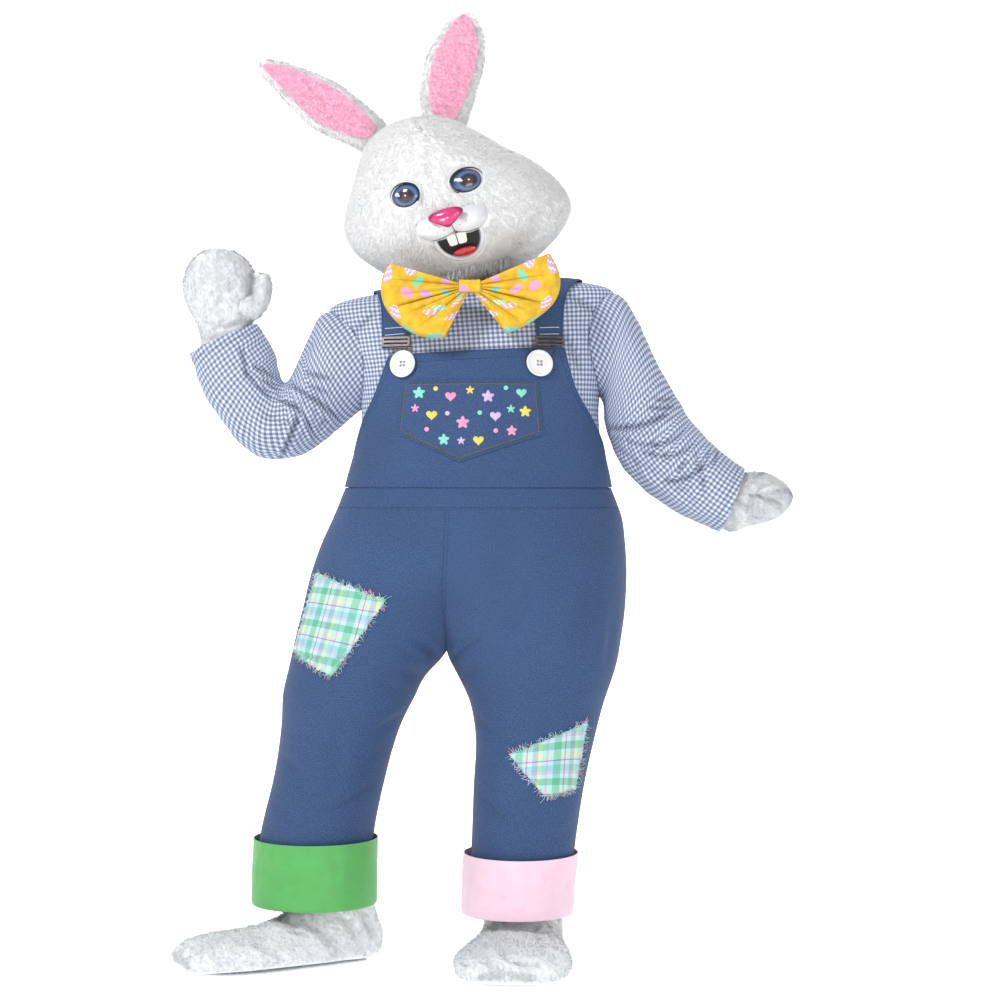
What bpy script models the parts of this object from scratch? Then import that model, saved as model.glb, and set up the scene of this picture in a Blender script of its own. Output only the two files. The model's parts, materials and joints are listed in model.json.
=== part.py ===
"""A worn bunny costume: plush head, bow tie, checked shirt, bib overalls, mitts and foot covers.

Every length is in metres. Tables give heights above the floor, and place() moves them to the
origin, which lies at the wearer's shoulders. X runs to the right seen from the front, the front
faces -Y and Z is up. Left and right are the viewer's.
"""
import bpy
import bmesh
import math
from collections import namedtuple
import numpy as np
from mathutils import Matrix, Vector

OBJECT_NAME = "bunny_costume"

# Height of the shoulders above the floor, where the wearer carries the costume
SHOULDER_HEIGHT = 1.37

# Cloth and plush thicknesses, with the pile of the plush counted in
SHIRT_CLOTH = 0.002
DENIM = 0.0025
FACING = 0.002
PLUSH = 0.007
THUMB_WALL = 0.004
HEAD_WALL = 0.010
FIT_GAP = 0.0003
CLEAR = 0.0006
SEAM_SETBACK = FIT_GAP / 2

# A section runs from point 1 to point 2 in the picture plane, and from front to back in depth
Section = namedtuple("Section", "x1 h1 x2 h2 front back")

# Shirt body from the tucked hem up to the neck seam
SHIRT = [
    Section(-0.252, 0.820, 0.262, 0.820, -0.172, 0.142),
    Section(-0.251, 0.885, 0.276, 0.885, -0.186, 0.150),
    Section(-0.250, 0.955, 0.284, 0.955, -0.198, 0.158),
    Section(-0.230, 1.035, 0.270, 1.035, -0.194, 0.154),
    Section(-0.221, 1.110, 0.263, 1.115, -0.180, 0.148),
    Section(-0.234, 1.185, 0.270, 1.200, -0.160, 0.142),
    Section(-0.262, 1.258, 0.284, 1.290, -0.136, 0.134),
    Section(-0.288, 1.310, 0.298, 1.347, -0.112, 0.120),
    Section(-0.280, 1.338, 0.284, 1.374, -0.094, 0.106),
    Section(-0.220, 1.356, 0.222, 1.386, -0.082, 0.096),
    Section(-0.142, 1.363, 0.142, 1.384, -0.074, 0.088),
    Section(-0.068, 1.366, 0.068, 1.380, -0.060, 0.074),
]

# Sleeves, from inside the shirt body out to the cuff
LEFT_SLEEVE = [
    Section(-0.225, 1.322, -0.180, 1.150, -0.070, 0.070),
    Section(-0.299, 1.322, -0.226, 1.122, -0.086, 0.082),
    Section(-0.329, 1.272, -0.277, 1.079, -0.092, 0.080),
    Section(-0.352, 1.220, -0.318, 1.047, -0.095, 0.072),
    Section(-0.366, 1.190, -0.361, 1.026, -0.098, 0.062),
    Section(-0.376, 1.180, -0.422, 1.026, -0.104, 0.052),
    Section(-0.385, 1.189, -0.466, 1.055, -0.110, 0.044),
    Section(-0.390, 1.210, -0.504, 1.102, -0.114, 0.036),
    Section(-0.397, 1.242, -0.541, 1.159, -0.116, 0.030),
    Section(-0.430, 1.297, -0.568, 1.235, -0.118, 0.026),
]
RIGHT_SLEEVE = [
    Section(0.232, 1.362, 0.205, 1.180, -0.070, 0.070),
    Section(0.305, 1.360, 0.266, 1.150, -0.088, 0.084),
    Section(0.342, 1.306, 0.276, 1.100, -0.100, 0.076),
    Section(0.380, 1.224, 0.286, 1.058, -0.114, 0.064),
    Section(0.414, 1.160, 0.306, 1.015, -0.126, 0.050),
    Section(0.438, 1.116, 0.338, 0.976, -0.138, 0.034),
    Section(0.464, 1.082, 0.382, 0.938, -0.150, 0.016),
    Section(0.505, 1.040, 0.440, 0.903, -0.160, 0.000),
    Section(0.552, 1.004, 0.502, 0.876, -0.166, -0.014),
]

# Trousers above the crotch. Split is 0 where the halves are one round and 1 where the legs part
Rise = namedtuple("Rise", "height left right seam_front seam_back split front back")
RISE = [
    Rise(0.975, -0.2505, 0.285, -0.042, 0.030, 0.00, -0.2035, 0.163),
    Rise(0.955, -0.257, 0.291, -0.042, 0.028, 0.00, -0.2050, 0.165),
    Rise(0.905, -0.278, 0.310, -0.043, 0.022, 0.18, -0.212, 0.172),
    Rise(0.850, -0.303, 0.317, -0.045, 0.014, 0.42, -0.215, 0.178),
    Rise(0.790, -0.324, 0.320, -0.048, 0.002, 0.56, -0.210, 0.180),
    Rise(0.720, -0.341, 0.317, -0.050, -0.016, 0.785, -0.196, 0.172),
    Rise(0.665, -0.355, 0.310, -0.048, -0.034, 0.915, -0.183, 0.160),
    Rise(0.634, -0.362, 0.305, -0.047, -0.045, 0.98, -0.177, 0.154),
    Rise(0.624, -0.364, 0.304, -0.047, -0.047, 1.00, -0.174, 0.152),
]

# Legs below the crotch: centre, half width and half depth of each round
Round = namedtuple("Round", "height x y half_width half_depth")
LEFT_LEG = [
    Round(0.617, -0.2070, -0.011, 0.1580, 0.162),
    Round(0.588, -0.2310, -0.010, 0.1410, 0.158),
    Round(0.545, -0.2460, -0.008, 0.1360, 0.150),
    Round(0.475, -0.2650, -0.006, 0.1210, 0.140),
    Round(0.380, -0.2860, -0.003, 0.1140, 0.130),
    Round(0.250, -0.3140, 0.000, 0.1160, 0.124),
    Round(0.130, -0.3180, 0.002, 0.1200, 0.122),
]
RIGHT_LEG = [
    Round(0.617, 0.1290, -0.011, 0.1745, 0.162),
    Round(0.588, 0.1340, -0.014, 0.1610, 0.158),
    Round(0.530, 0.1370, -0.018, 0.1370, 0.150),
    Round(0.452, 0.1330, -0.022, 0.1205, 0.138),
    Round(0.354, 0.1200, -0.026, 0.1120, 0.128),
    Round(0.227, 0.1080, -0.030, 0.1050, 0.120),
    Round(0.120, 0.0980, -0.031, 0.1060, 0.116),
]

# Waistband and leg heights on the trousers' surface
WAIST_TOP = 0.965
WAIST_SEAM = 0.922

# Turned-up cuffs: from under the leg's edge down, out round the fold and up
LEFT_CUFF = [
    Round(0.1296, -0.3180, 0.002, 0.1176, 0.1196),
    Round(0.1215, -0.3182, 0.002, 0.1185, 0.1210),
    Round(0.1180, -0.3185, 0.002, 0.1240, 0.1260),
    Round(0.1220, -0.3190, 0.002, 0.1285, 0.1305),
    Round(0.1850, -0.3185, 0.001, 0.1285, 0.1330),
    Round(0.2500, -0.3160, 0.000, 0.1275, 0.1360),
]
RIGHT_CUFF = [
    Round(0.1196, 0.0980, -0.031, 0.1036, 0.1136),
    Round(0.1090, 0.0978, -0.031, 0.1045, 0.1150),
    Round(0.1045, 0.0975, -0.031, 0.1100, 0.1210),
    Round(0.1085, 0.0970, -0.031, 0.1145, 0.1265),
    Round(0.1650, 0.0990, -0.031, 0.1155, 0.1290),
    Round(0.2240, 0.1040, -0.031, 0.1170, 0.1320),
]

# Bib edges as angles round the shirt, 180 at the left side seam, 270 front and 360 right
Edge = namedtuple("Edge", "height left right")
FRONT_BIB = [
    Edge(0.9653, 180.0, 360.0),
    Edge(1.030, 184.5, 356.5),
    Edge(1.090, 194.0, 339.0),
    Edge(1.155, 213.0, 321.0),
    Edge(1.236, 229.0, 311.0),
]
BACK_BIB = [
    Edge(0.9653, 180.0, 0.0),
    Edge(1.030, 168.0, 12.0),
    Edge(1.090, 145.0, 35.0),
    Edge(1.200, 116.0, 64.0),
]
BIB_EASE = 0.0045
SIDE_SETBACK = 0.04

# Straps: where each crosses the bib, the shoulder and the back, and its width
Strap = namedtuple("Strap", "x_front x_top x_back h_front h_back")
STRAP_WIDTH = 0.052
STRAP_ROWS = 17
STRAP_COLUMNS = 3
STRAPS = {
    "left": Strap(-0.146, -0.172, -0.060, 1.2525, 1.2005),
    "right": Strap(0.158, 0.205, 0.090, 1.2375, 1.2005),
}
STRAP_EASE = 0.0055
SHOULDER_EASE = 0.0006
TOP_SHARE = 0.30

# Hardware on the bib's top corners
Corner = namedtuple("Corner", "x button_x")
CORNERS = {
    "left": Corner(-0.143, -0.1265),
    "right": Corner(0.158, 0.1350),
}
BUTTON_HEIGHT = 1.209
BUTTON_RADIUS = 0.0275
BUTTON_THICK = 0.006
BUTTON_HOLE = 0.0026
BUTTON_HOLE_SPACING = 0.0048
WIRE = 0.0030
ADJUSTER_WIDTH = 0.060
ADJUSTER_HEIGHT = 0.020
ADJUSTER_BAR = 0.0042
ADJUSTER_THICK = 0.0032
ADJUSTER_AT = 1.2545
HOOK_LIFT = -0.0003
HOOK_BELOW_BUTTON = 0.012
HOOK_CLEAR = 0.0006
# The hook's wire: across, towards its top (1) or bottom (-1), and how far in from that end
Bend = namedtuple("Bend", "across end inset")
HOOK_BENDS = [
    Bend(-0.022, 1, 0.0), Bend(0.022, 1, 0.0), Bend(0.026, 1, 0.004), Bend(0.010, -1, 0.004),
    Bend(0.006, -1, 0.0), Bend(-0.006, -1, 0.0), Bend(-0.010, -1, 0.004), Bend(-0.026, 1, 0.004),
]

# Pocket panel and patches, as corners in the front view
Spot = namedtuple("Spot", "x h")
POCKET = [
    Spot(-0.1290, 1.175),
    Spot(0.1350, 1.175),
    Spot(0.1430, 1.068),
    Spot(-0.1380, 1.070),
]
POCKET_POINT = Spot(-0.018, 1.014)
LEFT_PATCH = [
    Spot(-0.3060, 0.792),
    Spot(-0.1630, 0.744),
    Spot(-0.2720, 0.590),
    Spot(-0.3560, 0.634),
]
RIGHT_PATCH = [
    Spot(0.0800, 0.435),
    Spot(0.2350, 0.497),
    Spot(0.2120, 0.362),
    Spot(0.1500, 0.352),
]
PATCH_CLOTH = 0.0014
# How near and how far the outlines are cut through
POCKET_DEPTHS = (-0.30, -0.05)
PATCH_DEPTHS = (-0.30, -0.02)
LINING_DEPTHS = (-0.20, 0.02)

# Head in its own frame: x1 and x2 are its left and right, h is up, all from its centre
HEAD_CENTRE = (-0.027, 1.545)
HEAD_ROLL = 15.0
FACE_YAW = 9.5
HEAD = [
    Section(-0.085, -0.146, 0.090, -0.150, -0.084, 0.104),
    Section(-0.120, -0.138, 0.132, -0.143, -0.116, 0.130),
    Section(-0.156, -0.120, 0.172, -0.122, -0.148, 0.154),
    Section(-0.190, -0.088, 0.206, -0.096, -0.174, 0.172),
    Section(-0.226, -0.046, 0.227, -0.060, -0.194, 0.184),
    Section(-0.238, 0.002, 0.215, -0.012, -0.203, 0.190),
    Section(-0.222, 0.050, 0.180, 0.038, -0.198, 0.186),
    Section(-0.194, 0.095, 0.130, 0.082, -0.184, 0.174),
    Section(-0.172, 0.134, 0.086, 0.126, -0.160, 0.154),
    Section(-0.146, 0.166, 0.052, 0.158, -0.126, 0.124),
    Section(-0.108, 0.187, 0.016, 0.181, -0.080, 0.082),
    Section(-0.072, 0.1955, -0.026, 0.1935, -0.030, 0.032),
]
HEAD_SEAMS = {"head_back": (22.0, 158.0), "head_face_left": (158.0, 277.0), "head_face_right": (277.0, 382.0)}
CROWN = (-0.049, 0.001, 0.1965)
CROWN_SETBACK = 0.0012

# Ears in the picture plane from the head out to the tip
LEFT_EAR = [
    Section(-0.160, 1.700, -0.218, 1.648, -0.020, 0.026),
    Section(-0.180, 1.724, -0.246, 1.665, -0.022, 0.030),
    Section(-0.215, 1.755, -0.288, 1.684, -0.021, 0.032),
    Section(-0.262, 1.792, -0.334, 1.709, -0.017, 0.034),
    Section(-0.320, 1.821, -0.374, 1.750, -0.012, 0.034),
    Section(-0.378, 1.843, -0.406, 1.786, -0.006, 0.030),
    Section(-0.418, 1.851, -0.431, 1.810, 0.000, 0.022),
    Section(-0.436, 1.840, -0.441, 1.820, 0.005, 0.016),
]
RIGHT_EAR = [
    Section(-0.096, 1.700, -0.012, 1.680, -0.020, 0.026),
    Section(-0.102, 1.735, -0.002, 1.716, -0.024, 0.030),
    Section(-0.105, 1.787, 0.014, 1.768, -0.024, 0.032),
    Section(-0.093, 1.845, 0.030, 1.828, -0.019, 0.034),
    Section(-0.075, 1.886, 0.034, 1.876, -0.012, 0.034),
    Section(-0.054, 1.918, 0.025, 1.914, -0.006, 0.030),
    Section(-0.033, 1.937, 0.009, 1.937, 0.000, 0.022),
    Section(-0.020, 1.944, -0.006, 1.944, 0.005, 0.016),
]
EAR_LINING = 0.002
LINING_WIDTH = 0.70
LINING_START = 0.15
LINING_END = 0.86

# Features in the face frame: sideways and up from the head's centre, out from its surface
Feature = namedtuple("Feature", "side up out wide tall deep roll")
EYES = {
    "left": Feature(-0.0635, 0.021, -0.007, 0.0310, 0.0245, 0.017, 4.0),
    "right": Feature(0.0595, 0.017, -0.007, 0.0330, 0.0245, 0.017, -4.0),
}
EYE_RIM = 0.0030
LOBES = [
    Feature(-0.0210, -0.057, -0.010, 0.0450, 0.0270, 0.044, 5.0),
    Feature(0.0440, -0.057, -0.010, 0.0410, 0.0270, 0.044, -8.0),
    Feature(0.0110, -0.050, -0.010, 0.0300, 0.0240, 0.048, 0.0),
]
NOSE = Feature(0.0080, -0.0435, 0.033, 0.0330, 0.0180, 0.015, 0.0)
NOSE_TAPER = 0.45
MOUTH = Feature(0.0135, -0.082, 0.0, 0.0470, 0.0420, 0.0, 0.0)
LIP_RADIUS = 0.0050
LIP_ARC = (163.0, 377.0)
TONGUE = Feature(0.0170, -0.1080, 0.0086, 0.0240, 0.0105, 0.006, 0.0)
TEETH = Feature(0.0120, -0.0860, 0.0130, 0.0220, 0.0150, 0.005, 0.0)
MOUTH_LINING_AT = (0.0009, 0.0025)
LINING_ARC = (188.0, 352.0)
LINING_INSET = 0.0012
LINING_RISE = 0.010
LINING_COLUMNS = 11
LINING_ROWS = 4

# Bow tie: the reach of each wing from the knot along a set of directions
BOW_CENTRE = (0.002, -0.178, 1.362)
Reach = namedtuple("Reach", "angle reach")
BOW_WINGS = {
    "left": [Reach(165, 0.166), Reach(177, 0.175), Reach(191, 0.174), Reach(207, 0.160), Reach(226, 0.138),
             Reach(244, 0.112)],
    "right": [Reach(22, 0.171), Reach(6, 0.179), Reach(-8, 0.173), Reach(-26, 0.146), Reach(-40, 0.129),
              Reach(-52, 0.118)],
}
BOW_TIP_PUFF = 0.0065
BOW_PUFF = 0.0192
BOW_PUFF_SHAPE = 0.8
BOW_TIP_ROUNDING = 5.0
BOW_REACH_SHAPE = 0.85
BOW_PLEAT = 0.0105
BOW_PLEAT_SHAPE = 1.5
BOW_PLEATS = 3.5
BOW_START = 0.010
BOW_CLOTH = 0.002
KNOT_SIZE = (0.0225, 0.0150, 0.0140)
KNOT_ROUNDING = 0.004
KNOT_CUTTER_ROUNDING = 0.0036
BAND_STEPS = 24
BOW_BAND_HALF = 0.104
BOW_BAND_FRONT = -0.1625
BOW_BAND_BACK = 0.098
BOW_BAND_HEIGHT = 1.3748
BOW_BAND_DROP = 0.015
BOW_BAND_LEAN = 0.0865
BOW_BAND_TALL = 0.008
BOW_BAND_CLOTH = 0.0015
NECKBAND = [
    Section(-0.0680, 1.3666, 0.0680, 1.3806, -0.0600, 0.0740),
    Section(-0.0700, 1.3840, 0.0665, 1.3980, -0.0585, 0.0720),
]

# Mitts: palm and back as one closed tube, split down its edges
LEFT_MITT = [
    Section(-0.4163, 1.2681, -0.5517, 1.1984, -0.1138, 0.0253),
    Section(-0.4380, 1.292, -0.5480, 1.262, -0.094, 0.008),
    Section(-0.4340, 1.312, -0.5590, 1.300, -0.092, 0.010),
    Section(-0.4300, 1.342, -0.5780, 1.336, -0.092, 0.014),
    Section(-0.4300, 1.376, -0.5850, 1.374, -0.098, 0.016),
    Section(-0.4360, 1.406, -0.5780, 1.404, -0.110, 0.010),
    Section(-0.4520, 1.430, -0.5600, 1.430, -0.122, -0.006),
    Section(-0.4740, 1.444, -0.5360, 1.444, -0.124, -0.030),
]
RIGHT_MITT = [
    Section(0.5270, 1.0187, 0.4725, 0.8928, -0.1602, -0.0098),
    Section(0.5500, 0.9985, 0.5042, 0.8815, -0.1600, -0.0200),
    Section(0.5740, 0.9985, 0.5330, 0.8750, -0.168, -0.028),
    Section(0.5980, 0.9950, 0.5620, 0.8880, -0.176, -0.030),
    Section(0.6200, 0.9840, 0.5930, 0.8940, -0.178, -0.036),
    Section(0.6380, 0.9690, 0.6220, 0.9080, -0.170, -0.048),
    Section(0.6460, 0.9540, 0.6380, 0.9240, -0.150, -0.070),
]
LEFT_THUMB = [
    Section(-0.4700, 1.300, -0.4600, 1.356, -0.084, -0.030),
    Section(-0.4300, 1.306, -0.4400, 1.356, -0.094, -0.038),
    Section(-0.4060, 1.334, -0.4380, 1.366, -0.104, -0.050),
    Section(-0.3980, 1.368, -0.4340, 1.378, -0.110, -0.058),
    Section(-0.4020, 1.392, -0.4270, 1.394, -0.108, -0.068),
]
RIGHT_THUMB = [
    Section(0.5560, 0.9530, 0.5500, 0.9090, -0.176, -0.128),
    Section(0.5740, 0.9480, 0.5660, 0.9080, -0.196, -0.146),
    Section(0.5960, 0.9400, 0.5900, 0.9060, -0.204, -0.160),
    Section(0.6140, 0.9320, 0.6090, 0.9080, -0.200, -0.168),
]

# Rounded ends: how far they reach out, how near their halves come, and how much the inside narrows
MITT_TIP = 0.006
TIP_APART = 0.0004
MITT_TIP_NARROWING = 0.7
THUMB_TIP_NARROWING = 0.6
TOE_TIP = 0.003
TOE_TIP_NARROWING = 0.5
CAP_REACH = 0.25
CAP_REACH_INSIDE = 0.3

# Foot covers in their own side view: x runs from heel to toe, front and back are the two sides
FOOT = [
    Section(0.037, 0.200, 0.150, 0.215, -0.070, 0.070),
    Section(0.0292, 0.150, 0.158, 0.170, -0.069, 0.069),
    Section(0.0236, 0.104, 0.170, 0.140, -0.068, 0.068),
    Section(0.006, 0.050, 0.196, 0.112, -0.070, 0.070),
    Section(0.024, 0.004, 0.228, 0.094, -0.074, 0.074),
    Section(0.110, 0.000, 0.268, 0.081, -0.086, 0.086),
    Section(0.210, 0.000, 0.312, 0.074, -0.098, 0.098),
    Section(0.300, 0.000, 0.362, 0.070, -0.104, 0.104),
    Section(0.378, 0.000, 0.408, 0.062, -0.096, 0.096),
    Section(0.424, 0.001, 0.432, 0.052, -0.078, 0.078),
    Section(0.442, 0.008, 0.447, 0.040, -0.052, 0.052),
]
SOLE = 0.003
SOLE_INSET = 0.006
# The foot's widest line near the floor: how far along from the heel, and half its width
Span = namedtuple("Span", "along half")
SOLE_SPANS = [
    Span(0.026, 0.060), Span(0.070, 0.066), Span(0.130, 0.074), Span(0.210, 0.086),
    Span(0.290, 0.093), Span(0.350, 0.090), Span(0.400, 0.074), Span(0.430, 0.044),
]
Stand = namedtuple("Stand", "heel_x heel_y heading length width")
FEET = {
    "left": Stand(-0.186, 0.040, 206.0, 0.975, 1.0),
    "right": Stand(0.1176, 0.09868, 264.0, 0.925, 1.13),
}

# Steps round and along, coarse enough for a light model
BODY_STEPS = 24
BODY_ROWS = 12
SLEEVE_STEPS = 12
SLEEVE_ROWS = 10
LEG_STEPS = 18
LEG_ROWS_ABOVE = 8
LEG_ROWS_BELOW = 6
BIB_COLUMNS = 14
BIB_ROWS = 8
HEAD_STEPS = 24
HEAD_ROWS = 12
EAR_STEPS = 12
EAR_ROWS = 9
MITT_STEPS = 12
MITT_ROWS = 9
FOOT_STEPS = 14
FOOT_ROWS = 10
CUFF_STEPS = 18
BOW_COLUMNS = 9
BOW_ROWS = 10


def remove_everything():
    for item in list(bpy.data.objects):
        bpy.data.objects.remove(item, do_unlink=True)


def new_collection(name):
    made = bpy.data.collections.new(name)
    bpy.context.scene.collection.children.link(made)
    return made


def material(name, colour, roughness, metallic=0.0):
    made = bpy.data.materials.new(name)
    made.use_nodes = True
    shader = made.node_tree.nodes["Principled BSDF"]
    shader.inputs["Base Color"].default_value = (*colour, 1.0)
    shader.inputs["Roughness"].default_value = roughness
    shader.inputs["Metallic"].default_value = metallic
    return made


def place(points):
    """Heights above the floor become heights above the shoulders."""
    moved = np.array(points, dtype=float)
    moved[..., 2] -= SHOULDER_HEIGHT
    return moved


def at(rows, v):
    """The table read at a fraction of its length, on a smooth curve through its rows."""
    last = len(rows) - 1
    place_in = min(max(v, 0.0), 1.0) * last
    i = min(int(place_in), last - 1)
    t = place_in - i
    before, here, after, beyond = (np.array(rows[min(max(k, 0), last)]) for k in (i - 1, i, i + 1, i + 2))
    if i == 0:
        before = 2 * here - after
    if i == last - 1:
        beyond = 2 * after - here
    slope_in = (after - before) / 2
    slope_out = (beyond - here) / 2
    values = (2 * t**3 - 3 * t**2 + 1) * here + (t**3 - 2 * t**2 + t) * slope_in
    values = values + (3 * t**2 - 2 * t**3) * after + (t**3 - t**2) * slope_out
    return type(rows[0])(*values)


def fraction_at(rows, value, column="height"):
    """The fraction of the table where a rising or falling column has a value."""
    low, high = 0.0, 1.0
    rising = getattr(rows[-1], column) > getattr(rows[0], column)
    for _ in range(40):
        middle = (low + high) / 2
        if (getattr(at(rows, middle), column) < value) == rising:
            low = middle
        else:
            high = middle
    return (low + high) / 2


def section_point(rows, angle, v):
    """A point of a tube: angle 180 is point 1, 0 is point 2, 270 the front and 90 the back."""
    row = at(rows, v)
    turn = math.radians(angle)
    across = math.cos(turn)
    depth = math.sin(turn)
    side_y = (row.front + row.back) / 2
    half_depth = (row.back - row.front) / 2
    x = (row.x1 + row.x2) / 2 + across * (row.x2 - row.x1) / 2
    h = (row.h1 + row.h2) / 2 + across * (row.h2 - row.h1) / 2
    return np.array((x, side_y + depth * half_depth, h))


def section_centre(rows, v):
    row = at(rows, v)
    return np.array(((row.x1 + row.x2) / 2, (row.front + row.back) / 2, (row.h1 + row.h2) / 2))


def turn_sign(rows):
    """1 where a table's sections face along its length, -1 where they face back."""
    row = at(rows, 0.5)
    ahead = section_centre(rows, 0.55) - section_centre(rows, 0.45)
    facing = np.cross((row.x2 - row.x1, 0.0, row.h2 - row.h1), (0.0, 1.0, 0.0))
    return 1 if np.dot(ahead, facing) > 0 else -1


def normal_at(point, sign, u, v, u_step=0.5, v_step=0.004):
    """The outward normal of a surface, from nearby points of it."""
    v0 = max(v - v_step, 0.0)
    v1 = min(v + v_step, 1.0)
    along_u = point(u + u_step, v) - point(u - u_step, v)
    along_v = point(u, v1) - point(u, v0)
    normal = sign * np.cross(along_u, along_v)
    return normal / max(np.linalg.norm(normal), 1e-12)


def skin(point, sign, us, vs, lift, seams=(False, False)):
    """Grid of points moved out by lift, the seamed edges set back along the surface."""
    grid = np.zeros((len(vs), len(us), 3))
    for j, v in enumerate(vs):
        for i, u in enumerate(us):
            angle = u[j] if hasattr(u, "__len__") else u
            if (i == 0 and seams[0]) or (i == len(us) - 1 and seams[1]):
                pace = np.linalg.norm(point(angle + 0.5, v) - point(angle - 0.5, v))
                angle = angle + (1 if i == 0 else -1) * SEAM_SETBACK / max(pace, 1e-5)
            grid[j, i] = point(angle, v) + lift * normal_at(point, sign, angle, v)
    return grid


def mesh_object(name, verts, faces, look, home):
    mesh = bpy.data.meshes.new(name)
    mesh.from_pydata([tuple(v) for v in verts], [], faces)
    mesh.validate()
    bm = bmesh.new()
    bm.from_mesh(mesh)
    bmesh.ops.recalc_face_normals(bm, faces=bm.faces)
    bm.to_mesh(mesh)
    bm.free()
    made = bpy.data.objects.new(name, mesh)
    home.objects.link(made)
    if look is not None:
        mesh.materials.append(look)
    mesh.shade_smooth()
    mesh.set_sharp_from_angle(angle=math.radians(40))
    return made


def wall(name, outer, inner, look, home, closed=False, tips=None):
    """A cloth wall between two grids. tips gives the outer and inner point that close its end."""
    rows, columns = outer.shape[:2]
    count = rows * columns
    verts = list(outer.reshape(-1, 3)) + list(inner.reshape(-1, 3))
    faces = []
    spans = columns if closed else columns - 1
    for j in range(rows - 1):
        for i in range(spans):
            a = j * columns + i
            b = j * columns + (i + 1) % columns
            c = (j + 1) * columns + (i + 1) % columns
            d = (j + 1) * columns + i
            faces += [(a, b, c), (a, c, d)]
            faces += [(a + count, c + count, b + count), (a + count, d + count, c + count)]
    end = (rows - 1) * columns
    for i in range(spans):
        a, b = i, (i + 1) % columns
        faces.append((a, a + count, b + count, b))
        if tips is None:
            faces.append((end + a, end + b, end + b + count, end + a + count))
    if tips is not None:
        verts += [tips[0], tips[1]]
        top, under = 2 * count, 2 * count + 1
        for i in range(spans):
            a, b = end + i, end + (i + 1) % columns
            faces.append((a, b, top))
            faces.append((a + count, under, b + count))
    if not closed:
        last = columns - 1
        for j in range(rows - 1):
            a, d = j * columns, (j + 1) * columns
            faces.append((a, d, d + count, a + count))
            faces.append((a + last, a + last + count, d + last + count, d + last))
        if tips is not None:
            faces.append((end, top, under, end + count))
            faces.append((end + last, end + last + count, under, top))
    return mesh_object(name, place(np.array(verts)), faces, look, home)


def tube(name, rows, thickness, v_range, steps, look, home, u_steps, lift=0.0, tip=False):
    """A hollow tube through a table of sections, open at its start, open or closed at its end."""
    us = [360.0 * k / u_steps for k in range(u_steps)]
    vs = np.linspace(v_range[0], v_range[1], steps)
    point = lambda u, v: section_point(rows, u, v)
    sign = turn_sign(rows)
    outer = skin(point, sign, us, vs, lift)
    inner = skin(point, sign, us, vs, lift - thickness)
    tips = None
    if tip:
        middle = outer[-1].mean(axis=0)
        ahead = middle - outer[-2].mean(axis=0)
        ahead = ahead / np.linalg.norm(ahead)
        reach = CAP_REACH * np.linalg.norm(outer[-1] - middle, axis=1).mean()
        inner[-1] = middle + (inner[-1] - middle) * THUMB_TIP_NARROWING - ahead * thickness
        tips = (middle + ahead * reach, middle - ahead * (thickness - reach * CAP_REACH_INSIDE))
    return wall(name, outer, inner, look, home, closed=True, tips=tips)


def plug(name, rows, v_range, steps, look, home, u_steps, lift=0.0):
    """A filled tube through a table of sections, closed by a low cone at each end."""
    us = [360.0 * k / u_steps for k in range(u_steps)]
    vs = np.linspace(v_range[0], v_range[1], steps)
    point = lambda u, v: section_point(rows, u, v)
    grid = skin(point, turn_sign(rows), us, vs, lift)
    return closed_grid(name, grid, look, home)


def closed_grid(name, grid, look, home):
    rows, columns = grid.shape[:2]
    verts = list(grid.reshape(-1, 3))
    faces = []
    for j in range(rows - 1):
        for i in range(columns):
            a = j * columns + i
            b = j * columns + (i + 1) % columns
            faces += [(a, b, b + columns), (a, b + columns, a + columns)]
    for j, other in ((0, 1), (rows - 1, rows - 2)):
        middle = grid[j].mean(axis=0)
        ahead = middle - grid[other].mean(axis=0)
        ahead = ahead / np.linalg.norm(ahead)
        reach = CAP_REACH * np.linalg.norm(grid[j] - middle, axis=1).mean()
        tip = len(verts)
        verts.append(middle + ahead * reach)
        for i in range(columns):
            faces.append((j * columns + i, j * columns + (i + 1) % columns, tip))
    return mesh_object(name, place(np.array(verts)), faces, look, home)


def as_cutter(item):
    item.hide_render = True
    item.display_type = "WIRE"
    return item


def cut(item, cutter, operation="DIFFERENCE"):
    step = item.modifiers.new("cut", "BOOLEAN")
    step.operation = operation
    step.solver = "EXACT"
    step.object = cutter


def shirt_point(angle, v):
    return section_point(SHIRT, angle, v)


def make_shirt(looks, parts, cutters):
    vs = np.linspace(0.0, 1.0, BODY_ROWS)
    half = BODY_STEPS // 2
    made = []
    for name, start in (("shirt_front", 180.0), ("shirt_back", 0.0)):
        us = [start + 180.0 * k / half for k in range(half + 1)]
        outer = skin(shirt_point, 1, us, vs, 0.0, (True, True))
        inner = skin(shirt_point, 1, us, vs, -SHIRT_CLOTH, (True, True))
        made.append(wall(name, outer, inner, looks["gingham"], parts))
    grown = as_cutter(plug("shirt_cutter", SHIRT, (0.0, 1.0), BODY_ROWS, None, cutters, BODY_STEPS, FIT_GAP))
    for side, rows in (("left", LEFT_SLEEVE), ("right", RIGHT_SLEEVE)):
        name = "sleeve_" + side
        sleeve = tube(name, rows, SHIRT_CLOTH, (0.0, 1.0), SLEEVE_ROWS, looks["gingham"], parts, SLEEVE_STEPS)
        cut(sleeve, grown)
        hole = plug(name + "_cutter", rows, (0.0, 0.30), 5, None, cutters, SLEEVE_STEPS, -SHIRT_CLOTH / 2)
        as_cutter(hole)
        for panel in made:
            cut(panel, hole)
    tube("shirt_neckband", NECKBAND, SHIRT_CLOTH, (0.0, 1.0), 2, looks["gingham"], parts, BODY_STEPS)


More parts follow.
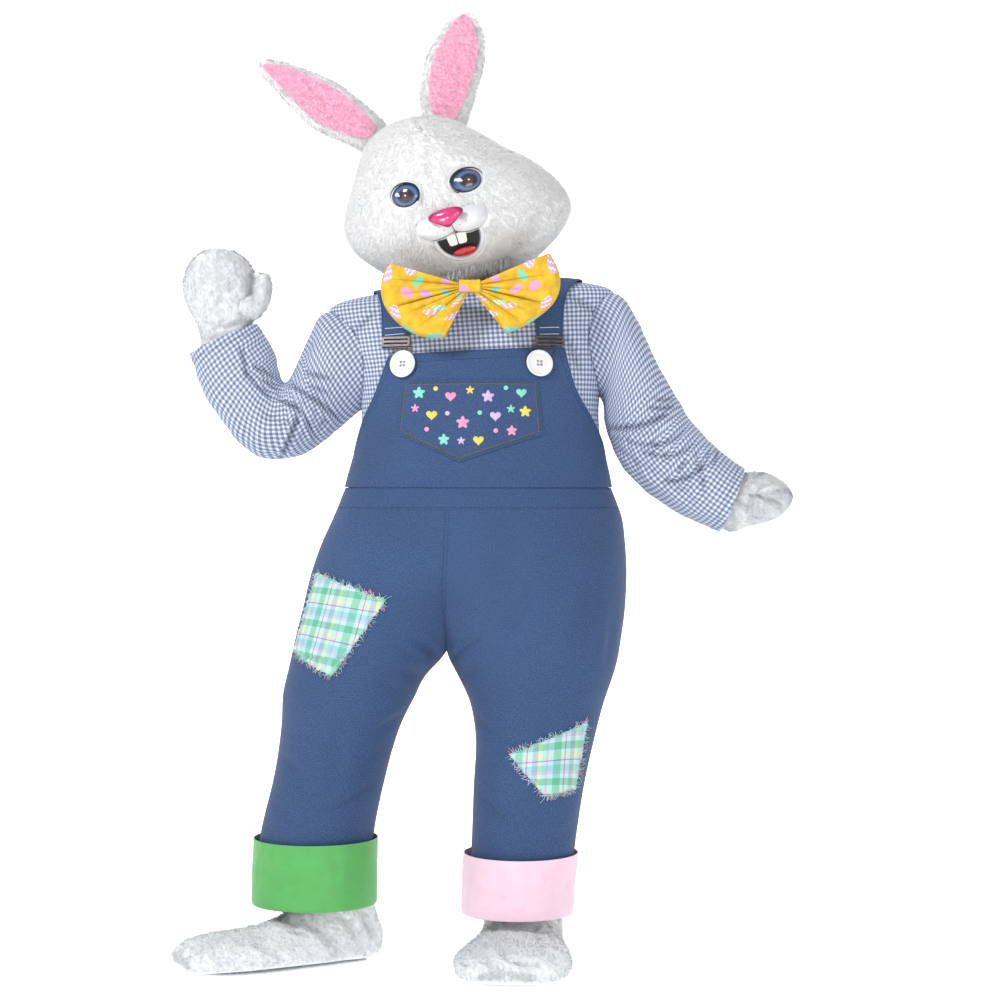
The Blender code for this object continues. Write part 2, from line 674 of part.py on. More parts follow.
def rise_half(side, v, front):
    """Middle and half width of one half of the trousers, the seam's angle cosine and depth scale."""
    row = at(RISE, v)
    seam = row.seam_front if front else row.seam_back
    split = min(max(row.split, 0.0), 1.0)
    whole = (row.left + row.right) / 2
    found = {}
    for name, edge, away in (("left", row.left, -1), ("right", row.right, 1)):
        alone = (seam + edge) / 2
        middle = whole + (alone - whole) * split
        half = abs(edge - middle)
        cosine = min(max(-away * (seam - middle) / half, -1.0), 1.0)
        found[name] = (middle, half, cosine)
    sines = {name: math.sqrt(max(1 - spec[2] ** 2, 0.0)) for name, spec in found.items()}
    mean = (sines["left"] + sines["right"]) / 2
    scale = mean / sines[side] if sines[side] > 0.05 else 1.0
    return found[side] + (scale,)


def rise_point(side, angle, v):
    """Trousers above the crotch: each half ends at the seam plane."""
    row = at(RISE, v)
    turn = math.radians(angle)
    middle, half, _, scale = rise_half(side, v, math.sin(turn) < 0)
    side_y = (row.front + row.back) / 2
    depth = math.sin(turn) * scale * (row.back - row.front) / 2
    return np.array((middle + half * math.cos(turn), side_y + depth, row.height))


def leg_point(side, angle, v):
    """One leg of the trousers, v from 0 at the waist to 1 at the ankle, halfway at the crotch."""
    if v <= 0.5:
        return rise_point(side, angle, v * 2)
    rows = LEFT_LEG if side == "left" else RIGHT_LEG
    row = at(rows, v * 2 - 1)
    turn = math.radians(angle)
    return np.array((row.x + row.half_width * math.cos(turn), row.y + row.half_depth * math.sin(turn), row.height))


def seam_angle(side, v, front):
    """The angle where a half ends: the seam plane above the crotch, the inseam below it."""
    cosine = 1.0 if v > 0.5 else rise_half(side, v * 2, front)[2]
    bare = math.degrees(math.acos(cosine))
    if side == "left":
        return 360.0 - bare if front else bare
    return 180.0 + bare if front else 180.0 - bare


def leg_rows():
    below = fraction_at(RISE, WAIST_SEAM - FIT_GAP) / 2
    return np.concatenate((np.linspace(below, 0.5, LEG_ROWS_ABOVE), np.linspace(0.505, 1.0, LEG_ROWS_BELOW)))


def leg_grid(side, front, vs, lift):
    point = lambda u, v: leg_point(side, u, v)
    outseam = 180.0 if side == "left" else (360.0 if front else 0.0)
    columns = []
    for k in range(LEG_STEPS // 2 + 1):
        share = k / (LEG_STEPS // 2)
        columns.append([outseam + (seam_angle(side, v, front) - outseam) * share for v in vs])
    if columns[-1][0] < columns[0][0]:
        columns = columns[::-1]
    return skin(point, -1, columns, vs, lift, (True, True))


def make_trousers(looks, parts):
    for side in ("left", "right"):
        for end, front in (("front", True), ("back", False)):
            outer = leg_grid(side, front, leg_rows(), 0.0)
            inner = leg_grid(side, front, leg_rows(), -DENIM)
            wall("leg_%s_%s" % (side, end), outer, inner, looks["denim"], parts)
    band = np.linspace(fraction_at(RISE, WAIST_SEAM) / 2, fraction_at(RISE, WAIST_TOP) / 2, 2)
    for end, front in (("front", True), ("back", False)):
        halves = []
        for lift in (0.0, -DENIM):
            left = leg_grid("left", front, band, lift)
            right = leg_grid("right", front, band, lift)
            pair = (left[:, :-1], right[:, 1:]) if front else (right[:, :-1], left[:, 1:])
            halves.append(np.concatenate(pair, axis=1))
        wall("waistband_" + end, halves[0], halves[1], looks["denim"], parts)


def round_point(rows, angle, v):
    row = at(rows, v)
    turn = math.radians(angle)
    return np.array((row.x + row.half_width * math.cos(turn), row.y + row.half_depth * math.sin(turn), row.height))


def make_cuffs(looks, parts):
    """Each cuff starts under the leg's edge, folds out at the bottom and stands up outside."""
    for side, rows in (("left", LEFT_CUFF), ("right", RIGHT_CUFF)):
        point = lambda u, v, rows=rows: round_point(rows, u, v)
        us = [360.0 * k / CUFF_STEPS for k in range(CUFF_STEPS)]
        vs = np.linspace(0.0, 1.0, len(rows))
        outer = skin(point, 1, us, vs, 0.0)
        inner = skin(point, 1, us, vs, -FACING)
        wall("cuff_" + side, outer, inner, looks["cuff_" + side], parts, closed=True)


def shirt_fraction(height):
    """Where the front of the shirt has a height, taken at its middle."""
    low, high = 0.0, 1.0
    for _ in range(40):
        middle = (low + high) / 2
        row = at(SHIRT, middle)
        if (row.h1 + row.h2) / 2 < height:
            low = middle
        else:
            high = middle
    return (low + high) / 2


def bib_grid(edges, steps_u, steps_v, lift):
    fractions = np.linspace(0.0, 1.0, steps_v)
    rows = [at(edges, f) for f in fractions]
    vs = [shirt_fraction(row.height) for row in rows]
    columns = []
    for k in range(steps_u + 1):
        share = k / steps_u
        columns.append([row.left + (row.right - row.left) * share for row in rows])
    return skin(shirt_point, 1, columns, vs, lift)


def bib_edges(edges):
    """The bib's edges, set back a little so that front and back don't meet at the side seam."""
    small = SIDE_SETBACK if edges[0].right > edges[0].left else -SIDE_SETBACK
    return [Edge(e.height, e.left + small, e.right - small) for e in edges]


def make_bibs(looks, parts):
    for name, edges in (("bib_front", FRONT_BIB), ("bib_back", BACK_BIB)):
        outer = bib_grid(bib_edges(edges), BIB_COLUMNS, BIB_ROWS, BIB_EASE + DENIM)
        inner = bib_grid(bib_edges(edges), BIB_COLUMNS, BIB_ROWS, BIB_EASE)
        if name == "bib_back":
            outer, inner = outer[:, ::-1], inner[:, ::-1]
        wall(name, outer, inner, looks["denim"], parts)


def shoulder_width(v):
    row = at(SHIRT, v)
    return (row.x1 + row.x2) / 2, (row.x2 - row.x1) / 2


def shoulder_top(x):
    """The fraction near the neck where the shirt is just as wide as x."""
    low, high = 0.66, 1.0
    for _ in range(40):
        middle = (low + high) / 2
        centre, half = shoulder_width(middle)
        if abs(x - centre) < half:
            low = middle
        else:
            high = middle
    return (low + high) / 2


def shoulder_point(x, height, share, back):
    """A point of the shirt at x, from the shoulder's top (0) down to a height (1)."""
    top = shoulder_top(x)
    end = shirt_fraction(height)
    v = top - (top - end) * (1 - math.cos(math.radians(90 * share)))
    centre, half = shoulder_width(v)
    across = min(max((x - centre) / half, -1.0), 1.0)
    turn = math.degrees(math.acos(across))
    angle = turn if back else 360.0 - turn
    return angle, v


def make_straps(looks, parts):
    for side, strap in STRAPS.items():
        outer = np.zeros((STRAP_ROWS, STRAP_COLUMNS, 3))
        inner = np.zeros((STRAP_ROWS, STRAP_COLUMNS, 3))
        for j in range(STRAP_ROWS):
            t = -1 + 2 * j / (STRAP_ROWS - 1)
            back = t > 0
            x_end = strap.x_back if back else strap.x_front
            h_end = strap.h_back if back else strap.h_front
            share = abs(t)
            bend = share * share * (3 - 2 * share)
            middle = strap.x_top + (x_end - strap.x_top) * bend
            for i in range(STRAP_COLUMNS):
                x = middle + STRAP_WIDTH * (i / (STRAP_COLUMNS - 1) - 0.5)
                angle, v = shoulder_point(x, h_end, share, back)
                base = shirt_point(angle, v)
                normal = normal_at(shirt_point, 1, angle, v)
                if share < TOP_SHARE:
                    blend = share / TOP_SHARE
                    normal = normal * blend + np.array((0.0, 0.0, 1.0)) * (1 - blend)
                    normal = normal / np.linalg.norm(normal)
                ease = SHOULDER_EASE + (STRAP_EASE - SHOULDER_EASE) * min(share / TOP_SHARE, 1.0)
                outer[j, i] = base + normal * (ease + DENIM)
                inner[j, i] = base + normal * ease
        wall("strap_" + side, outer, inner, looks["denim"], parts)


def bib_frame(x, height, lift):
    """A frame on the bib's face: its X runs across, its Y up and its Z out of the cloth."""
    v = shirt_fraction(height)
    for _ in range(3):
        centre, half = shoulder_width(v)
        angle = 360.0 - math.degrees(math.acos(min(max((x - centre) / half, -1.0), 1.0)))
        found = section_point(SHIRT, angle, v)
        v = v + (height - found[2]) / 0.85
    out = normal_at(shirt_point, 1, angle, v)
    base = shirt_point(angle, v) + out * lift
    up = np.array((0.0, 0.0, 1.0))
    across = np.cross(up, out)
    across = across / np.linalg.norm(across)
    up = np.cross(out, across)
    spot = place(base)
    frame = Matrix.Identity(4)
    for column, axis in enumerate((across, up, out)):
        for row in range(3):
            frame[row][column] = axis[row]
    frame.translation = Vector(spot)
    return frame


def wire_loop(name, points, radius, look, parts, frame):
    curve = bpy.data.curves.new(name, "CURVE")
    curve.dimensions = "3D"
    curve.bevel_depth = radius
    curve.bevel_resolution = 1
    line = curve.splines.new("POLY")
    line.points.add(len(points) - 1)
    for spot, point in zip(line.points, points):
        spot.co = (*point, 1.0)
    line.use_cyclic_u = True
    made = bpy.data.objects.new(name, curve)
    parts.objects.link(made)
    made.matrix_world = frame
    curve.materials.append(look)
    return made


def make_adjuster(name, look, parts, frame):
    """A flat frame with one middle bar, cut through twice."""
    half_w = ADJUSTER_WIDTH / 2
    half_h = ADJUSTER_HEIGHT / 2
    slot_w = half_w - ADJUSTER_BAR
    slot_h = (ADJUSTER_HEIGHT - 3 * ADJUSTER_BAR) / 2
    curve = bpy.data.curves.new(name, "CURVE")
    curve.dimensions = "2D"
    curve.fill_mode = "BOTH"
    curve.extrude = ADJUSTER_THICK / 2
    middles = (ADJUSTER_BAR / 2 + slot_h / 2, -ADJUSTER_BAR / 2 - slot_h / 2)
    outlines = [(0.0, half_w, half_h)] + [(y, slot_w, slot_h / 2) for y in middles]
    for y, width, height in outlines:
        line = curve.splines.new("POLY")
        line.points.add(3)
        corners = ((-width, -height), (width, -height), (width, height), (-width, height))
        for spot, corner in zip(line.points, corners):
            spot.co = (corner[0], y + corner[1], 0.0, 1.0)
        line.use_cyclic_u = True
    made = bpy.data.objects.new(name, curve)
    parts.objects.link(made)
    made.matrix_world = frame
    curve.materials.append(look)
    return made


def make_button(name, look, parts, cutters, frame):
    bpy.ops.mesh.primitive_cylinder_add(vertices=24, radius=BUTTON_RADIUS, depth=BUTTON_THICK)
    button = bpy.context.active_object
    button.name = name
    for home in list(button.users_collection):
        home.objects.unlink(button)
    parts.objects.link(button)
    button.matrix_world = frame
    button.data.materials.append(look)
    for k in range(4):
        turn = math.radians(45 + 90 * k)
        offset = Matrix.Translation((BUTTON_HOLE_SPACING * math.cos(turn), BUTTON_HOLE_SPACING * math.sin(turn), 0))
        bpy.ops.mesh.primitive_cylinder_add(vertices=8, radius=BUTTON_HOLE, depth=3 * BUTTON_THICK)
        hole = bpy.context.active_object
        hole.name = "%s_hole_%d" % (name, k)
        for home in list(hole.users_collection):
            home.objects.unlink(hole)
        cutters.objects.link(hole)
        hole.matrix_world = frame @ offset
        cut(button, as_cutter(hole))


def make_hardware(looks, parts, cutters):
    face = BIB_EASE + DENIM
    for side, corner in CORNERS.items():
        lift = STRAP_EASE + DENIM + FIT_GAP + ADJUSTER_THICK / 2
        make_adjuster("adjuster_" + side, looks["nickel"], parts, bib_frame(corner.x, ADJUSTER_AT, lift))
        low = BUTTON_HEIGHT - HOOK_BELOW_BUTTON
        high = ADJUSTER_AT - ADJUSTER_HEIGHT / 2 - WIRE / 2 - HOOK_CLEAR
        frame = bib_frame((corner.x + corner.button_x) / 2, (low + high) / 2, face + HOOK_LIFT + WIRE / 2)
        half = (high - low) / 2
        outline = [(bend.across, bend.end * (half - bend.inset), 0.0) for bend in HOOK_BENDS]
        wire_loop("hook_" + side, outline, WIRE / 2, looks["nickel"], parts, frame)
        seat = Matrix.Translation(((corner.button_x - corner.x) / 2, BUTTON_HEIGHT - (low + high) / 2,
                                   WIRE / 2 + FIT_GAP + BUTTON_THICK / 2))
        make_button("button_" + side, looks["button"], parts, cutters, frame @ seat)


def prism(name, outline, near, far, home):
    """A straight cutter through an outline in the front view, from a near to a far depth."""
    count = len(outline)
    verts = [(x, near, h) for x, h in outline] + [(x, far, h) for x, h in outline]
    faces = [tuple(range(count)), tuple(range(2 * count - 1, count - 1, -1))]
    faces += [(k, k + count, (k + 1) % count + count, (k + 1) % count) for k in range(count)]
    return as_cutter(mesh_object(name, place(np.array(verts)), faces, None, home))


def overlay(name, outer, inner, outline, depths, look, parts, cutters):
    """A piece laid on a panel: the panel's own points moved out, cut to an outline."""
    piece = wall(name, outer, inner, look, parts)
    cut(piece, prism(name + "_outline", outline, depths[0], depths[1], cutters), "INTERSECT")
    return piece


def make_laid_pieces(looks, parts, cutters):
    lifts = (BIB_EASE + DENIM + FIT_GAP + PATCH_CLOTH, BIB_EASE + DENIM + FIT_GAP)
    grids = [bib_grid(bib_edges(FRONT_BIB), BIB_COLUMNS, BIB_ROWS, lift)[:, 2:-2] for lift in lifts]
    outline = [(c.x, c.h) for c in (POCKET[0], POCKET[1], POCKET[2], POCKET_POINT, POCKET[3])]
    overlay("pocket_panel", grids[0], grids[1], outline, POCKET_DEPTHS, looks["denim"], parts, cutters)
    for side, corners in (("left", LEFT_PATCH), ("right", RIGHT_PATCH)):
        grids = [leg_grid(side, True, leg_rows(), lift) for lift in (FIT_GAP + PATCH_CLOTH, FIT_GAP)]
        outline = [(c.x, c.h) for c in corners]
        overlay("patch_" + side, grids[0], grids[1], outline, PATCH_DEPTHS, looks["plaid"], parts, cutters)


def head_matrix():
    roll = Matrix.Rotation(math.radians(-HEAD_ROLL), 4, "Y")
    centre = Matrix.Translation((HEAD_CENTRE[0], 0.0, HEAD_CENTRE[1]))
    return centre @ roll


def head_point(angle, v):
    local = section_point(HEAD, angle, v)
    return np.array(head_matrix() @ Vector(local))


def face_matrix():
    return head_matrix() @ Matrix.Rotation(math.radians(-FACE_YAW), 4, "Z")


def face_spot(feature, facing=0.5):
    """A frame seated on the face: X across, Y into the head and Z up, facing 1 along the surface."""
    spot, normal = face_surface(feature.side, feature.up, 0.0)
    ahead = face_matrix().to_3x3() @ Vector((0, -1, 0))
    out = (normal * facing + ahead * (1 - facing)).normalized()
    up = face_matrix().to_3x3() @ Vector((0, 0, 1))
    across = out.cross(up).normalized() * -1
    up = across.cross(-out).normalized()
    frame = Matrix.Identity(4)
    for column, axis in enumerate((across, -out, up)):
        for row in range(3):
            frame[row][column] = axis[row]
    frame.translation = spot + out * feature.out
    return frame @ Matrix.Rotation(math.radians(feature.roll), 4, "Y")


def head_columns(start, end):
    count = max(int(round(HEAD_STEPS * (end - start) / 360.0)), 4)
    return [start + (end - start) * k / count for k in range(count + 1)]


def make_head(looks, parts, cutters):
    vs = np.linspace(0.0, 1.0, HEAD_ROWS)
    turned = head_matrix().to_3x3()
    crown = head_matrix() @ Vector(CROWN)
    around = []
    for name, (start, end) in HEAD_SEAMS.items():
        us = head_columns(start, end)
        around += us[:-1]
        outer = skin(head_point, 1, us, vs, 0.0, (True, True))
        inner = skin(head_point, 1, us, vs, -HEAD_WALL, (True, True))
        middle = math.radians((start + end) / 2)
        tip = crown + turned @ Vector((math.cos(middle), math.sin(middle), 0.0)) * CROWN_SETBACK
        under = tip + turned @ Vector((0, 0, -HEAD_WALL))
        wall(name, outer, inner, looks["plush"], parts, tips=(np.array(tip), np.array(under)))
    return as_cutter(closed_grid("head_cutter", skin(head_point, 1, around, vs, FIT_GAP), None, cutters))


def blob(name, feature, look, home, around=16, up=8, facing=0.5, grow=0.0, taper=0.0):
    """A rounded form on the face, from a ball stretched to its sizes."""
    bpy.ops.mesh.primitive_uv_sphere_add(segments=around, ring_count=up, radius=1.0)
    made = bpy.context.active_object
    made.name = name
    for old in list(made.users_collection):
        old.objects.unlink(made)
    home.objects.link(made)
    stretch = Matrix.Diagonal((feature.wide + grow, feature.deep + grow, feature.tall + grow, 1.0))
    made.data.transform(Matrix.Rotation(math.radians(90), 4, "X"))
    for vertex in made.data.vertices:
        vertex.co.x *= 1.0 + taper * vertex.co.z
    made.data.transform(stretch)
    made.matrix_world = face_spot(feature, facing)
    if look is not None:
        made.data.materials.append(look)
    made.data.shade_smooth()
    return made


def ring_on_head(name, centre, wide, tall, radius, steps, look, parts, arc=(0.0, 360.0), lift=0.0005, roll=0.0):
    """A round rim lying on the head's face, all round or along part of an oval."""
    whole = arc[1] - arc[0] >= 360.0
    count = steps if whole else steps + 1
    path = []
    for k in range(count):
        turn = math.radians(arc[0] + (arc[1] - arc[0]) * k / steps)
        lean = math.radians(roll)
        a = wide * math.cos(turn)
        b = tall * math.sin(turn)
        side = centre[0] + a * math.cos(lean) - b * math.sin(lean)
        up = centre[1] + a * math.sin(lean) + b * math.cos(lean)
        path.append(face_surface(side, up, lift))
    verts, faces = [], []
    sides = 6
    for k, spot in enumerate(path):
        before = path[(k - 1) % count] if whole or k > 0 else path[k]
        after = path[(k + 1) % count] if whole or k < count - 1 else path[k]
        along = (after[0] - before[0]).normalized()
        out = spot[1]
        aside = along.cross(out).normalized()
        out = aside.cross(along)
        for s in range(sides):
            turn = 2 * math.pi * s / sides
            verts.append(spot[0] + (aside * math.cos(turn) + out * math.sin(turn)) * radius)
    spans = count if whole else count - 1
    for k in range(spans):
        for s in range(sides):
            a = k * sides + s
            b = k * sides + (s + 1) % sides
            c = ((k + 1) % count) * sides + (s + 1) % sides
            d = ((k + 1) % count) * sides + s
            faces.append((a, b, c, d))
    if not whole:
        faces.append(tuple(range(sides)))
        faces.append(tuple(range((count - 1) * sides, count * sides)))
    return mesh_object(name, [tuple(v) for v in verts], faces, look, parts)


def face_surface(side, up, lift):
    """Point and normal on the head's front where the face frame has this sideways and up."""
    frame = face_matrix()
    inverse = frame.inverted()
    angle, v = 270.0, 0.4
    for _ in range(12):
        here = inverse @ Vector(head_point(angle, v))
        turned = inverse @ Vector(head_point(angle + 1.0, v))
        higher = inverse @ Vector(head_point(angle, v + 0.01))
        jac = np.array(((turned.x - here.x, higher.x - here.x), (turned.z - here.z, higher.z - here.z)))
        step = np.linalg.solve(jac, np.array((side - here.x, up - here.z)))
        angle = angle + float(np.clip(step[0], -25, 25))
        v = min(max(v + 0.01 * float(np.clip(step[1], -15, 15)), 0.01), 0.97)
    normal = Vector(normal_at(head_point, 1, angle, v))
    spot = Vector(head_point(angle, v)) + normal * lift
    return spot - Vector((0, 0, SHOULDER_HEIGHT)), normal


def make_face(looks, parts, cutters, grown):
    for side, eye in EYES.items():
        ball = blob("eye_" + side, eye, looks["eye"], parts, 16, 8, facing=1.0)
        cut(ball, grown)
        around = (eye.side, eye.up)
        lid = ring_on_head("lid_" + side, around, eye.wide + 0.0025, eye.tall + 0.0025, EYE_RIM, 16,
                           looks["muzzle"], parts, roll=-eye.roll)
        cut(lid, grown)
    muzzle = blob("muzzle", LOBES[0], looks["muzzle"], parts, 14, 8)
    for k, lobe in enumerate(LOBES[1:]):
        cut(muzzle, as_cutter(blob("muzzle_lobe_%d" % k, lobe, None, cutters, 14, 8)), "UNION")
    lip = ring_on_head("muzzle_lip", (MOUTH.side, MOUTH.up), MOUTH.wide, MOUTH.tall, LIP_RADIUS, 12, None, cutters,
                       arc=LIP_ARC)
    cut(muzzle, as_cutter(lip), "UNION")
    cut(muzzle, grown)
    around = [as_cutter(blob("muzzle_clear_%d" % k, lobe, None, cutters, 14, 8, grow=CLEAR)) for k, lobe in enumerate(LOBES)]
    nose = blob("nose", NOSE, looks["nose"], parts, taper=NOSE_TAPER, facing=0.3)
    teeth = blob("teeth", TEETH, looks["muzzle"], parts, 12, 6)
    lining = make_lining(looks, parts)
    for piece in (nose, teeth, lining):
        for cutter in around:
            cut(piece, cutter)
    blob("tongue", TONGUE, looks["tongue"], parts, 12, 6, facing=1.0)


def make_lining(looks, parts):
    """Black mesh on the face inside the lip, running up behind the muzzle."""
    columns, rows = LINING_COLUMNS, LINING_ROWS
    outer = np.zeros((rows, columns, 3))
    inner = np.zeros((rows, columns, 3))
    for j in range(rows):
        for i in range(columns):
            turn = math.radians(LINING_ARC[0] + (LINING_ARC[1] - LINING_ARC[0]) * i / (columns - 1))
            edge_x = (MOUTH.wide - LIP_RADIUS - LINING_INSET) * math.cos(turn)
            edge_z = (MOUTH.tall - LIP_RADIUS - LINING_INSET) * math.sin(turn)
            share = j / (rows - 1)
            side = MOUTH.side + edge_x
            up = MOUTH.up + LINING_RISE + (edge_z - LINING_RISE) * share
            for grid, lift in ((inner, MOUTH_LINING_AT[0]), (outer, MOUTH_LINING_AT[1])):
                spot, _ = face_surface(side, up, lift)
                grid[j, i] = (spot.x, spot.y, spot.z + SHOULDER_HEIGHT)
    return wall("mouth_lining", outer, inner, looks["mouth"], parts)


def make_ears(looks, parts, cutters, grown):
    for side, rows in (("left", LEFT_EAR), ("right", RIGHT_EAR)):
        ear = plug("ear_" + side, rows, (0.0, 1.0), EAR_ROWS, looks["plush"], parts, EAR_STEPS)
        cut(ear, grown)
        point = lambda u, v, rows=rows: section_point(rows, u, v)
        us = [180.0 + 360.0 * k / EAR_STEPS for k in range(1, EAR_STEPS // 2)]
        vs = np.linspace(0.0, 1.0, EAR_ROWS)[1:-1]
        grids = [skin(point, turn_sign(rows), us, vs, lift) for lift in (FIT_GAP + EAR_LINING, FIT_GAP)]
        overlay("ear_lining_" + side, grids[0], grids[1], lining_outline(rows), LINING_DEPTHS,
                looks["pink_plush"], parts, cutters)


def lining_outline(rows):
    """A long oval inside the ear's outline."""
    outline = []
    for k in range(18):
        turn = 2 * math.pi * k / 18
        middle = (LINING_START + LINING_END) / 2
        v = middle + (LINING_END - LINING_START) / 2 * math.cos(turn)
        row = at(rows, v)
        share = LINING_WIDTH * math.sin(turn) * (1.0 if math.cos(turn) < 0 else 1.0 - 0.1 * math.cos(turn))
        x = (row.x1 + row.x2) / 2 + share * (row.x2 - row.x1) / 2
        h = (row.h1 + row.h2) / 2 + share * (row.h2 - row.h1) / 2
        outline.append((x, h))
    return outline


def bow_point(wing, u, v):
    """The cloth of a bow wing: u runs from the front of the knot round the tip to its back."""
    row = at(wing, v)
    turn = math.radians(row.angle)
    share = 1 - abs(u)
    reach = BOW_START + (row.reach - BOW_START) * math.sin(math.radians(90 * share)) ** BOW_REACH_SHAPE
    puff = BOW_TIP_PUFF + BOW_PUFF * math.sin(math.radians(180 * min(abs(u), 1.0) ** BOW_PUFF_SHAPE))
    puff = puff * math.sqrt(min(1.0, abs(u) * BOW_TIP_ROUNDING))
    wave = BOW_PLEAT * math.cos(math.radians(360 * BOW_PLEATS * v)) * abs(u) ** BOW_PLEAT_SHAPE * (1 - abs(u))
    depth = (-1 if u < 0 else 1) * (puff + wave)
    return np.array((BOW_CENTRE[0] + reach * math.cos(turn), BOW_CENTRE[1] + depth,
                     BOW_CENTRE[2] + reach * math.sin(turn)))


def box(name, grow, look, home):
    """The knot, a rounded block, grown by a gap where it is the wings' cutter."""
    bpy.ops.mesh.primitive_cube_add(size=2.0)
    knot = bpy.context.active_object
    knot.name = name
    for old in list(knot.users_collection):
        old.objects.unlink(knot)
    home.objects.link(knot)
    knot.data.transform(Matrix.Diagonal((*[half + grow for half in KNOT_SIZE], 1.0)))
    knot.location = (BOW_CENTRE[0], BOW_CENTRE[1], BOW_CENTRE[2] - SHOULDER_HEIGHT)
    rounding = knot.modifiers.new("rounding", "BEVEL")
    rounding.width = KNOT_ROUNDING if look is not None else KNOT_CUTTER_ROUNDING
    rounding.segments = 2
    if look is not None:
        knot.data.materials.append(look)
    return knot


def make_bow(looks, parts, cutters):
    wings = []
    for side, wing in BOW_WINGS.items():
        us = np.sin(np.radians(np.linspace(-90, 90, BOW_COLUMNS)))
        vs = np.linspace(0.0, 1.0, BOW_ROWS)
        outer = np.array([[bow_point(wing, u, v) for u in us] for v in vs])
        inner = np.zeros_like(outer)
        for j, v in enumerate(vs):
            for i, u in enumerate(us):
                du = 0.02
                a = bow_point(wing, min(u + du, 1.0), v) - bow_point(wing, max(u - du, -1.0), v)
                b = bow_point(wing, u, min(v + du, 1.0)) - bow_point(wing, u, max(v - du, 0.0))
                normal = np.cross(a, b)
                normal = normal / max(np.linalg.norm(normal), 1e-9)
                middle = np.array(BOW_CENTRE) + (outer[j, BOW_COLUMNS // 2] - np.array(BOW_CENTRE)) * 0.5
                if np.dot(normal, outer[j, i] - middle) < 0:
                    normal = -normal
                inner[j, i] = outer[j, i] - normal * BOW_CLOTH
        wings.append(wall("bow_wing_" + side, outer, inner, looks["bow"], parts))
    clear = as_cutter(box("bow_knot_clear", FIT_GAP, None, cutters))
    for wing in wings:
        cut(wing, clear)
    box("bow_knot", 0.0, looks["bow"], parts)
    outer = np.zeros((2, BAND_STEPS, 3))
    inner = np.zeros((2, BAND_STEPS, 3))
    for j in range(2):
        for i in range(BAND_STEPS):
            for grid, cloth in ((outer, 0.0), (inner, BOW_BAND_CLOTH)):
                grid[j, i] = band_point(360.0 * i / BAND_STEPS, j * BOW_BAND_TALL, cloth)
    wall("bow_neck_band", outer, inner, looks["bow"], parts, closed=True)


def band_point(angle, rise, cloth):
    """The elastic band round the neck, lower in front where the knot hangs."""
    across = math.cos(math.radians(angle))
    depth = math.sin(math.radians(angle))
    reach = BOW_BAND_BACK if depth > 0 else -BOW_BAND_FRONT
    x = (BOW_BAND_HALF - cloth) * across
    y = (reach - cloth) * depth
    h = BOW_BAND_HEIGHT + BOW_BAND_LEAN * x + min(depth + 0.5, 0.0) * 2 * BOW_BAND_DROP + rise
    return np.array((x, y, h))


def make_mitts(looks, parts, cutters):
    for side, rows, thumb in (("left", LEFT_MITT, LEFT_THUMB), ("right", RIGHT_MITT, RIGHT_THUMB)):
        point = lambda u, v, rows=rows: section_point(rows, u, v)
        sign = turn_sign(rows)
        vs = np.linspace(0.0, 1.0, MITT_ROWS)
        end = section_centre(rows, 1.0)
        ahead = end - section_centre(rows, 0.97)
        ahead = ahead / np.linalg.norm(ahead)
        for name, start in (("palm", 180.0), ("back", 0.0)):
            us = [start + 180.0 * k / (MITT_STEPS // 2) for k in range(MITT_STEPS // 2 + 1)]
            outer = skin(point, sign, us, vs, 0.0, (True, True))
            inner = skin(point, sign, us, vs, -PLUSH, (True, True))
            inner[-1] = end + (inner[-1] - end) * MITT_TIP_NARROWING - ahead * PLUSH
            aside = np.array((0.0, -TIP_APART if name == "palm" else TIP_APART, 0.0))
            tips = (end + ahead * MITT_TIP + aside, end - ahead * (PLUSH - MITT_TIP / 2) + aside)
            wall("mitt_%s_%s" % (side, name), outer, inner, looks["plush"], parts, tips=tips)
        finger = tube("mitt_%s_thumb" % side, thumb, THUMB_WALL, (0.0, 1.0), 5, looks["plush"], parts, 8, tip=True)
        grown = plug("mitt_%s_cutter" % side, rows, (0.0, 1.0), MITT_ROWS, None, cutters, MITT_STEPS, FIT_GAP)
        cut(finger, as_cutter(grown))


def foot_matrix(stand):
    spin = Matrix.Rotation(math.radians(stand.heading), 4, "Z")
    size = Matrix.Diagonal((stand.length, stand.width, 1.0, 1.0))
    return Matrix.Translation((stand.heel_x, stand.heel_y, 0.0)) @ spin @ size


def foot_point(frame, angle, v):
    local = section_point(FOOT, angle, v)
    local[2] = max(local[2] + SOLE + FIT_GAP, SOLE + FIT_GAP)
    return np.array(frame @ Vector(local))


def make_feet(looks, parts):
    for side, stand in FEET.items():
        frame = foot_matrix(stand)
        point = lambda u, v, frame=frame: foot_point(frame, u, v)
        us = [360.0 * k / FOOT_STEPS for k in range(FOOT_STEPS)]
        vs = np.linspace(0.0, 1.0, FOOT_ROWS)
        outer = skin(point, -1, us, vs, 0.0)
        inner = skin(point, -1, us, vs, -PLUSH)
        outer[..., 2] = np.maximum(outer[..., 2], SOLE + FIT_GAP)
        inner[..., 2] = np.maximum(inner[..., 2], SOLE + FIT_GAP + PLUSH)
        end = outer[-1].mean(axis=0)
        ahead = end - outer[-2].mean(axis=0)
        ahead = ahead / np.linalg.norm(ahead)
        inner[-1] = end + (inner[-1] - end) * TOE_TIP_NARROWING - ahead * PLUSH
        tips = (end + ahead * TOE_TIP, end - ahead * (PLUSH - TOE_TIP / 3))
        wall("foot_%s_upper" % side, outer, inner, looks["plush"], parts, closed=True, tips=tips)
        make_sole("foot_%s_sole" % side, frame, looks, parts)


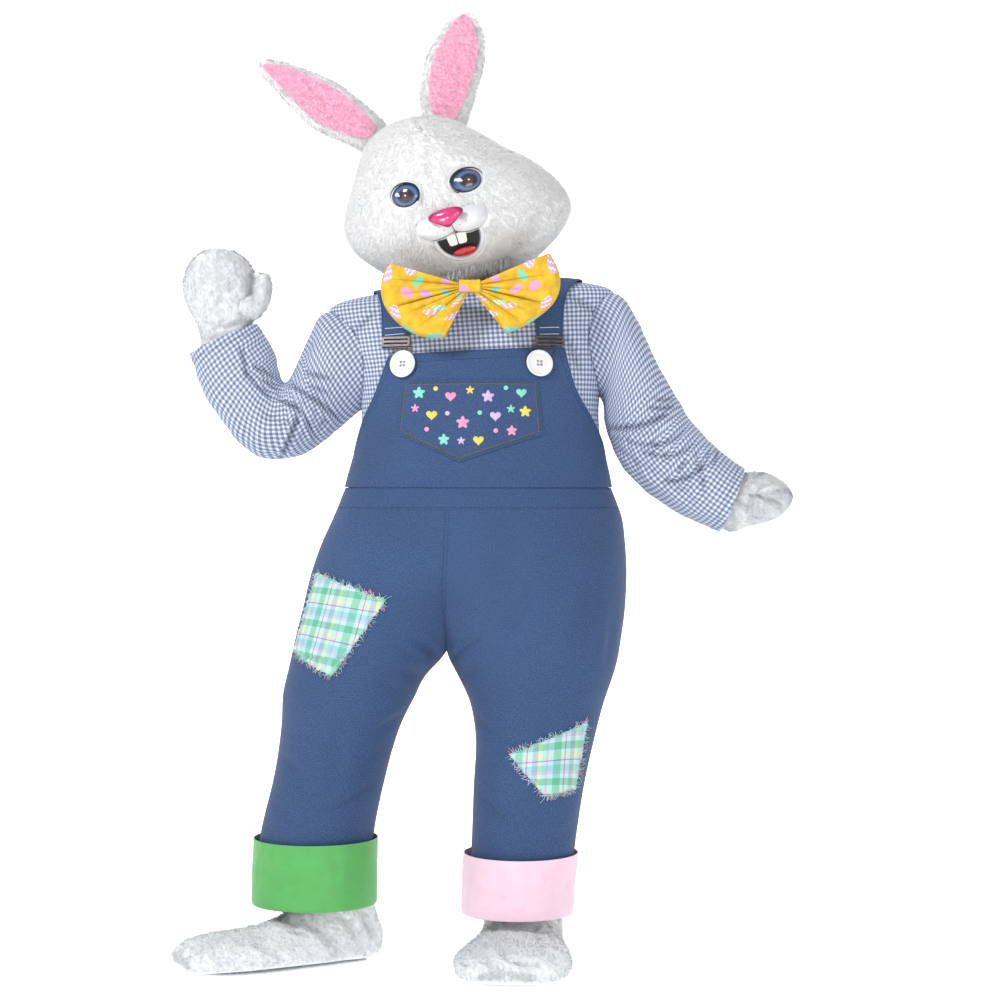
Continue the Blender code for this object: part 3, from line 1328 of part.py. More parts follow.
def make_sole(name, frame, looks, parts):
    """A flat plate under the foot, its outline taken from the widest line of the upper."""
    outline = [(span.along, span.half - SOLE_INSET) for span in SOLE_SPANS]
    outline = outline + [(along, -half) for along, half in outline[::-1]]
    curve = bpy.data.curves.new(name, "CURVE")
    curve.dimensions = "2D"
    curve.fill_mode = "BOTH"
    curve.extrude = SOLE / 2
    line = curve.splines.new("POLY")
    line.points.add(len(outline) - 1)
    for spot, (x, y) in zip(line.points, outline):
        spot.co = (x, y, 0.0, 1.0)
    line.use_cyclic_u = True
    made = bpy.data.objects.new(name, curve)
    parts.objects.link(made)
    made.matrix_world = Matrix.Translation((0, 0, SOLE / 2 - SHOULDER_HEIGHT)) @ frame
    curve.materials.append(looks["sole"])


def make_looks():
    return {
        "plush": material("white_plush", (0.82, 0.84, 0.87), 0.95),
        "pink_plush": material("pink_plush", (0.90, 0.42, 0.55), 0.95),
        "eye": material("blue_eye", (0.12, 0.28, 0.60), 0.15),
        "muzzle": material("white_plastic", (0.85, 0.86, 0.86), 0.25),
        "mouth": material("black_mesh", (0.02, 0.02, 0.02), 0.6),
        "tongue": material("red_plastic", (0.70, 0.02, 0.02), 0.2),
        "nose": material("pink_plastic", (0.62, 0.06, 0.24), 0.2),
        "bow": material("yellow_print", (0.85, 0.60, 0.05), 0.6),
        "gingham": material("gingham", (0.35, 0.45, 0.62), 0.8),
        "denim": material("denim", (0.05, 0.11, 0.25), 0.85),
        "cuff_left": material("green_cloth", (0.12, 0.52, 0.10), 0.7),
        "cuff_right": material("pink_cloth", (0.90, 0.66, 0.78), 0.7),
        "plaid": material("plaid", (0.45, 0.75, 0.75), 0.8),
        "nickel": material("nickel", (0.60, 0.60, 0.58), 0.3, 1.0),
        "button": material("button_white", (0.88, 0.88, 0.86), 0.35),
        "sole": material("sole_cloth", (0.75, 0.77, 0.80), 0.9),
    }


def main():
    remove_everything()
    parts = new_collection(OBJECT_NAME)
    cutters = new_collection("cutters")
    looks = make_looks()
    make_shirt(looks, parts, cutters)
    make_trousers(looks, parts)
    make_cuffs(looks, parts)
    make_bibs(looks, parts)
    make_straps(looks, parts)
    make_hardware(looks, parts, cutters)
    make_laid_pieces(looks, parts, cutters)
    grown = make_head(looks, parts, cutters)
    make_ears(looks, parts, cutters, grown)
    make_face(looks, parts, cutters, grown)
    make_bow(looks, parts, cutters)
    make_mitts(looks, parts, cutters)
    make_feet(looks, parts)


main()
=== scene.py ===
"""The looks of the worn bunny costume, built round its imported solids.

Lengths are in metres. The tables give heights above the floor, and the surface functions take
the shoulder height off them, so that every piece lies in the frame of the solids. X runs to the
viewer's right, the front faces -Y and Z is up. Left and right are the viewer's.
"""

import bpy
import json
import math
from collections import namedtuple
import numpy as np
from mathutils import Matrix, Vector

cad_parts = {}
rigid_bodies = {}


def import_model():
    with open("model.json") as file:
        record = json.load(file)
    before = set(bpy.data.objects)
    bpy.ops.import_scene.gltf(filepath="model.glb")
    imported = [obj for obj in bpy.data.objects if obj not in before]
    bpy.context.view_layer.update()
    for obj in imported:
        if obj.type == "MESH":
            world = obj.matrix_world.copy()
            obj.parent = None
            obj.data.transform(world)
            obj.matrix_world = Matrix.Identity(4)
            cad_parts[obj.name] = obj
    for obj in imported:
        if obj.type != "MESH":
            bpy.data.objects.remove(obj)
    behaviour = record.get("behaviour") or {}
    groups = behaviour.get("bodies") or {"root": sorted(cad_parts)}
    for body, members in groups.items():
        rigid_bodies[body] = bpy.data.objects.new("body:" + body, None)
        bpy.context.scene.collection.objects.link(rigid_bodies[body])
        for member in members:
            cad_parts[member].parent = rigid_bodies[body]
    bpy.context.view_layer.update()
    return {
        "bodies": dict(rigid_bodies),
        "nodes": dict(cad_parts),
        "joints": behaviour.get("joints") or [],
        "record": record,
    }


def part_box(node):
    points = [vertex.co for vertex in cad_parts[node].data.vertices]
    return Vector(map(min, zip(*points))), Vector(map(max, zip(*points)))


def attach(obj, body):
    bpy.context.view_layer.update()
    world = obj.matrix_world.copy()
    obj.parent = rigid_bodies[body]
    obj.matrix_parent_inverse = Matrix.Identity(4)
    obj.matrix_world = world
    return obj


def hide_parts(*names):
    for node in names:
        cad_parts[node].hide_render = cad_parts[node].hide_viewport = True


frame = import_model()
rng = np.random.default_rng(11)

SHOULDER_HEIGHT = 1.37
SHIRT_CLOTH = 0.002
DENIM = 0.0025
FACING = 0.002
PLUSH_WALL = 0.007
HEAD_WALL = 0.010
FIT_GAP = 0.0003
# The pile stands this far out from the backing to the solid's surface
PILE = 0.005
UP = np.array((0.0, 0.0, 1.0))

# A section runs from point 1 to point 2 in the picture plane, and from front to back in depth
Section = namedtuple("Section", "x1 h1 x2 h2 front back")

# Shirt body from the tucked hem up to the neck seam
SHIRT = [
    Section(-0.252, 0.820, 0.262, 0.820, -0.172, 0.142),
    Section(-0.251, 0.885, 0.276, 0.885, -0.186, 0.150),
    Section(-0.250, 0.955, 0.284, 0.955, -0.198, 0.158),
    Section(-0.230, 1.035, 0.270, 1.035, -0.194, 0.154),
    Section(-0.221, 1.110, 0.263, 1.115, -0.180, 0.148),
    Section(-0.234, 1.185, 0.270, 1.200, -0.160, 0.142),
    Section(-0.262, 1.258, 0.284, 1.290, -0.136, 0.134),
    Section(-0.288, 1.310, 0.298, 1.347, -0.112, 0.120),
    Section(-0.280, 1.338, 0.284, 1.374, -0.094, 0.106),
    Section(-0.220, 1.356, 0.222, 1.386, -0.082, 0.096),
    Section(-0.142, 1.363, 0.142, 1.384, -0.074, 0.088),
    Section(-0.068, 1.366, 0.068, 1.380, -0.060, 0.074),
]

# Sleeves, from inside the shirt body out to the cuff
LEFT_SLEEVE = [
    Section(-0.225, 1.322, -0.180, 1.150, -0.070, 0.070),
    Section(-0.299, 1.322, -0.226, 1.122, -0.086, 0.082),
    Section(-0.329, 1.272, -0.277, 1.079, -0.092, 0.080),
    Section(-0.352, 1.220, -0.318, 1.047, -0.095, 0.072),
    Section(-0.366, 1.190, -0.361, 1.026, -0.098, 0.062),
    Section(-0.376, 1.180, -0.422, 1.026, -0.104, 0.052),
    Section(-0.385, 1.189, -0.466, 1.055, -0.110, 0.044),
    Section(-0.390, 1.210, -0.504, 1.102, -0.114, 0.036),
    Section(-0.397, 1.242, -0.541, 1.159, -0.116, 0.030),
    Section(-0.430, 1.297, -0.568, 1.235, -0.118, 0.026),
]
RIGHT_SLEEVE = [
    Section(0.232, 1.362, 0.205, 1.180, -0.070, 0.070),
    Section(0.305, 1.360, 0.266, 1.150, -0.088, 0.084),
    Section(0.342, 1.306, 0.276, 1.100, -0.100, 0.076),
    Section(0.380, 1.224, 0.286, 1.058, -0.114, 0.064),
    Section(0.414, 1.160, 0.306, 1.015, -0.126, 0.050),
    Section(0.438, 1.116, 0.338, 0.976, -0.138, 0.034),
    Section(0.464, 1.082, 0.382, 0.938, -0.150, 0.016),
    Section(0.505, 1.040, 0.440, 0.903, -0.160, 0.000),
    Section(0.552, 1.004, 0.502, 0.876, -0.166, -0.014),
]

# Trousers above the crotch. Split is 0 where the halves are one round and 1 where the legs part
Rise = namedtuple("Rise", "height left right seam_front seam_back split front back")
RISE = [
    Rise(0.975, -0.2505, 0.285, -0.042, 0.030, 0.00, -0.2035, 0.163),
    Rise(0.955, -0.257, 0.291, -0.042, 0.028, 0.00, -0.2050, 0.165),
    Rise(0.905, -0.278, 0.310, -0.043, 0.022, 0.18, -0.212, 0.172),
    Rise(0.850, -0.303, 0.317, -0.045, 0.014, 0.42, -0.215, 0.178),
    Rise(0.790, -0.324, 0.320, -0.048, 0.002, 0.56, -0.210, 0.180),
    Rise(0.720, -0.341, 0.317, -0.050, -0.016, 0.785, -0.196, 0.172),
    Rise(0.665, -0.355, 0.310, -0.048, -0.034, 0.915, -0.183, 0.160),
    Rise(0.634, -0.362, 0.305, -0.047, -0.045, 0.98, -0.177, 0.154),
    Rise(0.624, -0.364, 0.304, -0.047, -0.047, 1.00, -0.174, 0.152),
]

# Legs below the crotch: centre, half width and half depth of each round
Round = namedtuple("Round", "height x y half_width half_depth")
LEFT_LEG = [
    Round(0.617, -0.2070, -0.011, 0.1580, 0.162),
    Round(0.588, -0.2310, -0.010, 0.1410, 0.158),
    Round(0.545, -0.2460, -0.008, 0.1360, 0.150),
    Round(0.475, -0.2650, -0.006, 0.1210, 0.140),
    Round(0.380, -0.2860, -0.003, 0.1140, 0.130),
    Round(0.250, -0.3140, 0.000, 0.1160, 0.124),
    Round(0.130, -0.3180, 0.002, 0.1200, 0.122),
]
RIGHT_LEG = [
    Round(0.617, 0.1290, -0.011, 0.1745, 0.162),
    Round(0.588, 0.1340, -0.014, 0.1610, 0.158),
    Round(0.530, 0.1370, -0.018, 0.1370, 0.150),
    Round(0.452, 0.1330, -0.022, 0.1205, 0.138),
    Round(0.354, 0.1200, -0.026, 0.1120, 0.128),
    Round(0.227, 0.1080, -0.030, 0.1050, 0.120),
    Round(0.120, 0.0980, -0.031, 0.1060, 0.116),
]

# Waistband and leg heights on the trousers' surface
WAIST_TOP = 0.965
WAIST_SEAM = 0.922

# Turned-up cuffs: from under the leg's edge down, out round the fold and up
LEFT_CUFF = [
    Round(0.1296, -0.3180, 0.002, 0.1176, 0.1196),
    Round(0.1215, -0.3182, 0.002, 0.1185, 0.1210),
    Round(0.1180, -0.3185, 0.002, 0.1240, 0.1260),
    Round(0.1220, -0.3190, 0.002, 0.1285, 0.1305),
    Round(0.1850, -0.3185, 0.001, 0.1285, 0.1330),
    Round(0.2500, -0.3160, 0.000, 0.1275, 0.1360),
]
RIGHT_CUFF = [
    Round(0.1196, 0.0980, -0.031, 0.1036, 0.1136),
    Round(0.1090, 0.0978, -0.031, 0.1045, 0.1150),
    Round(0.1045, 0.0975, -0.031, 0.1100, 0.1210),
    Round(0.1085, 0.0970, -0.031, 0.1145, 0.1265),
    Round(0.1650, 0.0990, -0.031, 0.1155, 0.1290),
    Round(0.2240, 0.1040, -0.031, 0.1170, 0.1320),
]

# Bib edges as angles round the shirt, 180 at the left side seam, 270 front and 360 right
Edge = namedtuple("Edge", "height left right")
FRONT_BIB = [
    Edge(0.9653, 180.0, 360.0),
    Edge(1.030, 184.5, 356.5),
    Edge(1.090, 194.0, 339.0),
    Edge(1.155, 213.0, 321.0),
    Edge(1.236, 229.0, 311.0),
]
BACK_BIB = [
    Edge(0.9653, 180.0, 0.0),
    Edge(1.030, 168.0, 12.0),
    Edge(1.090, 145.0, 35.0),
    Edge(1.200, 116.0, 64.0),
]
BIB_EASE = 0.0045
SIDE_SETBACK = 0.04

# Straps: where each crosses the bib, the shoulder and the back, and its width
Strap = namedtuple("Strap", "x_front x_top x_back h_front h_back")
STRAP_WIDTH = 0.052
STRAPS = {
    "left": Strap(-0.146, -0.172, -0.060, 1.2525, 1.2005),
    "right": Strap(0.158, 0.205, 0.090, 1.2375, 1.2005),
}
STRAP_EASE = 0.0055
SHOULDER_EASE = 0.0006
TOP_SHARE = 0.30

# Hardware on the bib's top corners
Corner = namedtuple("Corner", "x button_x")
CORNERS = {
    "left": Corner(-0.143, -0.1265),
    "right": Corner(0.158, 0.1350),
}
BUTTON_HEIGHT = 1.209
BUTTON_RADIUS = 0.0275
BUTTON_THICK = 0.006
BUTTON_HOLE = 0.0026
BUTTON_HOLE_SPACING = 0.0048
WIRE = 0.0030
ADJUSTER_WIDTH = 0.060
ADJUSTER_HEIGHT = 0.020
ADJUSTER_BAR = 0.0042
ADJUSTER_THICK = 0.0032
ADJUSTER_AT = 1.2545
HOOK_LIFT = -0.0003

# Pocket panel and patches, as corners in the front view
Spot = namedtuple("Spot", "x h")
POCKET = [
    Spot(-0.1290, 1.175),
    Spot(0.1350, 1.175),
    Spot(0.1430, 1.068),
    Spot(-0.1380, 1.070),
]
POCKET_POINT = Spot(-0.018, 1.014)
LEFT_PATCH = [
    Spot(-0.3060, 0.792),
    Spot(-0.1630, 0.744),
    Spot(-0.2720, 0.590),
    Spot(-0.3560, 0.634),
]
RIGHT_PATCH = [
    Spot(0.0800, 0.435),
    Spot(0.2350, 0.497),
    Spot(0.2120, 0.362),
    Spot(0.1500, 0.352),
]
PATCH_CLOTH = 0.0014
PATCH_BACK = -0.02

# Head in its own frame: x1 and x2 are its left and right, h is up, all from its centre
HEAD_CENTRE = (-0.027, 1.545)
HEAD_ROLL = 15.0
FACE_YAW = 9.5
HEAD = [
    Section(-0.085, -0.146, 0.090, -0.150, -0.084, 0.104),
    Section(-0.120, -0.138, 0.132, -0.143, -0.116, 0.130),
    Section(-0.156, -0.120, 0.172, -0.122, -0.148, 0.154),
    Section(-0.190, -0.088, 0.206, -0.096, -0.174, 0.172),
    Section(-0.226, -0.046, 0.227, -0.060, -0.194, 0.184),
    Section(-0.238, 0.002, 0.215, -0.012, -0.203, 0.190),
    Section(-0.222, 0.050, 0.180, 0.038, -0.198, 0.186),
    Section(-0.194, 0.095, 0.130, 0.082, -0.184, 0.174),
    Section(-0.172, 0.134, 0.086, 0.126, -0.160, 0.154),
    Section(-0.146, 0.166, 0.052, 0.158, -0.126, 0.124),
    Section(-0.108, 0.187, 0.016, 0.181, -0.080, 0.082),
    Section(-0.072, 0.1955, -0.026, 0.1935, -0.030, 0.032),
]
HEAD_SEAMS = {"head_back": (22.0, 158.0), "head_face_left": (158.0, 277.0), "head_face_right": (277.0, 382.0)}
CROWN = (-0.049, 0.001, 0.1965)
CROWN_SETBACK = 0.0012

# Ears in the picture plane from the head out to the tip
LEFT_EAR = [
    Section(-0.160, 1.700, -0.218, 1.648, -0.020, 0.026),
    Section(-0.180, 1.724, -0.246, 1.665, -0.022, 0.030),
    Section(-0.215, 1.755, -0.288, 1.684, -0.021, 0.032),
    Section(-0.262, 1.792, -0.334, 1.709, -0.017, 0.034),
    Section(-0.320, 1.821, -0.374, 1.750, -0.012, 0.034),
    Section(-0.378, 1.843, -0.406, 1.786, -0.006, 0.030),
    Section(-0.418, 1.851, -0.431, 1.810, 0.000, 0.022),
    Section(-0.436, 1.840, -0.441, 1.820, 0.005, 0.016),
]
RIGHT_EAR = [
    Section(-0.096, 1.700, -0.012, 1.680, -0.020, 0.026),
    Section(-0.102, 1.735, -0.002, 1.716, -0.024, 0.030),
    Section(-0.105, 1.787, 0.014, 1.768, -0.024, 0.032),
    Section(-0.093, 1.845, 0.030, 1.828, -0.019, 0.034),
    Section(-0.075, 1.886, 0.034, 1.876, -0.012, 0.034),
    Section(-0.054, 1.918, 0.025, 1.914, -0.006, 0.030),
    Section(-0.033, 1.937, 0.009, 1.937, 0.000, 0.022),
    Section(-0.020, 1.944, -0.006, 1.944, 0.005, 0.016),
]
EAR_LINING = 0.002
LINING_WIDTH = 0.70
LINING_START = 0.15
LINING_END = 0.86

# Features in the face frame: sideways and up from the head's centre, out from its surface
Feature = namedtuple("Feature", "side up out wide tall deep roll")
EYES = {
    "left": Feature(-0.0635, 0.021, -0.007, 0.0310, 0.0245, 0.017, 4.0),
    "right": Feature(0.0595, 0.017, -0.007, 0.0330, 0.0245, 0.017, -4.0),
}
EYE_RIM = 0.0030
LOBES = [
    Feature(-0.0210, -0.057, -0.010, 0.0450, 0.0270, 0.044, 5.0),
    Feature(0.0440, -0.057, -0.010, 0.0410, 0.0270, 0.044, -8.0),
    Feature(0.0110, -0.050, -0.010, 0.0300, 0.0240, 0.048, 0.0),
]
NOSE = Feature(0.0080, -0.0435, 0.033, 0.0330, 0.0180, 0.015, 0.0)
NOSE_TAPER = 0.45
MOUTH = Feature(0.0135, -0.082, 0.0, 0.0470, 0.0420, 0.0, 0.0)
LIP_RADIUS = 0.0050
LIP_ARC = (163.0, 377.0)
TONGUE = Feature(0.0170, -0.1080, 0.0086, 0.0240, 0.0105, 0.006, 0.0)
TEETH = Feature(0.0120, -0.0860, 0.0130, 0.0220, 0.0150, 0.005, 0.0)
MOUTH_LINING_AT = (0.0009, 0.0025)

# Bow tie: the reach of each wing from the knot along a set of directions
BOW_CENTRE = (0.002, -0.178, 1.362)
Reach = namedtuple("Reach", "angle reach")
BOW_WINGS = {
    "left": [Reach(165, 0.166), Reach(177, 0.175), Reach(191, 0.174), Reach(207, 0.160), Reach(226, 0.138),
             Reach(244, 0.112)],
    "right": [Reach(22, 0.171), Reach(6, 0.179), Reach(-8, 0.173), Reach(-26, 0.146), Reach(-40, 0.129),
              Reach(-52, 0.118)],
}
BOW_PUFF = 0.024
BOW_PLEAT = 0.0035
BOW_PLEATS = 3.5
BOW_START = 0.010
BOW_CLOTH = 0.002
KNOT_SIZE = (0.0225, 0.0150, 0.0140)
BOW_BAND_HALF = 0.104
BOW_BAND_FRONT = -0.1625
BOW_BAND_BACK = 0.098
BOW_BAND_HEIGHT = 1.3748
BOW_BAND_DROP = 0.015
BOW_BAND_LEAN = 0.0865
BOW_BAND_TALL = 0.008
BOW_BAND_CLOTH = 0.0015
NECKBAND = [
    Section(-0.0680, 1.3666, 0.0680, 1.3806, -0.0600, 0.0740),
    Section(-0.0700, 1.3840, 0.0665, 1.3980, -0.0585, 0.0720),
]

# Mitts: palm and back as one closed tube, split down its edges
LEFT_MITT = [
    Section(-0.4163, 1.2681, -0.5517, 1.1984, -0.1138, 0.0253),
    Section(-0.4380, 1.292, -0.5480, 1.262, -0.094, 0.008),
    Section(-0.4340, 1.312, -0.5590, 1.300, -0.092, 0.010),
    Section(-0.4300, 1.342, -0.5780, 1.336, -0.092, 0.014),
    Section(-0.4300, 1.376, -0.5850, 1.374, -0.098, 0.016),
    Section(-0.4360, 1.406, -0.5780, 1.404, -0.110, 0.010),
    Section(-0.4520, 1.430, -0.5600, 1.430, -0.122, -0.006),
    Section(-0.4740, 1.444, -0.5360, 1.444, -0.124, -0.030),
]
RIGHT_MITT = [
    Section(0.5270, 1.0187, 0.4725, 0.8928, -0.1602, -0.0098),
    Section(0.5500, 0.9985, 0.5042, 0.8815, -0.1600, -0.0200),
    Section(0.5740, 0.9985, 0.5330, 0.8750, -0.168, -0.028),
    Section(0.5980, 0.9950, 0.5620, 0.8880, -0.176, -0.030),
    Section(0.6200, 0.9840, 0.5930, 0.8940, -0.178, -0.036),
    Section(0.6380, 0.9690, 0.6220, 0.9080, -0.170, -0.048),
    Section(0.6460, 0.9540, 0.6380, 0.9240, -0.150, -0.070),
]
LEFT_THUMB = [
    Section(-0.4700, 1.300, -0.4600, 1.356, -0.084, -0.030),
    Section(-0.4300, 1.306, -0.4400, 1.356, -0.094, -0.038),
    Section(-0.4060, 1.334, -0.4380, 1.366, -0.104, -0.050),
    Section(-0.3980, 1.368, -0.4340, 1.378, -0.110, -0.058),
    Section(-0.4020, 1.392, -0.4270, 1.394, -0.108, -0.068),
]
RIGHT_THUMB = [
    Section(0.5560, 0.9530, 0.5500, 0.9090, -0.176, -0.128),
    Section(0.5740, 0.9480, 0.5660, 0.9080, -0.196, -0.146),
    Section(0.5960, 0.9400, 0.5900, 0.9060, -0.204, -0.160),
    Section(0.6140, 0.9320, 0.6090, 0.9080, -0.200, -0.168),
]

# Foot covers in their own side view: x runs from heel to toe, front and back are the two sides
FOOT = [
    Section(0.037, 0.200, 0.150, 0.215, -0.070, 0.070),
    Section(0.0292, 0.150, 0.158, 0.170, -0.069, 0.069),
    Section(0.0236, 0.104, 0.170, 0.140, -0.068, 0.068),
    Section(0.006, 0.050, 0.196, 0.112, -0.070, 0.070),
    Section(0.024, 0.004, 0.228, 0.094, -0.074, 0.074),
    Section(0.110, 0.000, 0.268, 0.081, -0.086, 0.086),
    Section(0.210, 0.000, 0.312, 0.074, -0.098, 0.098),
    Section(0.300, 0.000, 0.362, 0.070, -0.104, 0.104),
    Section(0.378, 0.000, 0.408, 0.062, -0.096, 0.096),
    Section(0.424, 0.001, 0.432, 0.052, -0.078, 0.078),
    Section(0.442, 0.008, 0.447, 0.040, -0.052, 0.052),
]
SOLE = 0.003
SOLE_INSET = 0.006
Stand = namedtuple("Stand", "heel_x heel_y heading length width")
FEET = {
    "left": Stand(-0.186, 0.040, 206.0, 0.975, 1.0),
    "right": Stand(0.1176, 0.09868, 264.0, 0.925, 1.13),
}


# How finely the cloth is sampled, in columns and rows
FINE = {
    "shirt": (66, 78), "sleeve": (114, 114), "leg": (50, 122), "band": (90, 10), "bib": (62, 56), "strap": (9, 100),
    "head": (120, 86), "ear": (54, 58), "mitt": (62, 56), "thumb": (32, 22), "foot": (74, 70), "cuff": (106, 30),
    "wing": (38, 56), "pocket": (62, 42), "patch": (44, 40),
}
# Locks of pile on each plush piece, and the pile's length and width
LOCKS = {"head": 68000, "ear": 12000, "mitt": 11500, "thumb": 2300, "foot": 13500, "lining": 6000,
         "fringe": 5000}
HEAD_PILE = (0.0105, 0.0019)
BODY_PILE = (0.0090, 0.0018)
PINK_PILE = (0.0050, 0.0013)
FRINGE_PILE = (0.0260, 0.0024)


NARROWEST_CUT = 0.0102


# Surfaces

def read(rows, v):
    """Rows of a table at fractions of its length, on a smooth curve through them."""
    data = np.array(rows, dtype=float)
    last = len(rows) - 1
    spot = np.clip(np.asarray(v, dtype=float), 0.0, 1.0) * last
    i = np.minimum(spot.astype(int), last - 1)
    t = (spot - i)[..., None]
    here = data[i]
    after = data[i + 1]
    before = np.where((i == 0)[..., None], 2 * here - after, data[np.maximum(i - 1, 0)])
    beyond = np.where((i == last - 1)[..., None], 2 * after - here, data[np.minimum(i + 2, last)])
    slope_in = (after - before) / 2
    slope_out = (beyond - here) / 2
    values = (2 * t**3 - 3 * t**2 + 1) * here + (t**3 - 2 * t**2 + t) * slope_in
    return values + (3 * t**2 - 2 * t**3) * after + (t**3 - t**2) * slope_out


def section_points(rows, angles, vs):
    """Points of a tube: angle 180 is point 1, 0 is point 2, 270 the front and 90 the back."""
    row = read(rows, vs)[:, None, :]
    turn = np.radians(angles)
    x1, h1, x2, h2, front, back = (row[..., k] for k in range(6))
    x = (x1 + x2) / 2 + np.cos(turn) * (x2 - x1) / 2
    h = (h1 + h2) / 2 + np.cos(turn) * (h2 - h1) / 2
    y = (front + back) / 2 + np.sin(turn) * (back - front) / 2
    return np.stack(np.broadcast_arrays(x, y, h - SHOULDER_HEIGHT), axis=-1)


def round_points(rows, angles, vs):
    row = read(rows, vs)[:, None, :]
    turn = np.radians(angles)
    x = row[..., 1] + row[..., 3] * np.cos(turn)
    y = row[..., 2] + row[..., 4] * np.sin(turn)
    return np.stack(np.broadcast_arrays(x, y, row[..., 0] - SHOULDER_HEIGHT), axis=-1)


def unit(vectors):
    length = np.linalg.norm(vectors, axis=-1, keepdims=True)
    return vectors / np.maximum(length, 1e-12)


def grid_normals(grid, closed=False, inside=None):
    """Normals of a grid of points, turned away from its inside."""
    if closed:
        along_u = np.roll(grid, -1, axis=1) - np.roll(grid, 1, axis=1)
    else:
        along_u = np.gradient(grid, axis=1)
    along_v = np.gradient(grid, axis=0)
    normals = unit(np.cross(along_u, along_v))
    middle = grid.mean(axis=1, keepdims=True) if inside is None else inside
    if (normals * (grid - middle)).sum() < 0:
        normals = -normals
    return normals


def spans(grid, closed=False):
    """Lengths along the cloth from its middle column and first row, as U and V in metres."""
    across = np.linalg.norm(np.diff(grid, axis=1), axis=-1)
    u = np.concatenate((np.zeros((grid.shape[0], 1)), np.cumsum(across, axis=1)), axis=1)
    if not closed:
        u = u - u[:, grid.shape[1] // 2][:, None]
    else:
        u = u - u[:, grid.shape[1] // 2][:, None]
    along = np.linalg.norm(np.diff(grid, axis=0), axis=-1).mean(axis=1)
    v = np.concatenate(([0.0], np.cumsum(along)))[:, None] * np.ones((1, grid.shape[1]))
    return u, v


# A crease starts at a share across and along the piece and runs at an angle, with its real sizes
Crease = namedtuple("Crease", "across along angle length width depth bend")


def fold_form(across):
    """A fold's section: a trough with a ridge on each side, one higher than the other."""
    trough = -np.exp(-across**2)
    return trough + 0.75 * np.exp(-((across - 1.6) / 0.9) ** 2) + 0.35 * np.exp(-((across + 1.7) / 1.1) ** 2)


def creased(grid, normals, creases, closed=False, fade=None):
    """The grid with soft troughs, each with a ridge beside it."""
    u, v = spans(grid, closed)
    moved = np.zeros(u.shape)
    u_low, u_high = u.min(axis=1).mean(), u.max(axis=1).mean()
    for crease in creases:
        cu = u_low + (u_high - u_low) * crease.across
        cv = v.max() * crease.along
        turn = math.radians(crease.angle)
        du = u - cu
        if closed:
            span = u_high - u_low
            du = (du + span / 2) % span - span / 2
        dv = v - cv
        along = du * math.cos(turn) + dv * math.sin(turn)
        across = -du * math.sin(turn) + dv * math.cos(turn)
        share = np.clip(np.abs(along) / (crease.length / 2), 0.0, 1.0)
        across = (across + crease.bend * (along / crease.length) ** 2 * crease.length) / crease.width
        taper = (1 - share**2) ** 2
        moved += crease.depth * taper * fold_form(across)
    if fade is not None:
        moved = moved * fade
    return grid + normals * moved[..., None]


# A fold that shows in front runs between two places of the front view, bowed by its bend
FrontFold = namedtuple("FrontFold", "x h to_x to_h bend width depth")


def folded(grid, normals, folds, fade=None):
    """The grid with folds pressed into the side that faces the front."""
    moved = np.zeros(grid.shape[:2])
    ahead = np.clip(-normals[..., 1] * 2.5, 0.0, 1.0)
    for fold in folds:
        start = np.array((fold.x, fold.h - SHOULDER_HEIGHT))
        run = np.array((fold.to_x, fold.to_h - SHOULDER_HEIGHT)) - start
        length = np.linalg.norm(run)
        off = grid[..., [0, 2]] - start
        share = (off @ run) / length**2
        aside = (off[..., 0] * run[1] - off[..., 1] * run[0]) / length
        aside = (aside + fold.bend * 4 * share * (1 - share)) / fold.width
        taper = np.clip(1 - (2 * share - 1) ** 4, 0.0, 1.0)
        moved += fold.depth * taper * fold_form(aside)
    if fade is not None:
        moved = moved * fade
    return grid + normals * (moved * ahead)[..., None]


def soft_waves(grid, normals, depth, size, seed):
    """Gentle uneven waves over a cloth, from a few sines in space."""
    local = np.random.default_rng(seed)
    moved = np.zeros(grid.shape[:2])
    for _ in range(7):
        heading = unit(local.normal(size=3))
        pitch = size * local.uniform(0.6, 1.6)
        moved += np.sin(grid @ heading * 2 * math.pi / pitch + local.uniform(0, 6.3)) / 7
    return grid + normals * (depth * moved)[..., None]


# Meshes

def new_mesh(name, verts, faces, material=None, uv=None, smooth=True):
    """A mesh object from arrays. faces is a list of arrays with 3 or 4 corners a row."""
    mesh = bpy.data.meshes.new(name)
    loops = np.concatenate([f.ravel() for f in faces]).astype(np.int32)
    sizes = np.concatenate([np.full(len(f), f.shape[1]) for f in faces]).astype(np.int32)
    starts = np.concatenate(([0], np.cumsum(sizes)[:-1])).astype(np.int32)
    mesh.vertices.add(len(verts))
    mesh.vertices.foreach_set("co", np.asarray(verts, dtype=np.float32).ravel())
    mesh.loops.add(len(loops))
    mesh.loops.foreach_set("vertex_index", loops)
    mesh.polygons.add(len(sizes))
    mesh.polygons.foreach_set("loop_start", starts)
    mesh.update(calc_edges=True)
    if uv is not None:
        layer = mesh.uv_layers.new(name="cloth")
        layer.data.foreach_set("uv", np.asarray(uv, dtype=np.float32)[loops].ravel())
    mesh.validate()
    if smooth:
        mesh.shade_smooth()
    made = bpy.data.objects.new(name, mesh)
    bpy.context.scene.collection.objects.link(made)
    if material is not None:
        mesh.materials.append(material)
    return made


def grid_faces(rows, columns, closed, flip=False, offset=0):
    j = np.arange(rows - 1)[:, None]
    i = np.arange(columns if closed else columns - 1)[None, :]
    a = j * columns + i
    b = j * columns + (i + 1) % columns
    quad = np.stack((a, b, b + columns, a + columns), axis=-1).reshape(-1, 4) + offset
    return quad[:, ::-1] if flip else quad


CAVITY_STEP = 2
CAVITY_DEPTH = 0.0044


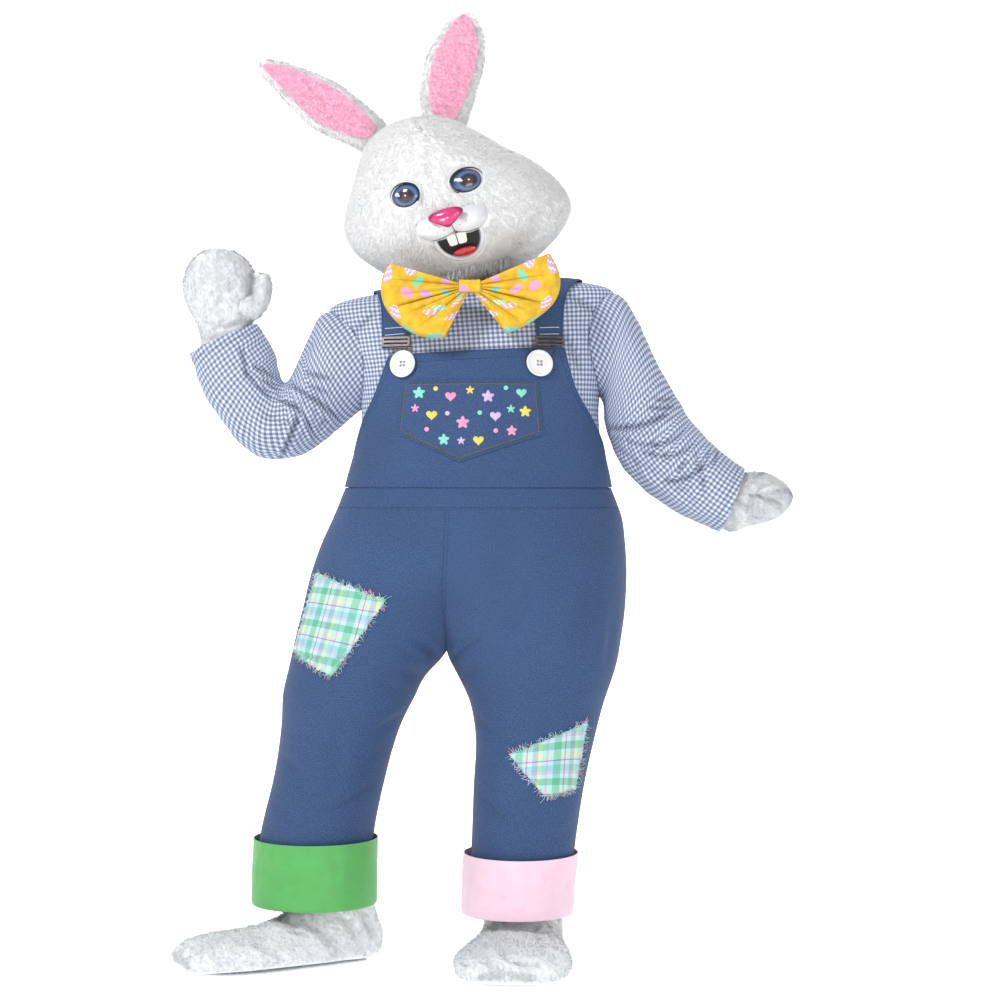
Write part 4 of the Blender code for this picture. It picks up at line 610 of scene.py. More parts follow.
def painted_shade_depth(outer, inner, closed):
    """How deep each outer point of a wall lies between its neighbours, from 0 to 1, as the mask of the painted shade in
    folds.
    """
    rows, columns = outer.shape[:2]
    near = np.zeros(outer.shape)
    for step in (-CAVITY_STEP, CAVITY_STEP):
        i = np.arange(columns) + step
        near += outer[:, i % columns if closed else np.clip(i, 0, columns - 1)]
        near += outer[np.clip(np.arange(rows) + step, 0, rows - 1)]
    out = unit(outer - inner)
    return np.clip(((near / 4 - outer) * out).sum(axis=-1) / CAVITY_DEPTH, 0.0, 1.0)


def shell(name, outer, inner, material, closed=False, tips=None):
    """A cloth wall between two grids of points, with its rims, as one closed mesh."""
    rows, columns = outer.shape[:2]
    count = rows * columns
    normals = np.cross(outer[1:, 1:] - outer[:-1, :-1], outer[1:, :-1] - outer[:-1, 1:])
    facing = (normals * (outer - inner)[:-1, :-1]).sum() > 0
    verts = [outer.reshape(-1, 3), inner.reshape(-1, 3)]
    faces = [grid_faces(rows, columns, closed, not facing), grid_faces(rows, columns, closed, facing, count)]
    i = np.arange(columns if closed else columns - 1)
    n = (i + 1) % columns
    end = (rows - 1) * columns
    rims = [np.stack((i, i + count, n + count, n), axis=-1)]
    if tips is None:
        rims.append(np.stack((end + i, end + n, end + n + count, end + i + count), axis=-1))
    if not closed:
        a = np.arange(rows - 1) * columns
        d = a + columns
        last = columns - 1
        rims.append(np.stack((a, d, d + count, a + count), axis=-1))
        rims.append(np.stack((a + last, a + last + count, d + last + count, d + last), axis=-1))
    faces += [rim if facing else rim[:, ::-1] for rim in rims]
    u, v = spans(outer, closed)
    uv = np.stack((u, v), axis=-1).reshape(-1, 2)
    uv = np.concatenate((uv, uv))
    if tips is not None:
        verts.append(np.array(tips))
        caps = [np.stack((end + i, end + n, np.full(len(i), 2 * count)), axis=-1),
                np.stack((end + i + count, np.full(len(i), 2 * count + 1), end + n + count), axis=-1)]
        faces += [cap if facing else cap[:, ::-1] for cap in caps]
        tip_uv = np.array(((0.0, v.max() + 0.01), (0.0, v.max() + 0.01)))
        uv = np.concatenate((uv, tip_uv))
    made = new_mesh(name, np.concatenate(verts), faces, material, uv)
    # Each outer point keeps how deep it lies in a fold, which the materials turn into painted shade
    deep = np.zeros(len(made.data.vertices), dtype=np.float32)
    deep[:count] = painted_shade_depth(outer, inner, closed).ravel()
    made.data.attributes.new("painted_shade_depth", "FLOAT", "POINT").data.foreach_set("value", deep)
    made.data.set_sharp_from_angle(angle=math.radians(50))
    return made


def finished(piece, nodes):
    """A piece that stands for CAD nodes: parented to the root body, with those nodes hidden."""
    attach(piece, "root")
    if nodes:
        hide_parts(*nodes)
    return piece


def declare_cloth(grid, closed=False):
    """Works out the sizes a sheet's flat cut has, without passing them on."""
    across = np.linalg.norm(np.diff(grid, axis=1), axis=-1).sum(axis=1)
    if closed:
        across = across + np.linalg.norm(grid[:, 0] - grid[:, -1], axis=-1)
    along = np.linalg.norm(np.diff(grid, axis=0), axis=-1).sum(axis=0)
    a = grid[1:, :-1] - grid[:-1, :-1]
    b = grid[:-1, 1:] - grid[:-1, :-1]
    area = float(np.linalg.norm(np.cross(a, b), axis=-1).sum())
    width, length = float(across.max()), float(along.max())
    # A narrow band is cut wide enough to be turned in
    length = max(length, NARROWEST_CUT)
    area = min(max(area, 0.31 * width * length), 0.999 * width * length)


def tubes(name, paths, radius, material, sides=5, taper=None):
    """Round strands along paths of points, closed at both ends, as one mesh."""
    verts, faces, tris = [], [], []
    base = 0
    for path in paths:
        path = np.asarray(path)
        n = len(path)
        along = unit(np.gradient(path, axis=0))
        ref = np.array((0.3, 0.2, 1.0)) if abs(along[0][2]) < 0.8 else np.array((1.0, 0.2, 0.1))
        side = unit(np.cross(along, ref))
        out = np.cross(side, along)
        turn = np.arange(sides) * 2 * math.pi / sides
        size = np.full(n, radius) if taper is None else radius * taper(np.linspace(0, 1, n))
        ring = (side[:, None] * np.cos(turn)[None, :, None] + out[:, None] * np.sin(turn)[None, :, None])
        ring = path[:, None] + ring * size[:, None, None]
        verts.append(ring.reshape(-1, 3))
        verts.append(path[[0, -1]])
        faces.append(grid_faces(n, sides, True, False, base))
        i = np.arange(sides)
        k = (i + 1) % sides
        tip = base + n * sides
        tris.append(np.stack((base + k, base + i, np.full(sides, tip)), axis=-1))
        end = base + (n - 1) * sides
        tris.append(np.stack((end + i, end + k, np.full(sides, tip + 1)), axis=-1))
        base += n * sides + 2
    return new_mesh(name, np.concatenate(verts), faces + tris, material)


def stitches(name, runs, material, pitch=0.0042, length=0.0028, width=0.0009, height=0.0005):
    """Rows of raised stitches. Each run is a path and the normals along it."""
    verts, faces = [], []
    box = np.array([[x, y, z] for x in (-0.5, 0.5) for y in (-0.5, 0.5) for z in (-0.6, 0.4)])
    box[[1, 3, 5, 7], :2] *= 0.75
    quads = np.array(((0, 1, 3, 2), (4, 6, 7, 5), (0, 4, 5, 1), (2, 3, 7, 6), (0, 2, 6, 4), (1, 5, 7, 3)))
    for path, normals in runs:
        path = np.asarray(path)
        steps = np.concatenate(([0.0], np.cumsum(np.linalg.norm(np.diff(path, axis=0), axis=1))))
        marks = np.arange(pitch / 2, steps[-1], pitch)
        middle = np.stack([np.interp(marks, steps, path[:, k]) for k in range(3)], axis=-1)
        out = unit(np.stack([np.interp(marks, steps, np.asarray(normals)[:, k]) for k in range(3)], axis=-1))
        ahead = np.stack([np.interp(marks + 0.001, steps, path[:, k]) for k in range(3)], axis=-1)
        behind = np.stack([np.interp(marks - 0.001, steps, path[:, k]) for k in range(3)], axis=-1)
        along = unit(ahead - behind)
        side = np.cross(out, along)
        for m, a, s, o in zip(middle, along, side, out):
            faces.append(quads + 8 * len(verts))
            verts.append(m + box[:, :1] * a * length + box[:, 1:2] * s * width + box[:, 2:] * o * height)
    made = new_mesh(name, np.concatenate(verts), [np.concatenate(faces)], material, smooth=False)
    return made


# Pile

def scatter(grid, normals, count, keep=None, closed=True, seed=1):
    """Random spots evenly over a grid's surface, with normals and the run down the grid."""
    local = np.random.default_rng(seed)
    rows, columns = grid.shape[:2]
    wrap = np.concatenate((grid, grid[:, :1]), axis=1) if closed else grid
    out = np.concatenate((normals, normals[:, :1]), axis=1) if closed else normals
    a = wrap[1:, :-1] - wrap[:-1, :-1]
    b = wrap[:-1, 1:] - wrap[:-1, :-1]
    area = np.linalg.norm(np.cross(a, b), axis=-1)
    chance = (area / area.sum()).ravel()
    cells = local.choice(len(chance), size=count, p=chance)
    j, i = np.unravel_index(cells, area.shape)
    s, t = local.random((2, count, 1))

    def mix(field):
        return ((1 - s) * (1 - t) * field[j, i] + s * (1 - t) * field[j, i + 1]
                + (1 - s) * t * field[j + 1, i] + s * t * field[j + 1, i + 1])
    spots = mix(wrap)
    out = unit(mix(out))
    down = unit(wrap[j + 1, i] - wrap[j, i])
    if keep is not None:
        held = keep(spots)
        spots, out, down = spots[held], out[held], down[held]
    return spots, out, down


def pile(name, spots, out, comb, size, lean, material, seed=2, wild=0.35, clump=0.03):
    """Small bent locks of fibre, each of two faces over a ridge, combed along a direction."""
    local = np.random.default_rng(seed)
    count = len(spots)
    length, width = size
    comb = unit(comb - out * (comb * out).sum(axis=1, keepdims=True))
    swirl = np.zeros((count, 1))
    for _ in range(5):
        heading = unit(local.normal(size=3))
        swirl += np.sin(spots @ heading[:, None] * 2 * math.pi / (clump * local.uniform(0.6, 2.5))
                        + local.uniform(0, 6.3)) / 2.2
    turned = comb * np.cos(swirl * wild * 2) + np.cross(out, comb) * np.sin(swirl * wild * 2)
    ahead = unit(out * (1 - lean) + turned * lean + local.normal(size=(count, 3)) * wild * 0.5)
    below = np.minimum((ahead * out).sum(axis=1, keepdims=True) - 0.08, 0.0)
    ahead = unit(ahead - out * below)
    side = unit(np.cross(ahead, out)) * (width * local.uniform(0.7, 1.2, (count, 1))) / 2
    far = length * local.uniform(0.65, 1.1, (count, 1))
    ridge = spots + out * width * 0.5 + ahead * far * 0.30
    tip = spots + ahead * far
    verts = np.stack((spots - side, spots + side, ridge, tip), axis=1).reshape(-1, 3)
    start = np.arange(count)[:, None] * 4
    faces = np.concatenate((start + np.array((0, 2, 3)), start + np.array((2, 1, 3))))
    made = new_mesh(name, verts, [faces], material)
    soft = unit(out * (1, 1, 0.75) + UP * 0.22 + local.normal(size=(count, 3)) * 0.10)
    made.data.normals_split_custom_set_from_vertices(np.repeat(soft, 4, axis=0))
    return made


# Places on the tables' surfaces

def body_grid(rows, angles, vs):
    return section_points(rows, np.asarray(angles)[None, :], np.asarray(vs)[:, None][:, 0])


def section_at(rows, angles, vs):
    """Points of a tube at matching arrays of angles and fractions."""
    angles, vs = np.broadcast_arrays(np.asarray(angles, float), np.asarray(vs, float))
    row = read(rows, vs)
    turn = np.radians(angles)
    x = (row[..., 0] + row[..., 2]) / 2 + np.cos(turn) * (row[..., 2] - row[..., 0]) / 2
    h = (row[..., 1] + row[..., 3]) / 2 + np.cos(turn) * (row[..., 3] - row[..., 1]) / 2
    y = (row[..., 4] + row[..., 5]) / 2 + np.sin(turn) * (row[..., 5] - row[..., 4]) / 2
    return np.stack((x, y, h), axis=-1)


def normal_at(point, angles, vs):
    """Outward normals of a surface whose angle turns round it and whose fraction rises."""
    across = point(angles + 0.5, vs) - point(angles - 0.5, vs)
    along = point(angles, np.minimum(vs + 0.004, 1.0)) - point(angles, np.maximum(vs - 0.004, 0.0))
    return unit(np.cross(across, along))


def shirt_at(angles, vs):
    return section_at(SHIRT, angles, vs) - UP * SHOULDER_HEIGHT


def shirt_fraction(heights):
    """Where the middle of the shirt's front has these heights."""
    vs = np.linspace(0.0, 1.0, 400)
    row = read(SHIRT, vs)
    return np.interp(heights, (row[:, 1] + row[:, 3]) / 2, vs)


def front_spot(x, h, lift):
    """Points over the shirt's front at places in the front view, lifted off it, with normals."""
    x, h = np.broadcast_arrays(np.asarray(x, float), np.asarray(h, float))
    v = shirt_fraction(h)
    for _ in range(12):
        row = read(SHIRT, v)
        share = np.clip((x - (row[..., 0] + row[..., 2]) / 2) / ((row[..., 2] - row[..., 0]) / 2), -1, 1)
        angle = 360.0 - np.degrees(np.arccos(share))
        v = np.clip(v + (h - section_at(SHIRT, angle, v)[..., 2]) / 0.7, 0.0, 1.0)
    out = normal_at(shirt_at, angle, v)
    return shirt_at(angle, v) + out * lift, out


def rise_half(side, v, front):
    row = read(RISE, v)
    left, right, split = row[:, 1], row[:, 2], np.clip(row[:, 5], 0.0, 1.0)
    seam = row[:, 3] if front else row[:, 4]
    whole = (left + right) / 2
    found = {}
    for name, edge, away in (("left", left, -1), ("right", right, 1)):
        middle = whole + ((seam + edge) / 2 - whole) * split
        half = np.abs(edge - middle)
        found[name] = (middle, half, np.clip(-away * (seam - middle) / half, -1.0, 1.0))
    sines = {name: np.sqrt(np.maximum(1 - spec[2] ** 2, 0.0)) for name, spec in found.items()}
    mean = (sines["left"] + sines["right"]) / 2
    scale = np.where(sines[side] > 0.05, mean / np.maximum(sines[side], 1e-6), 1.0)
    return found[side] + (scale, row)


def leg_grid(side, front, columns, vs):
    """One trouser panel, from its outseam to the centre seam or inseam, in rising angles."""
    upper = vs <= 0.5
    middle, half, cosine, scale, row = rise_half(side, np.minimum(vs * 2, 1.0), front)
    bare = np.degrees(np.arccos(np.where(upper, cosine, 1.0)))
    if side == "left":
        outseam, seam = 180.0, (360.0 - bare if front else bare)
    else:
        outseam, seam = (360.0 if front else 0.0), (180.0 + bare if front else 180.0 - bare)
    angles = outseam + (seam - outseam)[:, None] * np.linspace(0.0, 1.0, columns)
    if angles[0, -1] < angles[0, 0]:
        angles = angles[:, ::-1]
    turn = np.radians(angles)
    low = read(LEFT_LEG if side == "left" else RIGHT_LEG, np.clip(vs * 2 - 1, 0.0, 1.0))
    x = np.where(upper[:, None], middle[:, None] + half[:, None] * np.cos(turn),
                 low[:, 1:2] + low[:, 3:4] * np.cos(turn))
    deep = scale * (row[:, 7] - row[:, 6]) / 2
    y = np.where(upper[:, None], (row[:, 6:7] + row[:, 7:8]) / 2 + deep[:, None] * np.sin(turn),
                 low[:, 2:3] + low[:, 4:5] * np.sin(turn))
    h = np.where(upper, row[:, 0], low[:, 0])[:, None] * np.ones(columns)
    return np.stack((x, y, h - SHOULDER_HEIGHT), axis=-1)


def on_leg(side, x, h, lift):
    """Points over a leg's front at places in the front view, with normals."""
    low = read(LEFT_LEG if side == "left" else RIGHT_LEG, np.linspace(0.0, 1.0, 200))
    vs = np.linspace(0.0, 1.0, 200)
    middle, half, _, scale, row = rise_half(side, vs, True)
    table = np.concatenate((np.stack((row[:, 0], middle, half, (row[:, 6] + row[:, 7]) / 2,
                                      scale * (row[:, 7] - row[:, 6]) / 2), axis=-1), low[:, [0, 1, 3, 2, 4]]))
    order = np.argsort(table[:, 0])

    def spot(across, height):
        m, w, mid, deep = (np.interp(height, table[order, 0], table[order, k]) for k in (1, 2, 3, 4))
        share = np.clip((across - m) / w, -0.9995, 0.9995)
        return np.stack((across, mid - deep * np.sqrt(1 - share**2), height - SHOULDER_HEIGHT), axis=-1)
    here = spot(x, h)
    out = unit(np.cross(spot(x + 0.004, h) - spot(x - 0.004, h), spot(x, h + 0.004) - spot(x, h - 0.004)))
    return here + out * lift, out


HEAD_FRAME = (Matrix.Translation((HEAD_CENTRE[0], 0.0, HEAD_CENTRE[1] - SHOULDER_HEIGHT))
              @ Matrix.Rotation(math.radians(-HEAD_ROLL), 4, "Y"))
FACE_FRAME = HEAD_FRAME @ Matrix.Rotation(math.radians(-FACE_YAW), 4, "Z")


def moved(points, frame):
    table = np.array(frame)
    return points @ table[:3, :3].T + table[:3, 3]


def head_at(angles, vs):
    return moved(section_at(HEAD, angles, vs), HEAD_FRAME)


def face_surface(side, up, lift):
    """Points and normals on the head's front at sideways and up of the face frame."""
    inverse = FACE_FRAME.inverted()
    side, up = np.broadcast_arrays(np.asarray(side, float), np.asarray(up, float))
    angle, v = np.full(side.shape, 270.0), np.full(side.shape, 0.4)
    for _ in range(12):
        here, turned, higher = (moved(head_at(angle + a, v + b), inverse) for a, b in ((0, 0), (1, 0), (0, 0.01)))
        a, b = (turned - here)[..., 0], (higher - here)[..., 0]
        c, d = (turned - here)[..., 2], (higher - here)[..., 2]
        p, q = side - here[..., 0], up - here[..., 2]
        wide = a * d - b * c
        angle = angle + np.clip((p * d - q * b) / wide, -25, 25)
        v = np.clip(v + 0.01 * np.clip((q * a - p * c) / wide, -15, 15), 0.01, 0.97)
    out = normal_at(head_at, angle, v)
    return head_at(angle, v) + out * lift, out


def face_spot(feature, facing=0.5):
    """A frame seated on the face: X across, Y into the head and Z up."""
    spot, normal = (Vector(found) for found in face_surface(feature.side, feature.up, 0.0))
    turned = FACE_FRAME.to_3x3()
    out = (normal * facing + turned @ Vector((0, -1, 0)) * (1 - facing)).normalized()
    across = out.cross(turned @ Vector((0, 0, 1))).normalized() * -1
    up = across.cross(-out).normalized()
    made = Matrix((across, -out, up)).transposed().to_4x4()
    made.translation = spot + out * feature.out
    return made @ Matrix.Rotation(math.radians(feature.roll), 4, "Y")


# Materials

class Graph:
    """A material in the making, whose nodes are joined by the names of their sockets."""

    def __init__(self, name, roughness=0.8, metallic=0.0, sheen=0.0, coat=0.0):
        self.material = bpy.data.materials.new(name)
        self.material.use_nodes = True
        self.tree = self.material.node_tree
        self.surface = self.tree.nodes["Principled BSDF"]
        self.put(self.surface, "Roughness", roughness)
        self.put(self.surface, "Metallic", metallic)
        self.put(self.surface, "Sheen Weight", sheen)
        self.put(self.surface, "Coat Weight", coat)
        self.put(self.surface, "Coat Roughness", 0.12)

    def put(self, node, key, value):
        socket = node.inputs[key]
        if isinstance(value, bpy.types.NodeSocket):
            self.tree.links.new(value, socket)
        else:
            socket.default_value = value

    def add(self, kind, inputs, **settings):
        node = self.tree.nodes.new("ShaderNode" + kind)
        for key, value in settings.items():
            setattr(node, key, value)
        for key, value in inputs.items():
            self.put(node, key, value)
        return node

    def math(self, operation, a, b=0.0, c=0.0):
        return self.add("Math", {0: a, 1: b, 2: c}, operation=operation).outputs[0]

    def mix(self, factor, a, b, blend="MIX"):
        node = self.add("Mix", {0: factor}, data_type="RGBA", blend_type=blend)
        for key, value in ((6, a), (7, b)):
            self.put(node, key, value if isinstance(value, bpy.types.NodeSocket) else (*value, 1.0))
        return node.outputs[2]

    def ramp(self, value, stops, sharp=False):
        node = self.add("ValToRGB", {0: value})
        band = node.color_ramp
        band.interpolation = "CONSTANT" if sharp else "LINEAR"
        while len(band.elements) < len(stops):
            band.elements.new(0.5)
        for element, (place, colour) in zip(band.elements, stops):
            element.position = place
            element.color = (*colour, 1.0) if hasattr(colour, "__len__") else (colour, colour, colour, 1.0)
        return node.outputs[0]

    def space(self, scale=(1.0, 1.0, 1.0), turn=0.0, flat=False):
        """Places in metres, in the object or along the cloth, stretched and turned."""
        if flat:
            source = self.add("UVMap", {}, uv_map="cloth").outputs[0]
        else:
            source = self.add("TexCoord", {}).outputs["Object"]
        return self.add("Mapping", {0: source, "Scale": scale, "Rotation": (0.0, 0.0, math.radians(turn))}).outputs[0]

    def noise(self, vector, scale, detail=2.0, rough=0.5):
        inputs = {"Vector": vector, "Scale": scale, "Detail": detail, "Roughness": rough}
        return self.add("TexNoise", inputs).outputs[0]

    def split(self, vector):
        node = self.add("SeparateXYZ", {0: vector})
        return node.outputs[0], node.outputs[1]

    def colour(self, value):
        self.put(self.surface, "Base Color", value)

    def with_painted_fold_shade(self, value, most):
        """The colour darker in the depth of folds, by up to a share: painted shade in the folds."""
        deep = self.add("Attribute", {}, attribute_name="painted_shade_depth").outputs["Fac"]
        return self.mix(1.0, value, self.ramp(deep, ((0.06, 1.0), (0.75, 1.0 - most))), "MULTIPLY")

    def bump(self, height, strength, distance=0.001):
        node = self.add("Bump", {"Height": height, "Strength": strength, "Distance": distance})
        self.put(self.surface, "Normal", node.outputs[0])


def linear(red, green, blue):
    """Screen colours of 0 to 255 as the linear values that materials take."""
    return tuple(c / 12.92 if c <= 0.04045 else ((c + 0.055) / 1.055) ** 2.4
                 for c in (red / 255, green / 255, blue / 255))


def plush_look(name, pale, dark):
    """Short pile in soft patches of light and shade."""
    g = Graph(name, roughness=1.0, sheen=0.45)
    place = g.space()
    patches = g.noise(place, 150.0, 3.0, 0.55)
    g.colour(g.ramp(patches, ((0.34, dark), (0.58, pale))))
    g.bump(g.noise(place, 420.0, 2.0), 0.5, 0.002)
    return g.material


def denim_look(name):
    """Indigo twill with slubs up the cloth and pale flecks."""
    g = Graph(name, roughness=0.92, sheen=0.06)
    fine = g.noise(g.space((1.0, 0.5, 1.0), flat=True), 900.0, 2.0, 0.7)
    streaks = g.noise(g.space((1.0, 0.14, 1.0), flat=True), 560.0, 3.0, 0.6)
    broad = g.noise(g.space(), 6.0, 2.0)
    flecks = g.ramp(fine, ((0.34, DENIM_DARK), (0.50, DENIM_BLUE), (0.70, DENIM_PALE)))
    slubs = g.ramp(streaks, ((0.35, 0.84), (0.68, 1.12)))
    shade = g.ramp(broad, ((0.3, 0.93), (0.7, 1.07)))
    # The colour is darker in the depth of folds, up to 22 percent: painted shade
    g.colour(g.with_painted_fold_shade(g.mix(1.0, g.mix(1.0, flecks, slubs, "MULTIPLY"), shade, "MULTIPLY"), 0.22))
    twill = g.add("TexWave", {"Vector": g.space(turn=27.0, flat=True), "Scale": 260.0, "Distortion": 1.5},
                  wave_type="BANDS").outputs[1]
    g.bump(g.math("ADD", twill, fine), 0.18, 0.0004)
    return g.material


def check_wave(g, place, pitch):
    """1 in every other stripe of a pitch, softened as yarns are."""
    wave = g.math("FRACT", g.math("DIVIDE", place, pitch))
    far = g.math("ABSOLUTE", g.math("SUBTRACT", wave, 0.5))
    node = g.add("MapRange", {0: far, 1: 0.22, 2: 0.28})
    return node.outputs[0]


def gingham_look(name, turn):
    g = Graph(name, roughness=0.9, sheen=0.05)
    u, v = g.split(g.space(turn=turn, flat=True))
    both = g.math("ADD", check_wave(g, u, GINGHAM_PITCH), check_wave(g, v, GINGHAM_PITCH))
    cloth = g.ramp(g.math("MULTIPLY", both, 0.5), ((0.0, GINGHAM_WHITE), (0.5, GINGHAM_MID), (1.0, GINGHAM_BLUE)))
    yarn = g.noise(g.space(flat=True), 1200.0, 2.0)
    # The colour is darker in the depth of folds, up to 36 percent: painted shade
    g.colour(g.with_painted_fold_shade(g.mix(1.0, cloth, g.ramp(yarn, ((0.3, 0.92), (0.7, 1.04))), "MULTIPLY"), 0.36))
    g.bump(yarn, 0.25, 0.0005)
    return g.material


def plaid_look(name, turn):
    """A madras check of the builder's own layout: bands each way, mixed where they cross."""
    g = Graph(name, roughness=0.9)
    u, v = g.split(g.space(turn=turn, flat=True))
    bands = []
    for place, pitch, stops in ((u, 0.082, PLAID_ACROSS), (v, 0.074, PLAID_ALONG)):
        wave = g.math("FRACT", g.math("ADD", g.math("DIVIDE", place, pitch), 20.0))
        bands.append(g.ramp(wave, stops, sharp=True))
    yarn = g.noise(g.space(flat=True), 900.0, 2.0)
    crossed = g.mix(1.0, bands[0], bands[1], "MULTIPLY")
    g.colour(g.mix(1.0, crossed, g.ramp(yarn, ((0.3, 0.92), (0.7, 1.05))), "MULTIPLY"))
    g.bump(yarn, 0.4, 0.0006)
    return g.material


def egg_look(name):
    """Yellow cotton with small striped eggs strewn over it."""
    g = Graph(name, roughness=0.75, sheen=0.03)
    place = g.space((1.0, 1.0, 0.0), flat=True)
    cells = g.add("TexVoronoi", {"Vector": place, "Scale": 1.0 / EGG_PITCH, "Randomness": 0.72},
                  voronoi_dimensions="2D")
    off = g.add("VectorMath", {0: place, 1: cells.outputs["Position"]}, operation="SUBTRACT").outputs[0]
    chance = g.add("SeparateColor", {0: cells.outputs["Color"]})
    lean = g.math("MULTIPLY", chance.outputs[1], 2.6)
    turned = g.add("VectorRotate", {"Vector": off, "Angle": lean}, rotation_type="Z_AXIS").outputs[0]
    a, b = g.split(turned)
    narrow = g.math("ADD", 1.0, g.math("MULTIPLY", a, 18.0))
    long = g.math("POWER", g.math("ABSOLUTE", g.math("DIVIDE", a, EGG_HALF[0])), 2.0)
    wide = g.math("POWER", g.math("ABSOLUTE", g.math("DIVIDE", g.math("MULTIPLY", b, narrow), EGG_HALF[1])), 2.0)
    reach = g.math("ADD", long, wide)
    inside = g.add("MapRange", {0: reach, 1: 1.08, 2: 0.92}).outputs[0]
    zig = g.math("PINGPONG", g.math("MULTIPLY", b, 1.0), 0.003)
    band = g.math("FRACT", g.math("DIVIDE", g.math("ADD", a, zig), 0.0085))
    stripe = g.add("MapRange", {0: g.math("ABSOLUTE", g.math("SUBTRACT", band, 0.5)), 1: 0.20, 2: 0.12}).outputs[0]
    striped = g.math("MULTIPLY", stripe, g.math("GREATER_THAN", chance.outputs[2], 0.42))
    egg = g.ramp(chance.outputs[0], ((0.0, EGG_PINK), (0.34, EGG_LILAC), (0.56, EGG_AQUA), (0.80, EGG_MINT)), sharp=True)
    egg = g.mix(striped, egg, EGG_STRIPE)
    tone = g.noise(g.space(), 60.0, 3.0)
    ground = g.ramp(tone, ((0.3, BOW_SHADE), (0.65, BOW_YELLOW)))
    # The colour is darker in the depth of the pleats, up to half: painted shade
    g.colour(g.with_painted_fold_shade(g.mix(inside, ground, egg), 0.50))
    g.bump(g.noise(g.space(flat=True), 1500.0, 2.0), 0.2, 0.0005)
    return g.material


def plain_look(name, colour, roughness, spread=0.10, grain=700.0, coat=0.0, metallic=0.0, bump=0.12, sheen=0.0):
    """One colour with fine grain, for cloth, plastic and metal."""
    g = Graph(name, roughness=roughness, metallic=metallic, coat=coat, sheen=sheen)
    grain_noise = g.noise(g.space(), grain, 3.0)
    broad = g.noise(g.space(), 40.0, 2.0)
    shade = g.ramp(g.math("MULTIPLY", g.math("ADD", grain_noise, broad), 0.5), ((0.3, 1 - spread), (0.7, 1 + spread)))
    # The colour is darker in the depth of folds, up to 12 percent: painted shade
    g.colour(g.with_painted_fold_shade(g.mix(1.0, g.mix(0.0, colour, colour), shade, "MULTIPLY"), 0.12))
    g.bump(grain_noise, bump, 0.0004)
    return g.material


def eye_look(name):
    """Glossy painted eye: rings from the pupil out to a dark line, with a painted light."""
    g = Graph(name, roughness=0.12, coat=0.8)
    place = g.add("UVMap", {}, uv_map="cloth").outputs[0]
    iris = g.add("VectorMath", {0: place, 1: (EYE_LOOK[0], EYE_LOOK[1], 0.0)}, operation="SUBTRACT").outputs[0]
    far = g.add("VectorMath", {0: iris}, operation="LENGTH").outputs["Value"]
    rings = g.ramp(far, EYE_RINGS)
    whole = g.add("VectorMath", {0: place}, operation="LENGTH").outputs["Value"]
    outline = g.add("MapRange", {0: whole, 1: 0.84, 2: 0.90}).outputs[0]
    painted = g.mix(outline, rings, EYE_LINE)
    white = g.add("MapRange", {0: whole, 1: 0.955, 2: 0.985}).outputs[0]
    painted = g.mix(white, painted, EYE_WHITE)
    for spot, size in EYE_LIGHTS:
        off = g.add("VectorMath", {0: place, 1: (*spot, 0.0)}, operation="SUBTRACT").outputs[0]
        near = g.add("VectorMath", {0: off}, operation="LENGTH").outputs["Value"]
        light = g.add("MapRange", {0: near, 1: size, 2: size * 0.6}).outputs[0]
        painted = g.mix(light, painted, EYE_WHITE)
    g.colour(painted)
    return g.material


def nose_look(name):
    """Glossy nose with a darker line round its edge and a painted light low on it."""
    g = Graph(name, roughness=0.18, coat=0.5)
    place = g.add("UVMap", {}, uv_map="cloth").outputs[0]
    whole = g.add("VectorMath", {0: place}, operation="LENGTH").outputs["Value"]
    painted = g.mix(g.add("MapRange", {0: whole, 1: 0.80, 2: 0.96}).outputs[0], NOSE_PINK, NOSE_EDGE)
    for spot, size in NOSE_LIGHTS:
        off = g.add("VectorMath", {0: place, 1: (*spot, 0.0)}, operation="SUBTRACT").outputs[0]
        near = g.add("VectorMath", {0: off}, operation="LENGTH").outputs["Value"]
        painted = g.mix(g.add("MapRange", {0: near, 1: size, 2: size * 0.55}).outputs[0], painted, NOSE_SHINE)
    g.colour(painted)
    return g.material


DENIM_DARK = linear(34, 57, 94)
DENIM_BLUE = linear(47, 74, 117)
DENIM_PALE = linear(84, 110, 150)
GINGHAM_PITCH = 0.0098
GINGHAM_WHITE = linear(216, 223, 238)
GINGHAM_MID = linear(152, 164, 192)
GINGHAM_BLUE = linear(100, 111, 140)
PLAID_ACROSS = ((0.0, linear(206, 234, 240)), (0.14, linear(158, 214, 196)), (0.34, linear(214, 238, 240)),
                (0.44, linear(240, 146, 190)), (0.47, linear(214, 238, 240)), (0.60, linear(200, 204, 222)),
                (0.74, linear(232, 240, 200)), (0.84, linear(196, 230, 236)), (0.95, linear(236, 196, 220)))
PLAID_ALONG = ((0.0, linear(222, 240, 242)), (0.12, linear(166, 214, 190)), (0.32, linear(218, 240, 242)),
               (0.42, linear(240, 238, 206)), (0.52, linear(216, 238, 240)), (0.60, linear(238, 132, 184)),
               (0.63, linear(216, 238, 240)), (0.74, linear(184, 222, 226)), (0.92, linear(228, 214, 232)))
EGG_PITCH = 0.040
EGG_HALF = (0.0118, 0.0086)
EGG_PINK = linear(228, 156, 190)
EGG_LILAC = linear(214, 158, 214)
EGG_AQUA = linear(112, 204, 200)
EGG_MINT = linear(136, 210, 176)
EGG_STRIPE = linear(246, 246, 238)
BOW_YELLOW = linear(226, 188, 44)
BOW_SHADE = linear(206, 160, 28)
EYE_LOOK = (0.10, -0.14)
